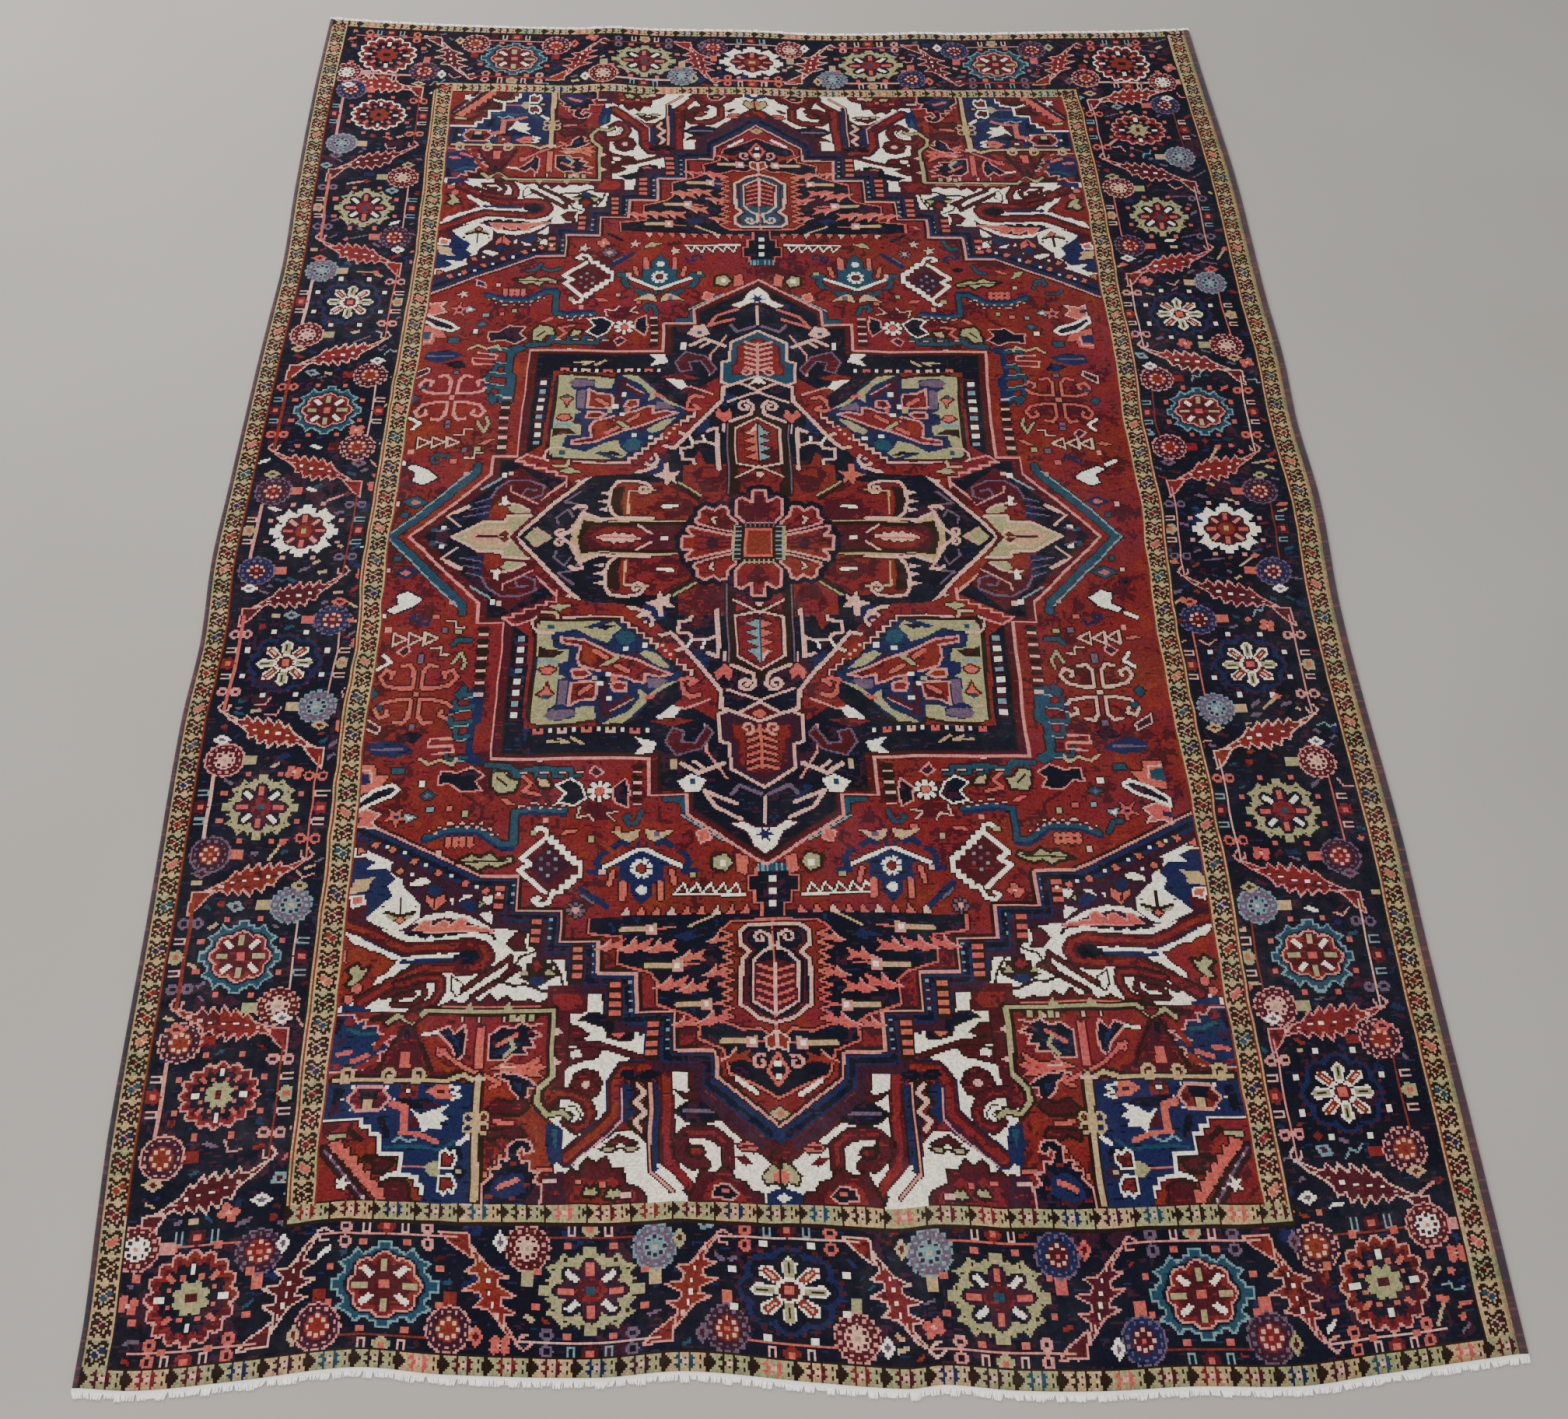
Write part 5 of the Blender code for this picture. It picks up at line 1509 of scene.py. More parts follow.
def blue_quarter(p):
    """Blue ground under the double-scrolled bar: cartouche, bud, bird form, trefoil."""
    p.fill([(-82, -123.6), (-54.6, -123.6), (-54.6, -145), (-82, -145)], INDIGO)
    p.fill([(-79, -124.4), (-77.2, -124.8), (-78, -129.2), (-79.4, -129.4)], NIGHT)
    p.fill([(-68.6, -126.4), (-62, -127), (-60.4, -128), (-66, -128.6)], NIGHT)
    p.line([(-70.6, -130.4), (-69.6, -133.2)], NIGHT, 1.2)
    p.fill([(-62, -134.8), (-57, -135), (-56.4, -137), (-61, -136)], NIGHT)
    p.line([(-79, -123.2), (-60, -123.2), (-57.2, -122), (-55.4, -123.2)], BARK, 1.4)
    p.line([(-79, -123.2), (-60, -123.2), (-57.2, -122), (-55.4, -123.2)], CAMEL, 0.8)
    for x, start, way in ((-77.2, 250, 1), (-70, 290, -1), (-65.2, 250, 1)):
        p.at(x, -122.2).line(curl(1.5, 1.15, start, way), CAMEL, 0.66)
    cartouche = [(-76.6, -126.6), (-75, -124.6), (-71, -124.5), (-69.4, -126.6), (-70.8, -128.7),
                 (-75, -128.8)]
    p.edged(cartouche, RED, PINK, 0.5)
    p.fill([(-74.8, -124.9), (-71.2, -124.9), (-71.6, -126.8), (-74.4, -126.8)], NIGHT)
    p.box(-73, -127.6, 1.7, 1.5, CAMEL)
    for x in (-75.4, -70.7):
        p.disc(x, -126.8, 0.8, WINE)
    for x, y in ((-75.8, -124.6), (-70.2, -124.6), (-76, -128.6), (-70, -128.6), (-77.4, -126.6),
                 (-68.6, -126.6)):
        p.box(x, y, 0.5, 0.5, IVORY)
    for x, y in ((-67.2, -124.7), (-65.6, -124.7), (-67.2, -125.9), (-65.6, -125.9)):
        p.disc(x, y, 0.75, RED)
    p.box(-66.4, -125.3, 0.66, 0.66, IVORY)
    p.fill([(-63.6, -125.2), (-61.6, -123.9), (-58.8, -124), (-59.6, -125.2), (-58.2, -126.6),
            (-61.4, -126.5)], CORAL)
    p.line([(-59.4, -124.2), (-57.6, -124.6), (-58.8, -125.4), (-57.4, -126), (-59, -126.6)], IVORY, 0.5)
    p.box(-60.8, -125.2, 1.2, 0.5, WINE)
    # bird form
    p.line([(-68.8, -127.6), (-66.8, -128.2), (-66.8, -132.2)], CORAL, 1.4)
    p.line([(-67.4, -132.6), (-64.4, -132.8), (-61.2, -134)], CORAL, 0.9)
    p.fill([(-65.8, -128.4), (-64.2, -129.6), (-62.6, -128.6), (-59.6, -127.6), (-61, -129),
            (-59.4, -129.8), (-61, -130.6), (-60.4, -131.6), (-62.6, -131.8), (-63.6, -132.6),
            (-64.4, -130.6)], IVORY)
    p.fill([(-65.8, -129.4), (-64.4, -130.4), (-64, -131.8), (-65.8, -131.9)], WINE)
    p.line([(-68.6, -134.2), (-67.4, -133.4), (-66, -134.2), (-64.6, -133.6)], SKY, 0.45)
    p.line([(-57.4, -134.4), (-55.9, -133.2)], IVORY, 0.8)
    p.line([(-69.8, -135.2), (-64, -134.9), (-60.4, -135.4), (-58.2, -133.8)], TEAL, 0.6)
    # trefoil at the foot
    p.line([(-66.6, -138.5), (-62.8, -138.5)], CORAL, 0.5)
    p.fill([(-63.2, -138.4), (-61.6, -137.2), (-60.2, -137.6), (-60.6, -139.8), (-62, -140)], SAGE)
    for y, way in ((-136.9, 1), (-141.2, -1)):
        p.at(-59.2, y).edged([(-1.5, -1.5 * way), (-1.5, 0.9 * way), (-0.5, 1.6 * way), (0.2, 0.8 * way),
                              (1, 1.4 * way), (1.5, 0), (0.6, -1.6 * way)], RED, IVORY, 0.45)
    p.diamond(-57.2, -139, 3, 2.6, NIGHT)
    p.box(-57.4, -139, 1, 0.5, SAGE)
    # the upright with its pair of rings
    p.bands([(-54.7, -122.6), (-54.6, -143.6)], (BARK, 1.9), (CAMEL, 1.2))
    for x in (-55.9, -53.4):
        for y in (-129.8, -131.6):
            p.at(x, y).line(lobes(0.8, 0, 4), CAMEL, 0.45, closed=True)
    p.box(-54.7, -122.9, 2.4, 0.9, PEACH)


def step_quarter(p):
    """Red stepped ground in the very corner, with its saw-edged stem."""
    red = stairs([(-82, -130.2), (-75.2, -130.2), (-70.8, -134.6)], 1.5)
    red += [(-70.8, -136.2), (-67.2, -136.3), (-67.1, -139.3), (-70, -140.6), (-68.6, -139.8),
            (-65.4, -139.9)]
    red += stairs([(-65.2, -140.2), (-63.2, -143)], 1.2) + [(-63.2, -145), (-82, -145)]
    p.fill(red, RED)
    p.line(red[:-2], IVORY, 0.55)
    p.edged([(-73.4, -137), (-70.6, -136.9), (-68.2, -137.6), (-69.4, -139.2), (-72, -139.4),
             (-70.8, -138.2)], WINE, BARK, 0.4)
    p.edged([(-69.6, -141.2), (-67.4, -140.6), (-65.6, -141.4), (-65, -145), (-69.4, -145)], WINE, BARK,
            0.36)
    for i in range(7):
        x, y = -77.6 + i * 1.2, -134.6 - i * 1.4
        p.fill([(x - 1.3, y + 0.3), (x + 0.9, y + 0.9), (x + 1.1, y - 1.1), (x - 0.3, y - 1.4)], CORAL)
    p.bands([(-79.4, -135.4), (-72.6, -144.4)], (BARK, 1.7), (PLUM, 1.1), (MAUVE, 0.36))
    for i in range(5):
        p.box(-78.4 + i * 1.4, -136.6 - i * 1.8, 0.4, 0.4, PEACH)
    p.at(-76.2, -141.4).fill(star(1.5, 0.6, 5), IVORY)
    p.line([(-78.6, -133.2), (-76.4, -133)], SAGE, 0.8)
    p.line([(-75.6, -132.4), (-73.8, -133.8)], BARK, 0.6)


def horned_mound(p):
    """Wine cloud, barred capsule and the dark horned mound right of the upright."""
    p.edged([(-53, -128.4), (-51.4, -126.6), (-49.2, -127.4), (-47, -126.4), (-46.2, -128), (-47.6, -129.2),
             (-52.4, -129.2)], WINE, BARK, 0.36)
    p.edged([(-52.8, -131.8), (-47.4, -131.6), (-46.4, -133), (-48.6, -133.6), (-50.4, -132.6),
             (-52.4, -133.6)], WINE, BARK, 0.36)
    p.edged([(-52.2, -129.9), (-48.2, -130.3), (-48.2, -131.4), (-52.2, -131)], CORAL, WINE, 0.36)
    p.fill([(-45.6, -129), (-44.4, -130.4), (-44.6, -133), (-46, -131.6)], BRICK)
    mound = [(-53.4, -145), (-53.4, -141.2), (-51.8, -139.6), (-52.2, -138.4), (-50.4, -138.2),
             (-50.8, -136.8), (-49.2, -137), (-49.4, -134.6), (-47.8, -133.4), (-45.8, -133.8),
             (-45.2, -135.4), (-46.6, -136), (-47, -134.9), (-47.8, -135.6), (-47, -137.4), (-45.6, -137),
             (-45.8, -138.8), (-44.2, -139), (-45, -140.6), (-43.6, -141.2), (-44, -145)]
    p.edged(mound, NIGHT, PINK, 0.4)
    p.fill([(-51.6, -140.6), (-49.4, -138.8), (-46.8, -139.4), (-46, -142), (-49, -143.6), (-52, -143)],
           INDIGO)
    p.line([(-50.6, -141.6), (-47.8, -140.4)], CORAL, 0.9)
    for x, y in ((-52.2, -143.2), (-48.4, -143.4), (-46, -141.2), (-48.4, -137.6)):
        p.box(x, y, 1.2, 0.7, RED)
    for i in range(5):
        p.box(-52.9 + i * 0.8, -139.4 + i * 1.05, 0.5, 0.7, CORAL)
    # blue strip beside it, crossed by short bars
    p.fill([(-43, -130.4), (-40.4, -131.4), (-40, -136.8), (-42.2, -138), (-43.2, -134)], INDIGO)
    p.fill([(-42.4, -131.6), (-41.2, -131.8), (-41.4, -135.4)], TEAL)
    p.fill([(-43.4, -139.6), (-40, -138.8), (-39.4, -145), (-43, -145)], PLUM)
    p.box(-43.2, -138.6, 2.6, 0.7, CORAL)
    p.box(-42.4, -140.6, 2.4, 0.6, PEACH)
    p.box(-41.6, -142.4, 2.4, 0.7, RED)


def pendant(p, cool=False):
    """One half of the stepped end piece: dark ground, branches, arrows and a shield."""
    dark = [(-37, -92.6), (-37, -95.6), (-31, -96.4), (-31.6, -98.5), (-31.8, -101.6), (-26, -103.4),
            (-24.6, -105), (-24.8, -109.6), (-19, -111.6), (-17, -113), (-17.4, -116.2), (-13, -118),
            (-12, -122.4), (-7.4, -124.4), (AXIS, -126.6), (AXIS, -91.4), (-24, -92)]
    p.fill(dark, NIGHT)
    p.line(dark[:-2], CORAL, 0.45)
    # branches
    for x, y, s in ((-33.4, -98.2, 1), (-29, -98.4, 1.2), (-24.6, -98.6, 1.1), (-22.4, -105.6, 1.2),
                    (-19, -100.4, 1), (-18.4, -106.4, 1.1), (-15, -112.6, 1.2), (-14.4, -103.6, 0.9),
                    (-20, -113.2, 0.8), (-11.2, -119.4, 1), (-14, -97.2, 0.8)):
        b = p.at(x, y, 0, 1, s)
        b.fill([(-2.4, -0.6), (-0.6, 0.2), (0.4, 1.5), (0.7, 0.4), (2, 1), (3.2, 1.6), (2.3, 0.1),
                (3.3, -0.9), (0.9, -0.5), (-0.4, -1.1)], CORAL if (x + y) % 2 < 1.2 else BRICK)
        b.line([(-2.4, -0.6), (-0.6, 0.2), (0.4, 1.5)], PINK, 0.34)
    # arrows with blossoms
    for x, y in ((-31, -95), (-26.4, -102.1), (-21, -109.7), (-13.2, -116.6)):
        p.line([(x, y), (x + 4.2, y)], BARK, 1.6)
        p.line([(x, y), (x + 4.2, y)], CAMEL, 0.95)
        p.line([(x + 4.6, y), (x + 9.4, y + 0.4)], CORAL, 0.4)
        p.box(x + 5.4, y, 2, 2, PINK)
        p.box(x + 5.4, y, 0.9, 0.9, IVORY)
        p.box(x + 6, y + 0.8, 0.8, 0.6, CAMEL)
    p.line([(-19, -94.6), (-14.4, -92.2)], CAMEL, 0.5)
    p.fill([(-22, -96.4), (-18.6, -95.2), (-17, -96.6), (-19.4, -97.4)], INDIGO)
    # toothed red block with the shield
    block = [(AXIS, -93.4), (-11.2, -93.6)]
    for i in range(11):
        y = -95.4 - i * 1.75
        block += [(-12.8 if i % 2 else -13.4, y), (-11, y - 0.9)]
    p.edged(block + [(-9.6, -114.4), (-6.4, -114), (AXIS, -116.4)], RED, CORAL, 0.45)
    shield = [(AXIS, -94.5), (-8.2, -94.5), (-9.6, -95.6), (-9.6, -98.2), (-8, -99.6), (-9.4, -101),
              (-9.6, -109.4), (-6.6, -112), (AXIS, -113)]
    p.fill(shield, NIGHT if not cool else TEAL)
    p.fill([(AXIS, -101), (-7.6, -102), (-7.6, -108.6), (AXIS, -111.6)], WINE)
    p.line(shield, PEACH, 0.7)
    p.line([(AXIS, -95.6), (-7.6, -95.6), (-8.6, -96.4), (-8.6, -98), (-7.2, -99.4), (-8.5, -101),
            (-8.6, -109.2), (-6.2, -111.4), (AXIS, -112.4)], WINE, 0.5)
    p.line([(AXIS, -98.4), (-5.8, -99.6), (-7.4, -101.4), (-7.5, -108.8), (AXIS, -111.4)], PEACH, 0.5)
    p.at(-6, -96.9).line(curl(1.3, 1, 20, 1), PEACH, 0.55)
    p.line([(-4.2, -99.2), (-4.4, -96.2)], PEACH, 0.5)
    for i in range(5):
        p.line([(AXIS, -103.2 - i * 1.55), (-6.6, -102.2 - i * 1.5)], CORAL, 0.55)
    p.line([(AXIS, -102), (AXIS, -110.6)], PEACH, 0.9)
    # what lies in the tip
    p.edged([(AXIS, -114.4), (-5.6, -115.8), (-5.2, -118), (AXIS, -117.4)], BRICK, PEACH, 0.4)
    p.at(-6.6, -120.2).line(curl(1.5, 1, 60, 1), PINK, 0.6)
    p.line([(AXIS, -118.6), (-5.4, -121.6), (AXIS, -124.4)], CORAL, 0.6)
    p.line([(-10.6, -123.4), (-7.2, -125.8)], IVORY, 0.8)
    p.box(AXIS, -120.4, 1.3, 1.2, IVORY)
    p.box(AXIS, -122.6, 1, 1, IVORY)
    p.diamond(AXIS, -129.3, 3.2, 2.6, SAGE)
    p.diamond(AXIS, -129.3, 1.4, 1.2, CORAL)
    # row of teeth and the white saw leaf above it, stepped pillar at the middle
    for i in range(9):
        x = -30 + i * 2.7
        p.fill([(x - 1.1, -92), (x, -90.2), (x + 0.5, -92)], CORAL if i % 3 else PEACH)
    for i in range(5):
        x = -20.4 + i * 2.4
        p.edged([(x - 1.2, -87.9), (x + 0.4, -85.8), (x + 1.2, -87.9)], RED, IVORY, 0.34)
    p.line([(-21.6, -88), (-8.8, -88.2)], IVORY, 0.45)
    foot = stairs([(-8.2, -87.4), (-5.6, -92.6)], 1.3)
    p.fill(stairs([(AXIS, -81.4), (-8.2, -85.8)], 1.3) + [(-8.2, -87.4)] + foot + [(AXIS, -93)], NIGHT)
    p.line(stairs([(-5, -82.6), (-8.2, -85.8)], 1.3) + foot, CORAL, 0.45)
    for y in (-85, -87.6, -90.2):
        p.box(AXIS, y, 1.3, 1.2, IVORY)
    p.fill([(AXIS, -81.4), (-6.2, -81.6), (-6.2, -83.4), (AXIS, -83.4)], TEAL)
    for i in range(3):
        p.box(-4.4 - i * 0.9, -82.4, 0.36, 1.5, SKY)


def stepped_band(p):
    """The line round the pendant, its dark shadow and the combs beyond it."""
    inner = [(x - 1.4, y - 1.4) for x, y in STEPS]
    outer = [(x - 3, y - 3) for x, y in STEPS]
    p.line(outer, PLUM, 1.7)
    p.bands(inner, (INDIGO, 1.9), (NIGHT, 1))
    p.bands(STEPS, (BARK, 1), (PINK, 0.5))
    for x, top, count in ((-53.4, -86.4, 3), (-46.4, -93.4, 3), (-38.7, -98.8, 4), (-31.9, -105.8, 4),
                          (-25.2, -113.2, 4)):
        p.box(x, top - count * 0.85 + 0.6, 2.4, count * 1.7 + 0.8, BARK)
        for i in range(count):
            p.box(x, top - i * 1.75, 1.9, 0.95, CORAL)
            p.box(x + 2.6, top - i * 1.75 + 0.6, 0.5, 0.5, SKY)
    # blossoms along the slanting line
    for x, y in ((-76.4, -77.2), (-73.1, -78.4), (-69, -80.9), (-71.4, -83), (-64.5, -83.3), (-59.6, -85.6),
                 (-55.8, -87)):
        p.edged([(x - 1.1, y - 0.4), (x - 0.2, y + 0.9), (x + 1.1, y + 0.5), (x + 0.3, y - 1)], CORAL, BARK,
                0.36)
        p.box(x + 2.2, y - 0.6, 0.66, 0.66, IVORY)


def stepped_diamond(p, heart):
    """White stepped lozenge with a scroll at each end; drawn about its middle."""
    left = stairs([(-1.4, 5.4), (-5.8, 1)], 1.1) + stairs([(-5.8, -0.6), (-0.4, -6)], 1.1)
    right = [(0.2, 5.4), (5.4, 0.9), (3.2, -0.4), (5, -1.6), (0.6, -6)]
    p.fill(left + right[::-1], WINE)
    p.diamond(-0.2, -0.2, 7.6, 7.8, heart)
    p.line(left, IVORY, 0.9)
    p.line(right, IVORY, 0.9)
    for i, (x, y) in enumerate(((0, 1.8), (-1.4, 0.4), (1.4, 0.4), (0, -0.4), (-1.4, -1.6), (1.4, -1.6),
                                (0, -2.8))):
        p.box(x - 0.2, y, 0.66, 0.66, MAUVE if i % 2 else SKY)
    p.line([(-1.2, 5.2), (-0.2, 7.6), (1.4, 8), (2.5, 7), (1.4, 6.5)], IVORY, 0.8)
    p.line([(0.4, -5.8), (0.8, -7.6), (2.2, -8), (2.8, -7)], IVORY, 0.8)


def moth(p, wing, trim):
    """Winged figure with a white chevron over a small flower; top is +y."""
    for side in p.sides():
        side.fill([(0, 6.2), (1.2, 5.2), (0.9, 3.8), (6.4, 1), (4, 0.4), (4.2, -3.4), (2, -3), (1.9, -5.4),
                   (0, -7.6)], wing)
        side.line([(0.4, 3.9), (7.2, 0.4)], IVORY, 0.8)
        side.fill([(0.4, 8.2), (1, 6.2), (2.6, 5.2), (6, 7.8), (3, 7.4)], CAMEL)
        side.line([(2.8, 5), (4, 5.6), (5.6, 4.2), (7.8, 3), (8.6, 1.2), (7.6, -0.8), (9.8, -0.6)], wing,
                  1.2)
        side.line([(4.6, 2.8), (6.6, 4.4), (6.2, 6.4)], RED, 0.9)
        side.line([(3.4, -3), (3.5, -6.2)], CORAL, 1.1)
        side.line([(5.4, -0.6), (6, -3.2)], CORAL, 0.9)
        side.line([(7.2, 3.8), (9.4, 5.6), (9, 7.4), (7.6, 6.6)], trim, 0.8)
    for i in range(8):
        p.at(0, 0, 45 * i + 22).box(1.55, 0, 0.95, 0.95, IVORY)
    p.disc(0, 0, 1, RED)
    p.disc(0, -4.4, 0.95, IVORY)
    p.box(0, 5, 0.9, 1.6, RED)


def hooked_cross(p, yarn):
    for q in p.quarters():
        q.line([(0.9, 1.3), (3.4, 1.3), (6.2, 2), (7.5, 3.9), (6.5, 5.6), (4.9, 4.9), (5.3, 3.7)], yarn,
               0.72)
        q.line([(0.9, 1.3), (1, 5.2), (2, 6.7), (3.6, 6.3)], yarn, 0.72)
    p.box(0, 0, 1.2, 1.2, yarn)
    p.box(0, 7.4, 1.3, 1, MAUVE)
    p.box(0, -7.4, 1.3, 1, MAUVE)
    for side in p.sides():
        side.diamond(8.4, 0, 2.2, 2.6, TEAL)


class Quarter:
    """Draws with places read in the front left quarter of the rug, on any of the four quarters."""

    def __init__(self, pen):
        self.pen = pen

    def places(self, points):
        return [(-(x + 4.5) / 0.975, -(y + 4.5)) for x, y in points]

    def fill(self, points, yarn):
        self.pen.fill(self.places(points), yarn)

    def line(self, points, yarn, width=LINE):
        self.pen.line(self.places(points), yarn, width)

    def edged(self, points, yarn, edge, width=0.36):
        self.pen.edged(self.places(points), yarn, edge, width)

    def at(self, x, y, turn=0, flip=1, size=1):
        return self.pen.at(*self.places([(x, y)])[0], turn, flip, size)


def side_field(p, number):
    """Small things strewn on the red beside the medallion."""
    q = Quarter(p)
    hooked_cross(q.at(-70.6, -43.8), (CORAL, PINK, CORAL, PEACH)[number])
    for x in (-75.2, -72.2, -69.2):
        q.at(x, -30.7).line([(-1.3, 0), (1.3, 1.5), (1.3, -1.5)], PEACH, 0.5, closed=True)
    q.line([(-78.6, -38), (-76.4, -36.4), (-77.8, -34.6)], IVORY, 0.7)
    q.line([(-64.4, -36.6), (-63, -33.8), (-62, -36.2), (-62.6, -38)], SAGE, 0.6)
    q.edged([(-76.6, -19.6), (-74.2, -18.6), (-71, -20.6), (-73, -22.8), (-76.8, -24.6), (-78.4, -23.6),
             (-76, -22)], IVORY, NIGHT, 0.4)
    q.line([(-78.6, -24.8), (-80.6, -25.8)], IVORY, 0.9)
    p.diamond(72.4, 9.6, 5.6, 3.4, TEAL if number % 2 else INDIGO)
    p.diamond(72.4, 9.6, 2.6, 1.6, CORAL)
    # a blot with a bar through it, a dark beetle above it
    q.fill([(-78.4, -55.6), (-75, -54.4), (-71.4, -55.4), (-69.6, -57), (-73, -58.4), (-77.6, -57.8)],
           INDIGO)
    q.line([(-77.4, -56.6), (-71.8, -56.4)], MAUVE, 0.5)
    q.fill([(-73.6, -54.2), (-71, -52.2), (-68.4, -53), (-69.8, -55.2)], NIGHT)
    q.edged([(-80, -49.2), (-76.4, -51.6), (-76.8, -53), (-80, -51.4)], PLUM, PEACH)
    # hooked coral figure, feather and flower at the guard
    q.fill([(-80, -60), (-76.6, -60.2), (-76.2, -62.4), (-73.8, -62.2), (-75.6, -65.4), (-80, -66.4)],
           CORAL)
    q.fill([(-80, -61.6), (-77.6, -62), (-77.4, -64), (-80, -64.6)], blue_of(number))
    q.line([(-80, -61), (-77.4, -61.2), (-77, -63.8)], PEACH, 0.36)
    q.at(-72.2, -61.3).box(0, 0, 2.4, 1.5, TEAL)
    q.edged([(-80, -68.4), (-76.6, -65.6), (-73.2, -64.4), (-71.8, -65.4), (-73.4, -66.8), (-77, -68.4),
             (-80, -70.2)], NIGHT, IVORY, 0.7)
    q.edged([(-80, -70.6), (-77.8, -69.4), (-75, -70.6), (-76.4, -72.4), (-75.2, -73.8), (-78.6, -73.2),
             (-80, -74.2)], CORAL, PEACH, 0.36)
    q.fill([(-80, -71.6), (-78.4, -71.2), (-78.6, -72.4), (-80, -72.8)], INDIGO)
    q.at(-72, -71.2).fill(star(2.4, 0.9, 5, 20), CORAL)
    q.at(-72, -71.2).box(0, 0, 0.9, 0.9, INDIGO)
    q.edged([(-70.4, -70.6), (-68.4, -71.2), (-69.8, -72.2)], IVORY, SKY)
    q.at(-66.5, -66.7).diamond(0, 0, 3, 2.2, TEAL)
    q.at(-66.5, -66.7).diamond(0, 0, 1.4, 1, MAUVE)
    for x, y, yarn in ((-77.6, -28.2, PINK), (-66.6, -28.6, MAUVE), (-79, -13.4, PEACH),
                       (-68.4, -25.2, CORAL), (-65.2, -21.6, PINK), (-63.8, -28.8, SAGE),
                       (-77.2, -47, TEAL), (-63.6, -47.6, INDIGO), (-67.6, -64.4, IVORY),
                       (-70.6, -35.2, MAUVE), (-77, -10.4, TEAL)):
        q.at(x, y).box(0, 0, 1.2, 1.2, yarn)


def blue_of(number):
    return TEAL if number % 2 else INDIGO


def ring(p, number):
    """Figures between the medallion and a pendant, one quarter."""
    q = Quarter(p)
    blue = blue_of(number)
    # hooked blue growth down the medallion's corner and along its foot
    q.fill([(-60.6, -42.2), (-57.8, -42.6), (-57.6, -50.4), (-58.8, -51.6), (-58.4, -57.6), (-56, -59.2),
            (-57.8, -60.4), (-59.8, -59.4), (-60.2, -52.4), (-59.4, -47.8), (-60.8, -46)], blue)
    for y, reach in ((-43.6, 2), (-46.8, 3.4), (-50.4, 4), (-53.6, 2.6), (-58.4, 3.8)):
        q.line([(-59.6, y), (-59.6 - reach, y - 0.4), (-59.8 - reach, y + 1.4)], TEAL, 0.8)
        q.line([(-60, y - 0.8), (-59.4 - reach, y - 1.2)], SKY, 0.34)
    q.line([(-55.8, -60.2), (-51.6, -60.4), (-50.8, -61.8), (-47, -61), (-40.4, -61.2)], TEAL, 1.1)
    for x in (-54.4, -50.6, -46.8, -43.4, -40.2):
        q.line([(x, -61.2), (x, -62.8), (x + 1.6, -62.8)], TEAL, 0.7)
        q.line([(x + 0.9, -61.9), (x + 2, -61.9)], PEACH, 0.34)
    # curls, dark bird, pale shrub
    q.line([(-62.8, -54.2), (-67, -54), (-67.4, -55.8), (-62.4, -55.8), (-62.2, -57.2), (-66.4, -57.6)],
           PINK, 0.45)
    q.line([(-68.6, -58.6), (-66.8, -60), (-64.6, -59), (-62.4, -60.2), (-61.6, -58.8)], CAMEL, 0.6)
    q.edged([(-64.4, -61.4), (-61.2, -61.8), (-58.6, -60.6), (-56.2, -62.4), (-57.8, -63.8), (-56.6, -65.8),
             (-60.4, -66.2), (-62.6, -64.2), (-64.8, -64.4)], NIGHT, PINK)
    q.edged([(-55, -61.8), (-52.8, -61.4), (-51.6, -63.2), (-49.8, -63.6), (-50.6, -66), (-53.6, -66.6),
             (-54.8, -65)], SAGE, BARK)
    q.line([(-53.8, -63), (-52.2, -64.6)], BARK, 0.5)
    q.line([(-60, -66.8), (-56.4, -69.4), (-56.4, -73)], WINE, 0.7)
    q.line([(-49.2, -62.6), (-47.6, -64.2), (-49, -65.8), (-46, -66.6)], CORAL, 0.7)
    q.edged([(-46.8, -62.8), (-44.6, -63.4), (-43.8, -65), (-46, -65.2)], CAMEL, BARK)
    q.line([(-43, -67), (-46.6, -67.6), (-49.4, -66.8)], WINE, 0.6)
    # butterfly
    q.edged([(-43, -64.6), (-40.4, -63.2), (-38.4, -64.6), (-37.2, -67.6), (-39.6, -69.4), (-42.6, -68.6),
             (-41.2, -66.6)], NIGHT, IVORY, 0.4)
    q.edged([(-32.4, -65.6), (-30.2, -63.4), (-29.4, -66.2), (-29.8, -69.8), (-32, -68.6)], NIGHT, PINK,
            0.4)
    q.fill([(-38.4, -69.4), (-35.2, -68.6), (-32.6, -70.2), (-33.2, -72.6), (-37.2, -72.4)], WINE)
    q.line([(-38.6, -69.8), (-39.2, -72), (-37, -71.4), (-36, -72.8)], PEACH, 0.36)
    q.line([(-32.2, -72.8), (-33.6, -71.2), (-31.6, -70.6)], PEACH, 0.36)
    squares_round(q.at(-34.7, -66.2), 1.7, 0.95, IVORY, CORAL)
    for i in range(8):
        q.at(-28, -60.6 - i * 1.2).box(0, 0, 1.8, 0.55, PEACH if i % 2 else BARK)
    # the long scarf: two toothed humps and the upright between them
    run = [(-66.2, -75.8), (-62.6, -74.2), (-56.6, -74.2), (-52.8, -77.2), (-50.4, -77.2), (-50.4, -70.4),
           (-47.6, -69.6), (-41.4, -70.4)]
    q.line([(x - 0.2, y - 0.7) for x, y in run], INDIGO, 1.3)
    q.line(run, TEAL, 1.1)
    for base in ([(-53.2, -75.2), (-56.2, -72.8), (-62.4, -72.8), (-65.8, -74.4)],
                 [(-41.4, -69.2), (-47.2, -68.3), (-49.6, -69.2)]):
        q.line(ragged(base, 0.8, 1, closed=False), PEACH, 0.36)
        q.line([(x, y - 0.5) for x, y in base], WINE, 0.5)
    for x in (-61.4, -58.8):
        four_dots(q.at(x, -77), CORAL, BARK)
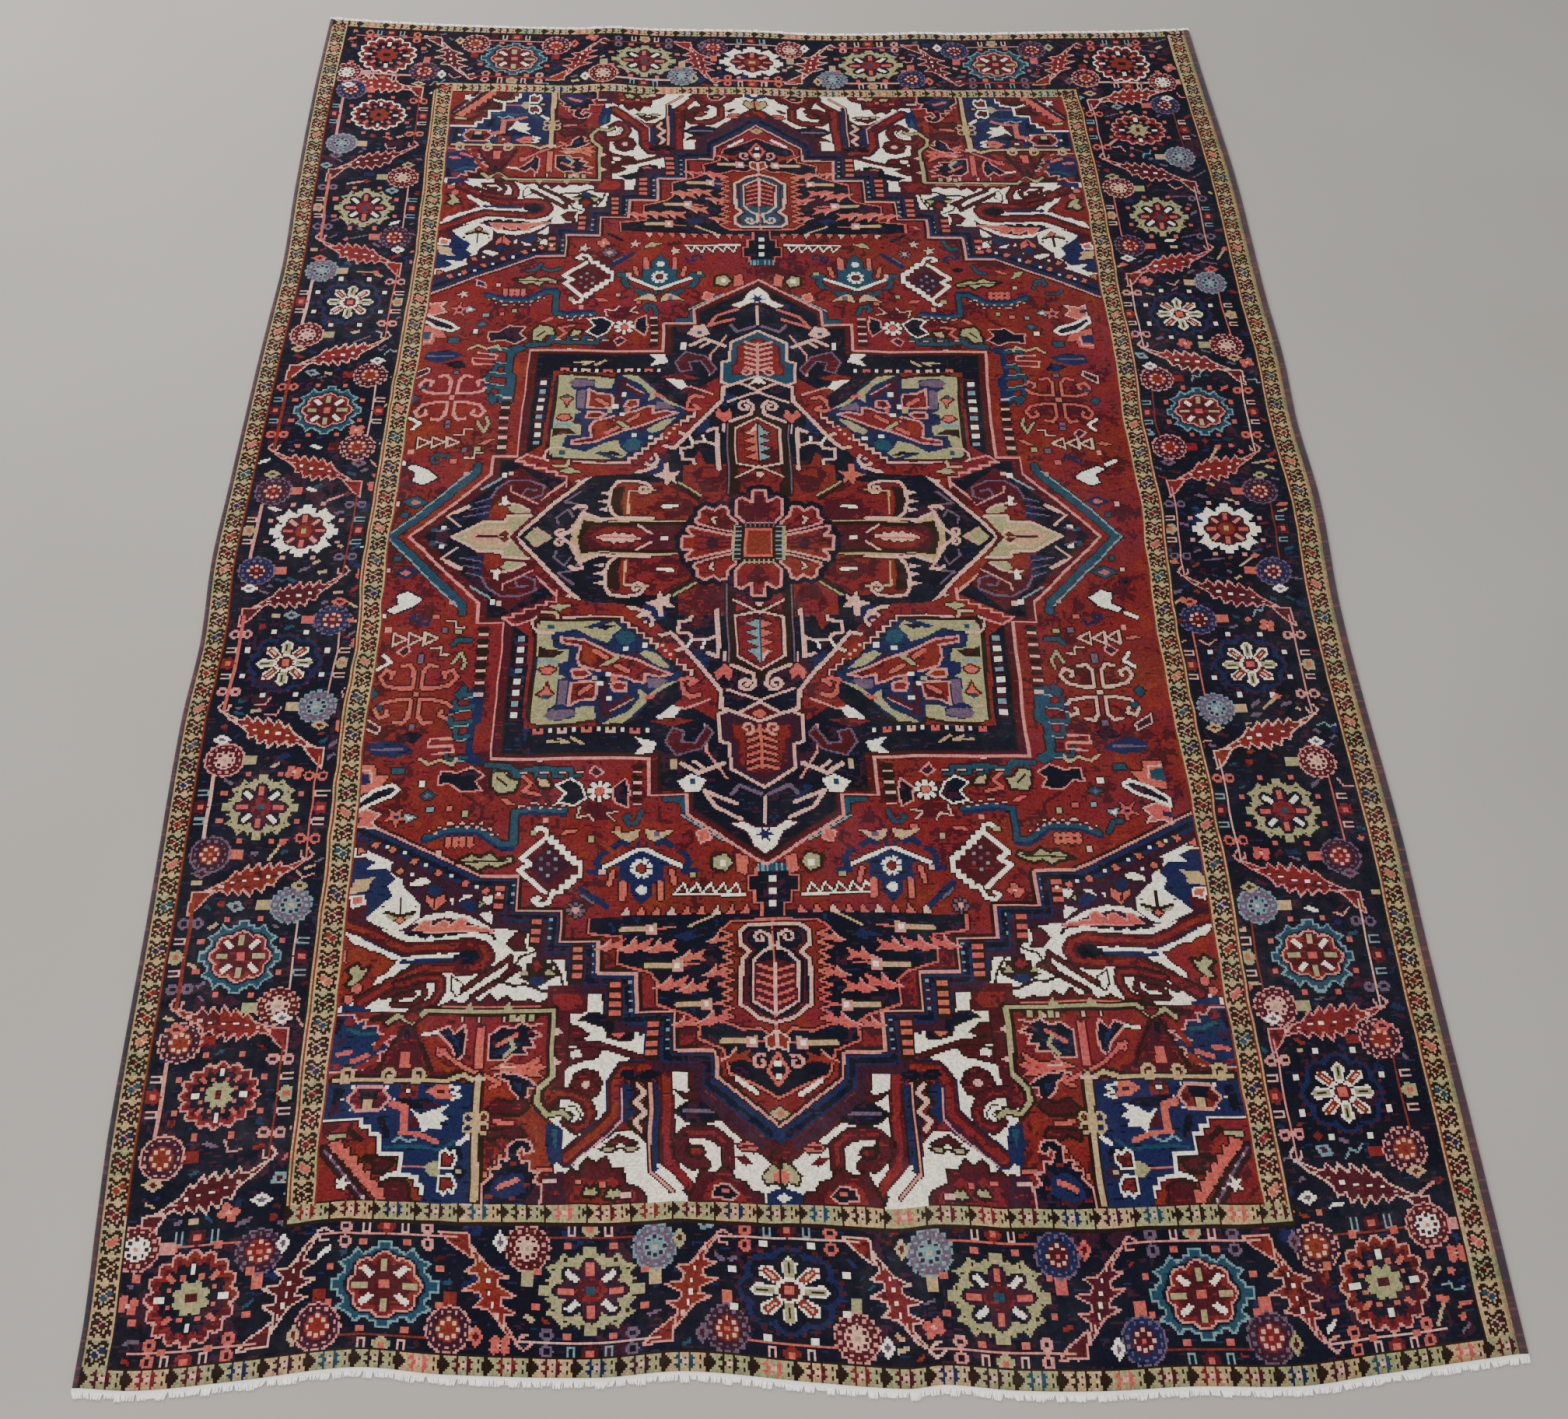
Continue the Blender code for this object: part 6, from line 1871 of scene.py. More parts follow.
    # saw-edged leaf
    leaf = [(-60.8, -81.4), (-57.8, -79.6), (-56.4, -80.2), (-54.6, -79), (-53.4, -80.4), (-50.8, -79.8),
            (-50.4, -80.8), (-53.6, -82.2), (-55, -81.6), (-56.8, -82.8), (-58.2, -81.8)]
    q.edged(leaf, SAGE, BARK)
    q.line([(-60, -81.2), (-51.6, -80.6)], BARK, 0.4)
    stepped_diamond(q.at(-44, -81.8), WINE if number % 2 else PLUM)
    moth(p.at(23.2, 78, 180), TEAL if number in (0, 1) else INDIGO, WINE)
    # what stands between the moth and the middle line
    q.edged([(-14.6, -80.2), (-12, -79.4), (-10.6, -81.4), (-12.2, -83.4), (-14.4, -82.8)], SAGE, BARK)
    q.at(-12.6, -81.6).box(0, 0, 1.3, 1.3, IVORY)
    q.fill([(-10, -79.6), (-7.8, -80.2), (-8.4, -84), (-10.2, -83)], CORAL)
    q.line([(-38.2, -86.4), (-35.8, -88.2), (-33.6, -90.4)], INDIGO, 1.2)
    q.line([(-38, -87.6), (-36, -89.2)], MAUVE, 0.5)
    squares_round(q.at(-39, -90.7), 1.2, 0.6, MAUVE, PINK)
    # blue shadow beside the medallion's foot
    q.line([(-12.6, -75.8), (-19.4, -70.6), (-19.8, -68.2), (-22.8, -68)], TEAL, 1.2)
    q.line([(-12.4, -77), (-20.2, -71.6)], SKY, 0.36)
    q.edged([(-17.2, -75.2), (-15.4, -74.4), (-14.6, -76.6), (-16.6, -77.4)], CORAL, PINK)
    q.line([(-23.8, -69.8), (-24, -72.6), (-22, -73.2)], WINE, 0.8)
    for x, y, yarn in ((-31.6, -74.2, CORAL), (-24.4, -75.6, MAUVE), (-62.4, -69.8, CORAL),
                       (-59.4, -70.8, SAGE), (-44.6, -72.4, PINK), (-47, -75, SAGE), (-65.8, -69.6, SKY),
                       (-63.8, -79.4, PEACH), (-36.6, -76.4, SAGE), (-46.4, -58.8, PEACH),
                       (-18.2, -84, SAGE), (-34.4, -83.2, PEACH)):
        q.at(x, y).box(0, 0, 1.1, 1.1, yarn)


def squares_round(p, radius, size, yarn, heart):
    for i in range(8):
        p.at(0, 0, 45 * i).box(radius, 0, size * 1.3, size, yarn)
    p.disc(0, 0, radius * 0.55, heart)


STREWN = (
    lambda p: p.line([(-2, -1), (-0.4, 0.9), (1.2, 0.7), (1.4, -0.6), (0.6, -1)], TEAL, 0.8),
    lambda p: p.fill([(-2.2, 0.2), (-0.8, 1), (0.2, 0.2), (2, 1.3), (1.4, -0.2), (2.1, -1.2),
                      (0, -0.8), (-1, -0.2)], NIGHT),
    lambda p: p.edged([(-1.8, 0), (-0.6, 0.9), (1.8, 0.3), (0.4, -0.9)], INDIGO, PINK, 0.36),
    lambda p: p.fill(leaf_outline(4.2, 1.9, 2, 0.3), SAGE),
    lambda p: p.line([(-2, -0.5), (-0.8, 0.7), (0.4, -0.5), (1.8, 0.8)], PEACH, 0.4),
    lambda p: p.fill([(-2, -0.8), (-1.2, 0.9), (-0.6, -0.1), (0.1, 0.9), (0.7, -0.1), (1.4, 0.9),
                      (2, -0.8)], WINE),
    lambda p: four_dots(p, CORAL, IVORY),
    lambda p: p.line([(-1.8, -0.9), (-1.8, 0.7), (0.2, 0.7), (0.2, -0.7), (1.7, -0.7), (1.7, 0.8)],
                     INDIGO, 0.66),
    lambda p: p.fill([(-1.6, -0.5), (0.8, -0.4), (1.8, 0.5), (-0.6, 0.4)], CORAL),
    lambda p: p.edged([(-1.4, -0.9), (1.2, -0.9), (0.8, 0.9), (-1, 0.7)], PLUM, PINK, 0.36),
    lambda p: p.line([(-1.9, 0.2), (1.9, -0.2)], NIGHT, 0.9),
    lambda p: p.fill(star(1.5, 0.6, 5), PEACH),
    lambda p: p.line([(-1.7, 0.8), (0.2, -0.8), (1.8, -0.4)], TEAL, 0.9),
    lambda p: p.diamond(0, 0, 3.2, 1.9, NIGHT),
)


STREW_TRIES = 2600


def four_dots(p, petals, eye):
    for x, y in ((-0.7, 0.6), (0.7, 0.6), (-0.7, -0.6), (0.7, -0.6)):
        p.disc(x, y, 0.66, petals)
    p.box(0, 0, 0.5, 0.5, eye)


def strew(pens, tries, seed):
    """Small figures wherever the red ground is still bare, alike in all four quarters."""
    draw = np.random.default_rng(seed)
    for i in range(tries):
        x, y = draw.uniform(14, 77), draw.uniform(1, 100)
        turn = draw.choice((-40, -20, 0, 20, 40, 90))
        room = 2.5 if i < tries * 0.6 else 1.9
        for pen in pens:
            place = pen.at(x, y, turn)
            if place.bare(room, room * 0.72, RED, 0.985):
                STREWN[i % len(STREWN)](place)


def medallion_pen(knots):
    """The pen in the middle of the medallion, which is a little narrower than the chart's centimetres."""
    return Pen(knots, right=(0.975, 0)).at(-4.6, -4.5)


def draw_ground(knots):
    """What stands on the red field; the pens of its ends mirror the front left corner to all four."""
    ends = (
        Pen(knots, (0, 0), (0.985, 0), (0, 1)),
        Pen(knots, (-7.254, 0), (-1.03, 0), (0, 1)),
        Pen(knots, (0, -6.2), (0.985, 0), (0, -1.03)),
        Pen(knots, (-7.254, -6.2), (-1.03, 0), (0, -1.03)),
    )
    for pen in ends:
        spandrel(pen)
        corner_panel(pen)
    for pen in ends:
        stepped_band(pen)
        pendant(pen, pen.up[1] < 0)
    for number, pen in enumerate(medallion_pen(knots).quarters()):
        side_field(pen, number)
        ring(pen, number)


def fill_ring(knots):
    """The last small things on the red round the medallion."""
    strew(medallion_pen(knots).quarters(), STREW_TRIES, 31)


def next_to(mask):
    """The knots that touch a masked knot across an edge."""
    near = np.zeros_like(mask)
    near[1:] |= mask[:-1]
    near[:-1] |= mask[1:]
    near[:, 1:] |= mask[:, :-1]
    near[:, :-1] |= mask[:, 1:]
    return near


def soft_noise(shape, step, seed, lowest=0.0):
    """Smooth numbers from lowest to 1 that wander every so many cells, the same each run."""
    coarse = np.random.default_rng(seed).uniform(lowest, 1, (shape[0] // step + 3, shape[1] // step + 3))
    down = np.linspace(0, coarse.shape[0] - 1.001, shape[0])
    over = np.linspace(0, coarse.shape[1] - 1.001, shape[1])
    i, j = down.astype(int)[:, None], over.astype(int)[None, :]
    s, t = down[:, None] - i, over[None, :] - j
    s, t = s * s * (3 - 2 * s), t * t * (3 - 2 * t)
    low = coarse[i, j] * (1 - t) + coarse[i, j + 1] * t
    return low * (1 - s) + (coarse[i + 1, j] * (1 - t) + coarse[i + 1, j + 1] * t) * s


def dark_outlines(knots, inside):
    """Every figure on the red is rimmed with one darker knot, as weavers do."""
    red = (knots == RED) & inside
    figures = ~np.isin(knots, (RED, WINE, PLUM, BRICK, NIGHT, INDIGO, PINK))
    rim = red & next_to(figures)
    knots[rim] = np.where(soft_noise(knots.shape, 24, 5)[rim] > 0.66, WINE, BARK)


def flecks(knots, ground, yarn, share, seed, longest=5):
    """Short rows of a neighbouring shade in a plain patch."""
    draw = np.random.default_rng(seed)
    count = int(share * knots.size / (longest * 0.6))
    rows = draw.integers(0, KNOTS_ALONG, count)
    columns = draw.integers(0, KNOTS_ACROSS - longest, count)
    lengths = draw.integers(1, longest + 1, count)
    for row, column, length in zip(rows, columns, lengths):
        run = knots[row, column:column + length]
        run[run == ground] = yarn


FLECKS = (                     # in which yarn, of which yarn, share of the knots, seed
    (RED, WINE, 0.03, 21), (RED, BRICK, 0.04, 22), (NIGHT, PLUM, 0.03, 23), (NIGHT, INDIGO, 0.015, 24),
    (WINE, RED, 0.04, 25), (INDIGO, NIGHT, 0.04, 26), (CAMEL, PEACH, 0.03, 27), (SAGE, CAMEL, 0.04, 28),
)


def mottle(knots):
    """The dyer's unevenness: darker and brighter clouds within a colour."""
    cloud = 0.6 * soft_noise(knots.shape, 22, 7) + 0.4 * soft_noise(knots.shape, 6, 8)
    fine = soft_noise(knots.shape, 2, 9)
    red = knots == RED
    knots[red & (cloud + 0.35 * fine < 0.50)] = WINE
    knots[red & (cloud + 0.25 * fine > 0.86)] = BRICK
    night = knots == NIGHT
    knots[night & (cloud + 0.35 * fine < 0.43)] = PLUM
    knots[night & (cloud + 0.25 * fine > 0.98)] = INDIGO
    for ground, yarn, share, seed in FLECKS:
        flecks(knots, ground, yarn, share, seed)


def weave():
    """The whole chart: one number of a yarn for each knot, the front row first."""
    knots = np.full((KNOTS_ALONG, KNOTS_ACROSS), NIGHT, np.uint8)
    pen = Pen(knots)
    draw_border(pen)
    border = knots.copy()
    field = corners(FIELD_LEFT, FIELD_RIGHT, FIELD_FRONT, FIELD_BACK)
    inside = np.zeros_like(knots)
    Pen(inside).fill(field, 1)
    pen.fill(field, RED)
    draw_ground(knots)
    medallion(medallion_pen(knots))
    fill_ring(knots)
    knots[inside == 0] = border[inside == 0]
    dark_outlines(knots, inside == 1)
    mottle(knots)
    return knots


# ----------------------------------------------------------------- mesh helpers
def piece_from(builder, name, material):
    """A finished mesh as a piece of the rug, riding on it."""
    mesh = bpy.data.meshes.new(name)
    builder.to_mesh(mesh)
    builder.free()
    return dressed(bpy.data.objects.new(name, mesh), material)


def dressed(piece, material):
    piece.data.materials.append(material)
    piece.data.polygons.foreach_set("use_smooth", np.ones(len(piece.data.polygons), bool))
    bpy.context.scene.collection.objects.link(piece)
    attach(piece, "root")
    return piece


def points_of(mesh):
    flat = np.zeros(len(mesh.vertices) * 3)
    mesh.vertices.foreach_get("co", flat)
    return flat.reshape(-1, 3)


def lay_map(mesh, name, across, along):
    """A UV map from two numbers for each vertex; returns the vertex of each face corner."""
    corner = np.zeros(len(mesh.loops), int)
    mesh.loops.foreach_get("vertex_index", corner)
    layer = mesh.uv_layers.new(name=name)
    layer.data.foreach_set("uv", np.stack([across[corner], along[corner]], axis=1).ravel())
    return corner


def uneven(shape, step, seed):
    """Soft noise from -1 to 1, for the lines of a grid."""
    return soft_noise(shape, step, seed, -1.0)


# -------------------------------------------------------------------- the pieces
BEND_FROM = 0.9                # m from the middle, where the lines across start to follow an end's edge
BEND_POWER = 1.6
WRAPS = 760                    # turns of the wrapping yarn along an edge
LOOPS_A_WRAP = 3
CORD_SIDES = 14
WEB_RIBS = 560
LOCK_YARNS = 11                # yarns in each lock of warp ends


def along_cloth(v):
    """y of shares along the straight chart, and how far each end's edge bends the line there."""
    y = (PILE_FRONT + (PILE_BACK - PILE_FRONT) * v) / 100
    near = np.clip((-y - BEND_FROM) / (HALF_LENGTH - BEND_FROM), 0, 1) ** BEND_POWER
    far = np.clip((y - BEND_FROM) / (PILE_BACK / 100 - BEND_FROM), 0, 1) ** BEND_POWER
    return y, near, far


def cloth_place(u, v):
    """x, y of the cloth at shares across and along it (arrays), before the shift."""
    straight_y = HALF_LENGTH * (2 * v - 1)
    low = np.array([left_at(y) for y in straight_y]) + SELVEDGE_LEFT + GAP
    high = np.array([right_at(y) for y in straight_y]) - SELVEDGE_RIGHT - GAP
    x = low[:, None] + (high - low)[:, None] * u[None, :]
    straight_x = HALF_WIDTH * (2 * u - 1)
    front = np.array([front_at(a) for a in straight_x]) - PILE_FRONT / 100
    back = np.array([back_at(a) for a in straight_x]) - PILE_BACK / 100
    chart_y, near, far = along_cloth(v[:, None])
    y = chart_y + near * front[None, :] + far * back[None, :]
    return x, y


def make_carpet(knots, material):
    """The pile: a fine grid, one face for each 4 x 4 knots, extruded to a slab."""
    cloth = bmesh.new()
    bmesh.ops.create_grid(cloth, x_segments=CELLS_ACROSS, y_segments=CELLS_ALONG, size=1.0)
    raised = bmesh.ops.extrude_face_region(cloth, geom=cloth.faces[:])["geom"]
    bmesh.ops.translate(cloth, vec=(0, 0, 1),
                        verts=[g for g in raised if isinstance(g, bmesh.types.BMVert)])
    bmesh.ops.recalc_face_normals(cloth, faces=cloth.faces[:])
    carpet = piece_from(cloth, "knotted_pile", material)
    mesh = carpet.data
    flat = points_of(mesh)
    column = np.rint((flat[:, 0] + 1) / 2 * CELLS_ACROSS).astype(int)
    row = np.rint((flat[:, 1] + 1) / 2 * CELLS_ALONG).astype(int)
    top = flat[:, 2] > 0.5

    u = np.arange(CELLS_ACROSS + 1) / CELLS_ACROSS
    v = np.arange(CELLS_ALONG + 1) / CELLS_ALONG
    x, y = cloth_place(u, v)
    # the weaver's unevenness: lines wander by a millimetre or two, but not at the rim
    inside = np.minimum(1, np.minimum(np.minimum(u, 1 - u)[None, :] * 24,
                                      np.minimum(v, 1 - v)[:, None] * 36))
    x += (0.0022 * uneven(x.shape, 7, 11) + 0.0016 * uneven(x.shape, 3, 12)) * inside
    y += (0.0026 * uneven(x.shape, 9, 13) + 0.0014 * uneven(x.shape, 3, 14)) * inside
    under = lift_at(x, y)
    relief = 0.0005 * uneven(x.shape, 12, 15) + 0.0003 * uneven(x.shape, 4, 16)
    over = under + THICKNESS + relief * inside
    rim = np.zeros_like(x, bool)
    rim[[0, -1], :] = rim[:, [0, -1]] = True
    over[rim] -= ROUND_DROP
    height = np.where(top, over[row, column], under[row, column])
    places = np.stack([x[row, column], y[row, column], height], axis=1) + SHIFT
    mesh.vertices.foreach_set("co", places.ravel())

    corner = lay_map(mesh, "weave", column / CELLS_ACROSS, row / CELLS_ALONG)

    # each face carries its knots: a number for each of its four rows, with a digit for each knot
    start = np.zeros(len(mesh.polygons), int)
    count = np.zeros(len(mesh.polygons), int)
    mesh.polygons.foreach_get("loop_start", start)
    mesh.polygons.foreach_get("loop_total", count)
    first = np.minimum.reduceat(column[corner], start).clip(0, CELLS_ACROSS - 1)
    lowest = np.minimum.reduceat(row[corner], start).clip(0, CELLS_ALONG - 1)
    cells = knots.reshape(CELLS_ALONG, BLOCK, CELLS_ACROSS, BLOCK).transpose(0, 2, 1, 3).astype(np.int64)
    packed = (cells * YARN_ROOM ** np.arange(BLOCK)).sum(axis=3)
    chart = mesh.attributes.new("chart", "FLOAT_COLOR", "FACE")
    chart.data.foreach_set("color", packed[lowest, first].astype(np.float32).ravel())
    mesh.update()
    return carpet


def make_selvedge(name, edge_at, side, width, material):
    """Overcast edge: a tube on the CAD's profile, wrapped with yarn."""
    outline = np.array(SELVEDGE_PROFILE + SELVEDGE_PROFILE[:1])
    reach = np.concatenate([[0], np.cumsum(np.hypot(*np.diff(outline, axis=0).T))])
    cord = bmesh.new()
    bmesh.ops.create_grid(cord, x_segments=CORD_SIDES, y_segments=WRAPS * LOOPS_A_WRAP, size=1.0)
    piece = piece_from(cord, name, material)
    mesh = piece.data
    flat = points_of(mesh)
    turn = (flat[:, 0] + 1) / 2
    share = (flat[:, 1] + 1) / 2
    spot = turn * reach[-1]
    out = np.interp(spot, reach, outline[:, 0])
    high = np.interp(spot, reach, outline[:, 1])
    straight_y = HALF_LENGTH * (2 * share - 1)
    stations = np.linspace(-HALF_LENGTH, HALF_LENGTH, 400)
    edge = np.interp(straight_y, stations, [edge_at(y) for y in stations])
    chart_y, near, far = along_cloth(share)
    to_front = front_at(side * HALF_WIDTH) - PILE_FRONT / 100
    to_back = back_at(side * HALF_WIDTH) - PILE_BACK / 100
    y = chart_y + near * to_front + far * to_back
    # the wrapping yarn stands out between its grooves, and leans
    groove = np.abs(np.sin(math.pi * (share * WRAPS + 0.5 * turn)))
    swell = 0.93 + 0.07 * groove + 0.02 * np.sin(share * 173.0) * np.sin(share * 71.0)
    out = 0.5 + (out - 0.5) * swell
    high = np.maximum(high * swell, 0.0)
    inner = edge - side * width
    places = np.stack([inner + side * width * out, y, high * SELVEDGE_HEIGHT], axis=1) + SHIFT
    mesh.vertices.foreach_set("co", places.ravel())
    lay_map(mesh, "wrap", turn, share * WRAPS)
    closed = bmesh.new()
    closed.from_mesh(mesh)
    bmesh.ops.remove_doubles(closed, verts=closed.verts[:], dist=1e-6)
    bmesh.ops.holes_fill(closed, edges=[e for e in closed.edges if e.is_boundary], sides=CORD_SIDES + 2)
    bmesh.ops.recalc_face_normals(closed, faces=closed.faces[:])
    closed.to_mesh(mesh)
    closed.free()
    return piece


def strand_numbers(index, phase):
    """A fixed, uneven share 0..1 for the length and -1..1 for the lean."""
    length = 0.5 + 0.5 * math.sin(index * 2.399 + phase) * math.cos(index * 0.71 + phase)
    return length, math.sin(index * 1.713 + 2 * phase) * math.cos(index * 0.37)


def make_fringe(name, v, outward, phase, material):
    """Woven web with its warp ends: each lock of the CAD is a row of thin yarns."""
    shortest, longest = STRAND_LENGTHS[name.replace("warp_ends", "fringe")]
    u = np.linspace(0, 1, 240)
    xs, ys = cloth_place(u, np.array([v]))
    straight_y = HALF_LENGTH * (2 * v - 1)
    line_x = np.concatenate([[left_at(straight_y)], xs[0], [right_at(straight_y)]])
    line_y = np.concatenate([[ys[0, 0]], ys[0], [ys[0, -1]]])
    low, high = line_x[0], line_x[-1]
    pitch = (high - low) / STRANDS
    seeded = np.random.default_rng(int(phase * 100))
    comb = bmesh.new()

    # the web, a narrow closed strip with a low rib for each weft
    bmesh.ops.create_grid(comb, x_segments=WEB_RIBS, y_segments=4, size=1.0)
    sole = comb.faces[:]
    raised = bmesh.ops.extrude_face_region(comb, geom=sole)["geom"]
    lifted = {g for g in raised if isinstance(g, bmesh.types.BMVert)}
    for vertex in comb.verts:
        across = (vertex.co.x + 1) / 2
        over = (vertex.co.y + 1) / 2
        x = low + (high - low) * across
        y = np.interp(x, line_x, line_y) + outward * (GAP + WEB_WIDTH * over)
        rib = 0.80 + 0.20 * abs(math.sin(across * WEB_RIBS * math.pi / 2 + over * 6))
        height = WEB_HEIGHT * rib if vertex in lifted else 0.0
        vertex.co = (x, y, height)

    # one yarn, from (0, 0) to (0, 1), used again for every warp end
    yarn = bmesh.new()
    bmesh.ops.create_cone(yarn, cap_ends=True, segments=5, radius1=0.5, radius2=0.36, depth=1.0)
    for cut in (0.18, -0.18):
        everything = yarn.verts[:] + yarn.edges[:] + yarn.faces[:]
        bmesh.ops.bisect_plane(yarn, geom=everything, plane_co=(0, 0, cut), plane_no=(0, 0, 1))
    pattern = bpy.data.meshes.new("one_yarn")
    yarn.to_mesh(pattern)
    yarn.free()
    for index in range(STRANDS):
        length_share, lean = strand_numbers(index, phase)
        middle = low + pitch * (index + 0.5)
        for number in range(LOCK_YARNS):
            offset = (number - LOCK_YARNS // 2) / 5.6
            root_x = middle + offset * pitch / 2
            tip_x = middle + lean * STRAND_SWAY + offset * pitch * 0.42 + seeded.uniform(-0.0012, 0.0012)
            root_y = np.interp(root_x, line_x, line_y) + outward * (GAP + WEB_WIDTH * 0.9)
            length = (shortest + (longest - shortest) * length_share) * seeded.uniform(0.95, 1.15)
            thick = seeded.uniform(0.0018, 0.0026)
            bow = seeded.uniform(-0.0009, 0.0009)
            first = len(comb.verts)
            comb.from_mesh(pattern)
            comb.verts.ensure_lookup_table()
            for vertex in comb.verts[first:]:
                t = vertex.co.z + 0.5
                x = root_x + (tip_x - root_x) * t + bow * math.sin(t * math.pi) + vertex.co.x * thick
                height = (WEB_HEIGHT * 0.55 * (1 - t) + TIP_HEIGHT * 0.5 * t) + vertex.co.y * thick
                vertex.co = (x, root_y + outward * length * t, max(height, 0.0))
    bpy.data.meshes.remove(pattern)
    bmesh.ops.recalc_face_normals(comb, faces=comb.faces[:])
    bmesh.ops.translate(comb, vec=SHIFT, verts=comb.verts[:])
    return piece_from(comb, name, material)


# ------------------------------------------------------------------- the finishes
GREY = (0.5, 0.5, 0.5, 1)      # what a group's colour input holds until it is fed


def linear(colour):
    """sRGB 0..255 as the light values a shader wants."""
    c = np.array(colour, float) / 255
    return (*np.where(c <= 0.04045, c / 12.92, ((c + 0.055) / 1.055) ** 2.4), 1.0)


class Bench:
    """Adds nodes to a material or group, and wires them by the names of their sockets."""

    def __init__(self, tree):
        self.tree = tree

    def add(self, kind, inputs=(), **settings):
        node = self.tree.nodes.new("ShaderNode" + kind)
        for name, value in settings.items():
            setattr(node, name, value)
        for key, value in dict(inputs).items():
            self.feed(value, node.inputs[key])
        return node

    def feed(self, value, socket):
        """Wire another node's output to a socket, or set it to a plain value."""
        if isinstance(value, bpy.types.NodeSocket):
            self.tree.links.new(value, socket)
        else:
            socket.default_value = value

    def use(self, tree, inputs):
        """A node group's outputs, with its inputs fed by name."""
        node = self.tree.nodes.new("ShaderNodeGroup")
        node.node_tree = tree
        for key, value in inputs.items():
            self.feed(value, node.inputs[key])
        return node.outputs

    def math(self, operation, *values, clamp=False):
        return self.add("Math", enumerate(values), operation=operation, use_clamp=clamp).outputs[0]

    def mix(self, share, a, b, blend="MIX"):
        """Mix two colours; the numbers are the colour sockets of the node."""
        node = self.add("Mix", {0: share}, data_type="RGBA", blend_type=blend)
        self.feed(a, node.inputs[6])
        self.feed(b, node.inputs[7])
        return node.outputs[2]

    def grey(self, level):
        """The same number on all three colours."""
        return self.add("CombineColor", {0: level, 1: level, 2: level}).outputs[0]

    def bands(self, place, scale):
        """Places drawn out along one way, for a noise that runs in bands."""
        return self.add("Mapping", {0: place, "Scale": scale}).outputs[0]

    def noise(self, place, scale, detail=2.0, rough=0.5):
        inputs = {"Vector": place, "Scale": scale, "Detail": detail, "Roughness": rough}
        return self.add("TexNoise", inputs).outputs["Fac"]

    def spread(self, value, low, high, to_low=0.0, to_high=1.0):
        inputs = {"Value": value, "From Min": low, "From Max": high, "To Min": to_low, "To Max": to_high}
        return self.add("MapRange", inputs).outputs[0]


def group(name, inputs, outputs):
    """A new node group with named sockets; returns it with its bench and its inner ends."""
    tree = bpy.data.node_groups.new(name, "ShaderNodeTree")
    for label, kind, value in inputs:
        socket = tree.interface.new_socket(label, in_out="INPUT", socket_type="NodeSocket" + kind)
        if value is not None:
            socket.default_value = value
    for label, kind in outputs:
        tree.interface.new_socket(label, in_out="OUTPUT", socket_type="NodeSocket" + kind)
    bench = Bench(tree)
    return tree, bench, tree.nodes.new("NodeGroupInput").outputs, tree.nodes.new("NodeGroupOutput").inputs


def yarn_group():
    """Spun yarn: fine fibres that vary its shade and its height."""
    tree, b, given, out = group(
        "spun_yarn",
        [("Colour", "Color", GREY), ("Place", "Vector", None), ("Fibre scale", "Float", 900.0),
         ("Shade spread", "Float", 0.2)],
        [("Colour", "Color"), ("Height", "Float")])
    fibres = b.noise(given["Place"], given["Fibre scale"], 3.0, 0.65)
    clumps = b.noise(given["Place"], b.math("MULTIPLY", given["Fibre scale"], 0.22), 2.0)
    both = b.math("ADD", b.math("MULTIPLY", fibres, 0.6), b.math("MULTIPLY", clumps, 0.4))
    swing = b.math("MULTIPLY_ADD", b.math("SUBTRACT", both, 0.5),
                   b.math("MULTIPLY", given["Shade spread"], 3.0), 1.0)
    b.feed(b.mix(1.0, given["Colour"], b.grey(swing), "MULTIPLY"), out["Colour"])
    b.feed(both, out["Height"])
    return tree


def wear_group():
    """Age: patches that are rubbed lighter, and a thin even dust."""
    tree, b, given, out = group("age", [("Colour", "Color", GREY), ("Place", "Vector", None),
                                        ("Wear", "Float", 0.3), ("Dust", "Float", 0.04)],
                                [("Colour", "Color"), ("Wear", "Float")])
    broad = b.noise(given["Place"], 2.6, 4.0, 0.6)
    small = b.noise(given["Place"], 38.0, 3.0, 0.6)
    worn = b.math("MULTIPLY", b.spread(broad, 0.42, 0.72), b.spread(small, 0.30, 0.75))
    worn = b.math("MULTIPLY", worn, given["Wear"])
    lighter = b.mix(1.0, given["Colour"], (0.035, 0.03, 0.028, 1.0), "ADD")
    rubbed = b.mix(worn, given["Colour"], b.mix(1.0, lighter, (1.35, 1.32, 1.3, 1.0), "MULTIPLY"))
    b.feed(b.mix(given["Dust"], rubbed, linear((150, 138, 124))), out["Colour"])
    b.feed(worn, out["Wear"])
    return tree


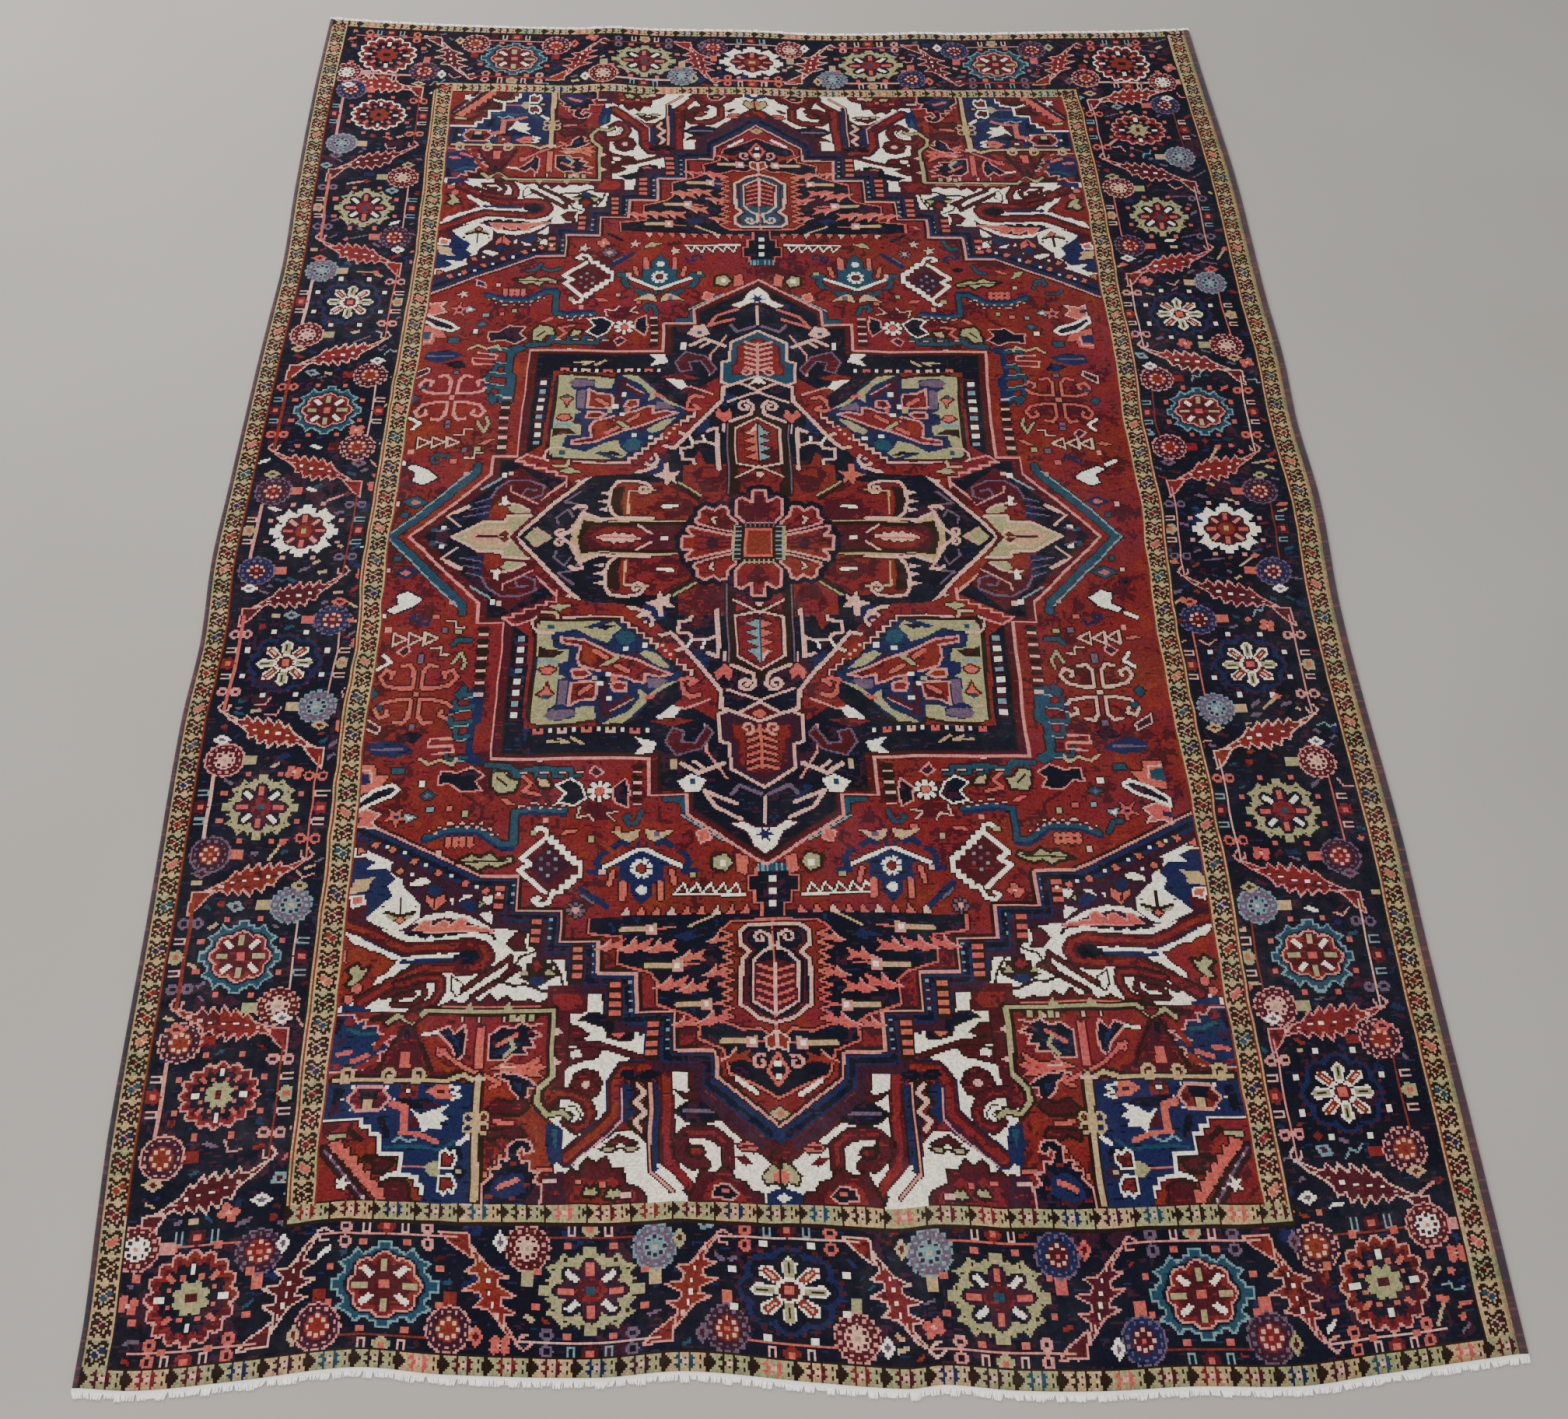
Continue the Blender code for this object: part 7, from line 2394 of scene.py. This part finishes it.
def chart_group():
    """Reads the weaver's chart: the number of the yarn in the knot at a place."""
    tree, b, given, out = group(
        "knot_chart",
        [(label, "Float", 0.0) for label in ("Across", "Along", "Row 1", "Row 2", "Row 3", "Row 4")],
        [("Yarn", "Float"), ("Knot", "Vector"), ("Pillow", "Float")])

    def knot_number(share, cells):
        place = b.math("MULTIPLY", share, float(cells))
        number = b.math("FLOOR", b.math("MULTIPLY", b.math("FRACT", place), float(BLOCK)))
        knot = b.math("MULTIPLY", place, float(BLOCK))
        return number, knot

    column, across = knot_number(given["Across"], CELLS_ACROSS)
    row, along = knot_number(given["Along"], CELLS_ALONG)

    def chosen(number, values):
        total = None
        for index, value in enumerate(values):
            is_it = b.math("COMPARE", number, float(index), 0.5)
            part = b.math("MULTIPLY", is_it, value)
            total = part if total is None else b.math("ADD", total, part)
        return total

    code = chosen(row, [given[f"Row {i + 1}"] for i in range(BLOCK)])
    unit = chosen(column, [float(YARN_ROOM**i) for i in range(BLOCK)])
    digit = b.math("FLOORED_MODULO", b.math("FLOOR", b.math("DIVIDE", code, unit)), float(YARN_ROOM))
    b.feed(digit, out["Yarn"])
    knot = b.add("CombineXYZ", {0: b.math("FLOOR", across), 1: b.math("FLOOR", along)}).outputs[0]
    b.feed(knot, out["Knot"])
    ends = []
    for place in (across, along):
        gap = b.math("ABSOLUTE", b.math("SUBTRACT", b.math("FRACT", place), 0.5))
        ends.append(b.math("SUBTRACT", 1.0, b.math("POWER", b.math("MULTIPLY", gap, 2.0), 3.0)))
    b.feed(b.math("MULTIPLY", *ends), out["Pillow"])
    return tree


def palette(b, yarn, colours):
    """A row of dyed yarns, picked by number."""
    node = b.add("ValToRGB", {0: b.math("DIVIDE", b.math("ADD", yarn, 0.5), float(YARN_ROOM))})
    ramp = node.color_ramp
    ramp.interpolation = "CONSTANT"
    while len(ramp.elements) < len(colours):
        ramp.elements.new(len(ramp.elements) / YARN_ROOM)
    for index, colour in enumerate(colours):
        ramp.elements[index].position = index / YARN_ROOM
        ramp.elements[index].color = linear(colour)
    return node.outputs["Color"]


def new_material(name, **sockets):
    material = bpy.data.materials.new(name)
    material.use_nodes = True
    tree = material.node_tree
    tree.nodes.clear()
    b = Bench(tree)
    surface = b.add("BsdfPrincipled")
    for label, value in sockets.items():
        surface.inputs[label.replace("_", " ")].default_value = value
    b.add("OutputMaterial", {"Surface": surface.outputs[0]})
    return material, b, surface.inputs


def pile_material(yarn_tree, age_tree):
    material, b, surface = new_material("wool_pile", Sheen_Weight=0.02, Sheen_Roughness=0.5,
                                        Specular_IOR_Level=0.08)
    weave_map = b.add("UVMap", uv_map="weave").outputs[0]
    where = b.add("SeparateXYZ", {0: weave_map}).outputs
    chart = b.add("Attribute", attribute_name="chart")
    rows = b.add("SeparateColor", {0: chart.outputs["Color"]}).outputs
    place = b.add("TexCoord").outputs["Object"]
    read = b.use(chart_group(), {"Across": where[0], "Along": where[1], "Row 1": rows[0], "Row 2": rows[1],
                                 "Row 3": rows[2], "Row 4": chart.outputs["Alpha"]})
    fresh = palette(b, read["Yarn"], YARNS.values())
    other = palette(b, read["Yarn"], OTHER_LOTS.values())
    # dye lots change from band to band along the rug, and a little from knot to knot
    lot = b.spread(b.noise(b.bands(place, (0.35, 5.5, 1.0)), 2.2, 4.0, 0.6), 0.36, 0.66)
    drift = b.spread(b.noise(place, 5.0, 3.0), 0.3, 0.7)
    lot = b.math("ADD", b.math("MULTIPLY", lot, 0.65), b.math("MULTIPLY", drift, 0.35))
    colour = b.mix(lot, fresh, other)
    turn = b.spread(b.noise(b.bands(place, (1.0, 2.2, 1.0)), 3.1, 2.0), 0.32, 0.68, 0.491, 0.508)
    faded = {"Hue": turn, "Saturation": 0.99, "Value": 0.94, "Color": colour}
    colour = b.add("HueSaturation", faded).outputs[0]
    each = b.add("TexWhiteNoise", {"Vector": read["Knot"]}, noise_dimensions="2D").outputs["Value"]
    level = b.spread(each, 0.0, 1.0, 0.74, 1.26)
    colour = b.mix(1.0, colour, b.grey(level), "MULTIPLY")
    aged = b.use(age_tree, {"Colour": colour, "Place": place, "Wear": 0.45, "Dust": 0.004})
    spun = b.use(yarn_tree, {"Colour": aged["Colour"], "Place": place, "Fibre scale": 700.0,
                             "Shade spread": 0.22})
    b.feed(spun["Colour"], surface["Base Color"])
    b.feed(b.math("MULTIPLY_ADD", spun["Height"], 0.12, 0.84), surface["Roughness"])
    height = b.math("ADD", b.math("MULTIPLY", read["Pillow"], 0.35),
                    b.math("MULTIPLY", spun["Height"], 0.45))
    height = b.math("ADD", height, b.math("MULTIPLY", each, 0.25))
    bump = b.add("Bump", {"Strength": 0.6, "Distance": 0.0016, "Height": height})
    b.feed(bump.outputs[0], surface["Normal"])
    return material


def overcast_material(yarn_tree, age_tree):
    material, b, surface = new_material("overcast_wool", Sheen_Weight=0.2, Sheen_Roughness=0.5,
                                        Specular_IOR_Level=0.25)
    wrap = b.add("SeparateXYZ", {0: b.add("UVMap", uv_map="wrap").outputs[0]}).outputs
    place = b.add("TexCoord").outputs["Object"]
    strand = b.math("FLOOR", b.math("ADD", wrap[1], b.math("MULTIPLY", wrap[0], 0.5)))
    each = b.add("TexWhiteNoise", {"W": strand}, noise_dimensions="1D").outputs["Value"]
    long_band = b.spread(b.noise(b.bands(place, (0.2, 2.6, 0.2)), 2.0, 3.0), 0.38, 0.62)
    colour = b.mix(long_band, linear((58, 32, 44)), linear((30, 26, 38)))
    colour = b.mix(b.spread(each, 0.72, 1.0, 0.0, 0.5), colour, linear((112, 52, 52)))
    aged = b.use(age_tree, {"Colour": colour, "Place": place, "Wear": 0.5, "Dust": 0.02})
    spun = b.use(yarn_tree, {"Colour": aged["Colour"], "Place": place, "Fibre scale": 1100.0,
                             "Shade spread": 0.3})
    b.feed(spun["Colour"], surface["Base Color"])
    b.feed(b.math("MULTIPLY_ADD", spun["Height"], 0.15, 0.78), surface["Roughness"])
    bump = b.add("Bump", {"Strength": 0.5, "Distance": 0.0006, "Height": spun["Height"]})
    b.feed(bump.outputs[0], surface["Normal"])
    return material


def cotton_material(yarn_tree, age_tree):
    material, b, surface = new_material("cotton_warp", Sheen_Weight=0.8, Sheen_Roughness=0.6,
                                        Specular_IOR_Level=0.3)
    place = b.add("TexCoord").outputs["Object"]
    tone = b.spread(b.noise(place, 14.0, 3.0), 0.35, 0.65)
    colour = b.mix(tone, linear((255, 254, 250)), linear((249, 246, 239)))
    aged = b.use(age_tree, {"Colour": colour, "Place": place, "Wear": 0.1, "Dust": 0.0})
    spun = b.use(yarn_tree, {"Colour": aged["Colour"], "Place": place, "Fibre scale": 1600.0,
                             "Shade spread": 0.14})
    b.feed(spun["Colour"], surface["Base Color"])
    b.feed(b.math("MULTIPLY_ADD", spun["Height"], 0.12, 0.8), surface["Roughness"])
    bump = b.add("Bump", {"Strength": 0.5, "Distance": 0.0004, "Height": spun["Height"]})
    b.feed(bump.outputs[0], surface["Normal"])
    return material


# --------------------------------------------------------- floor, light, camera
LAMPS = (                      # name, place, watts, size
    ("window_light", (-2.6, 3.4, 3.4), 290.0, 3.2),
    ("fill_light", (-0.6, -3.3, 3.6), 150.0, 3.4),
)
FOCAL_LENGTH = 39.107          # mm
CAMERA_PLACE = Vector((-0.162, -2.306, 2.801))
CAMERA_AHEAD = Vector((0.0447, 0.5472, -0.8358))
CAMERA_UP = Vector((0.0050, 0.8365, 0.5479))


def make_floor():
    """A plain pale floor that reaches well past the picture."""
    sheet = bmesh.new()
    bmesh.ops.create_grid(sheet, x_segments=2, y_segments=2, size=40.0)
    bmesh.ops.translate(sheet, vec=(0, 1.5, -0.0006), verts=sheet.verts[:])
    mesh = bpy.data.meshes.new("studio_floor")
    sheet.to_mesh(mesh)
    sheet.free()
    floor = bpy.data.objects.new("studio_floor", mesh)
    bpy.context.scene.collection.objects.link(floor)
    material, b, surface = new_material("pale_floor", Specular_IOR_Level=0.2)
    tone = b.spread(b.noise(b.add("TexCoord").outputs["Object"], 1.1, 2.0), 0.3, 0.7)
    b.feed(b.mix(tone, linear((158, 154, 147)), linear((163, 159, 153))), surface["Base Color"])
    surface["Roughness"].default_value = 0.75
    mesh.materials.append(material)


def make_light():
    """Soft daylight: a pale room, a window beyond the far end and a weaker fill from the near end."""
    world = bpy.data.worlds.new("soft_room")
    world.use_nodes = True
    sky = world.node_tree.nodes["Background"].inputs
    sky["Color"].default_value = (0.93, 0.96, 1.0, 1.0)
    sky["Strength"].default_value = 0.62
    bpy.context.scene.world = world
    for name, place, power, size in LAMPS:
        lamp = bpy.data.lights.new(name, "AREA")
        lamp.energy = power
        lamp.size = size
        lamp.color = (1.0, 0.97, 0.93)
        holder = bpy.data.objects.new(name, lamp)
        holder.location = place
        holder.rotation_mode = "QUATERNION"
        holder.rotation_quaternion = (Vector((0, 0, 0)) - Vector(place)).to_track_quat("-Z", "Y")
        bpy.context.scene.collection.objects.link(holder)


def make_camera():
    """The photo's viewpoint: at the near end, looking down along the rug."""
    lens = bpy.data.cameras.new("photo_view")
    lens.sensor_width = 36.0
    lens.lens = FOCAL_LENGTH
    camera = bpy.data.objects.new("photo_view", lens)
    right = CAMERA_AHEAD.cross(CAMERA_UP).normalized()
    up = right.cross(CAMERA_AHEAD).normalized()
    camera.location = CAMERA_PLACE + Vector(SHIFT)
    camera.rotation_mode = "QUATERNION"
    turned = Matrix((right, up, -CAMERA_AHEAD.normalized())).transposed()
    camera.rotation_quaternion = turned.to_quaternion()
    bpy.context.scene.collection.objects.link(camera)
    bpy.context.scene.camera = camera


make_camera()
make_floor()
make_light()
yarn_tree, age_tree = yarn_group(), wear_group()
pile = pile_material(yarn_tree, age_tree)
overcast = overcast_material(yarn_tree, age_tree)
cotton = cotton_material(yarn_tree, age_tree)

carpet = make_carpet(weave(), pile)
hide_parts("carpet")
left = make_selvedge("overcast_left", left_at, -1, SELVEDGE_LEFT, overcast)
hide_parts("selvedge_left")
right = make_selvedge("overcast_right", right_at, 1, SELVEDGE_RIGHT, overcast)
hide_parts("selvedge_right")
near = make_fringe("warp_ends_front", 0.0, -1, 0.4, cotton)
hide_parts("fringe_front")
far = make_fringe("warp_ends_back", 1.0, 1, 1.9, cotton)
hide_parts("fringe_back")
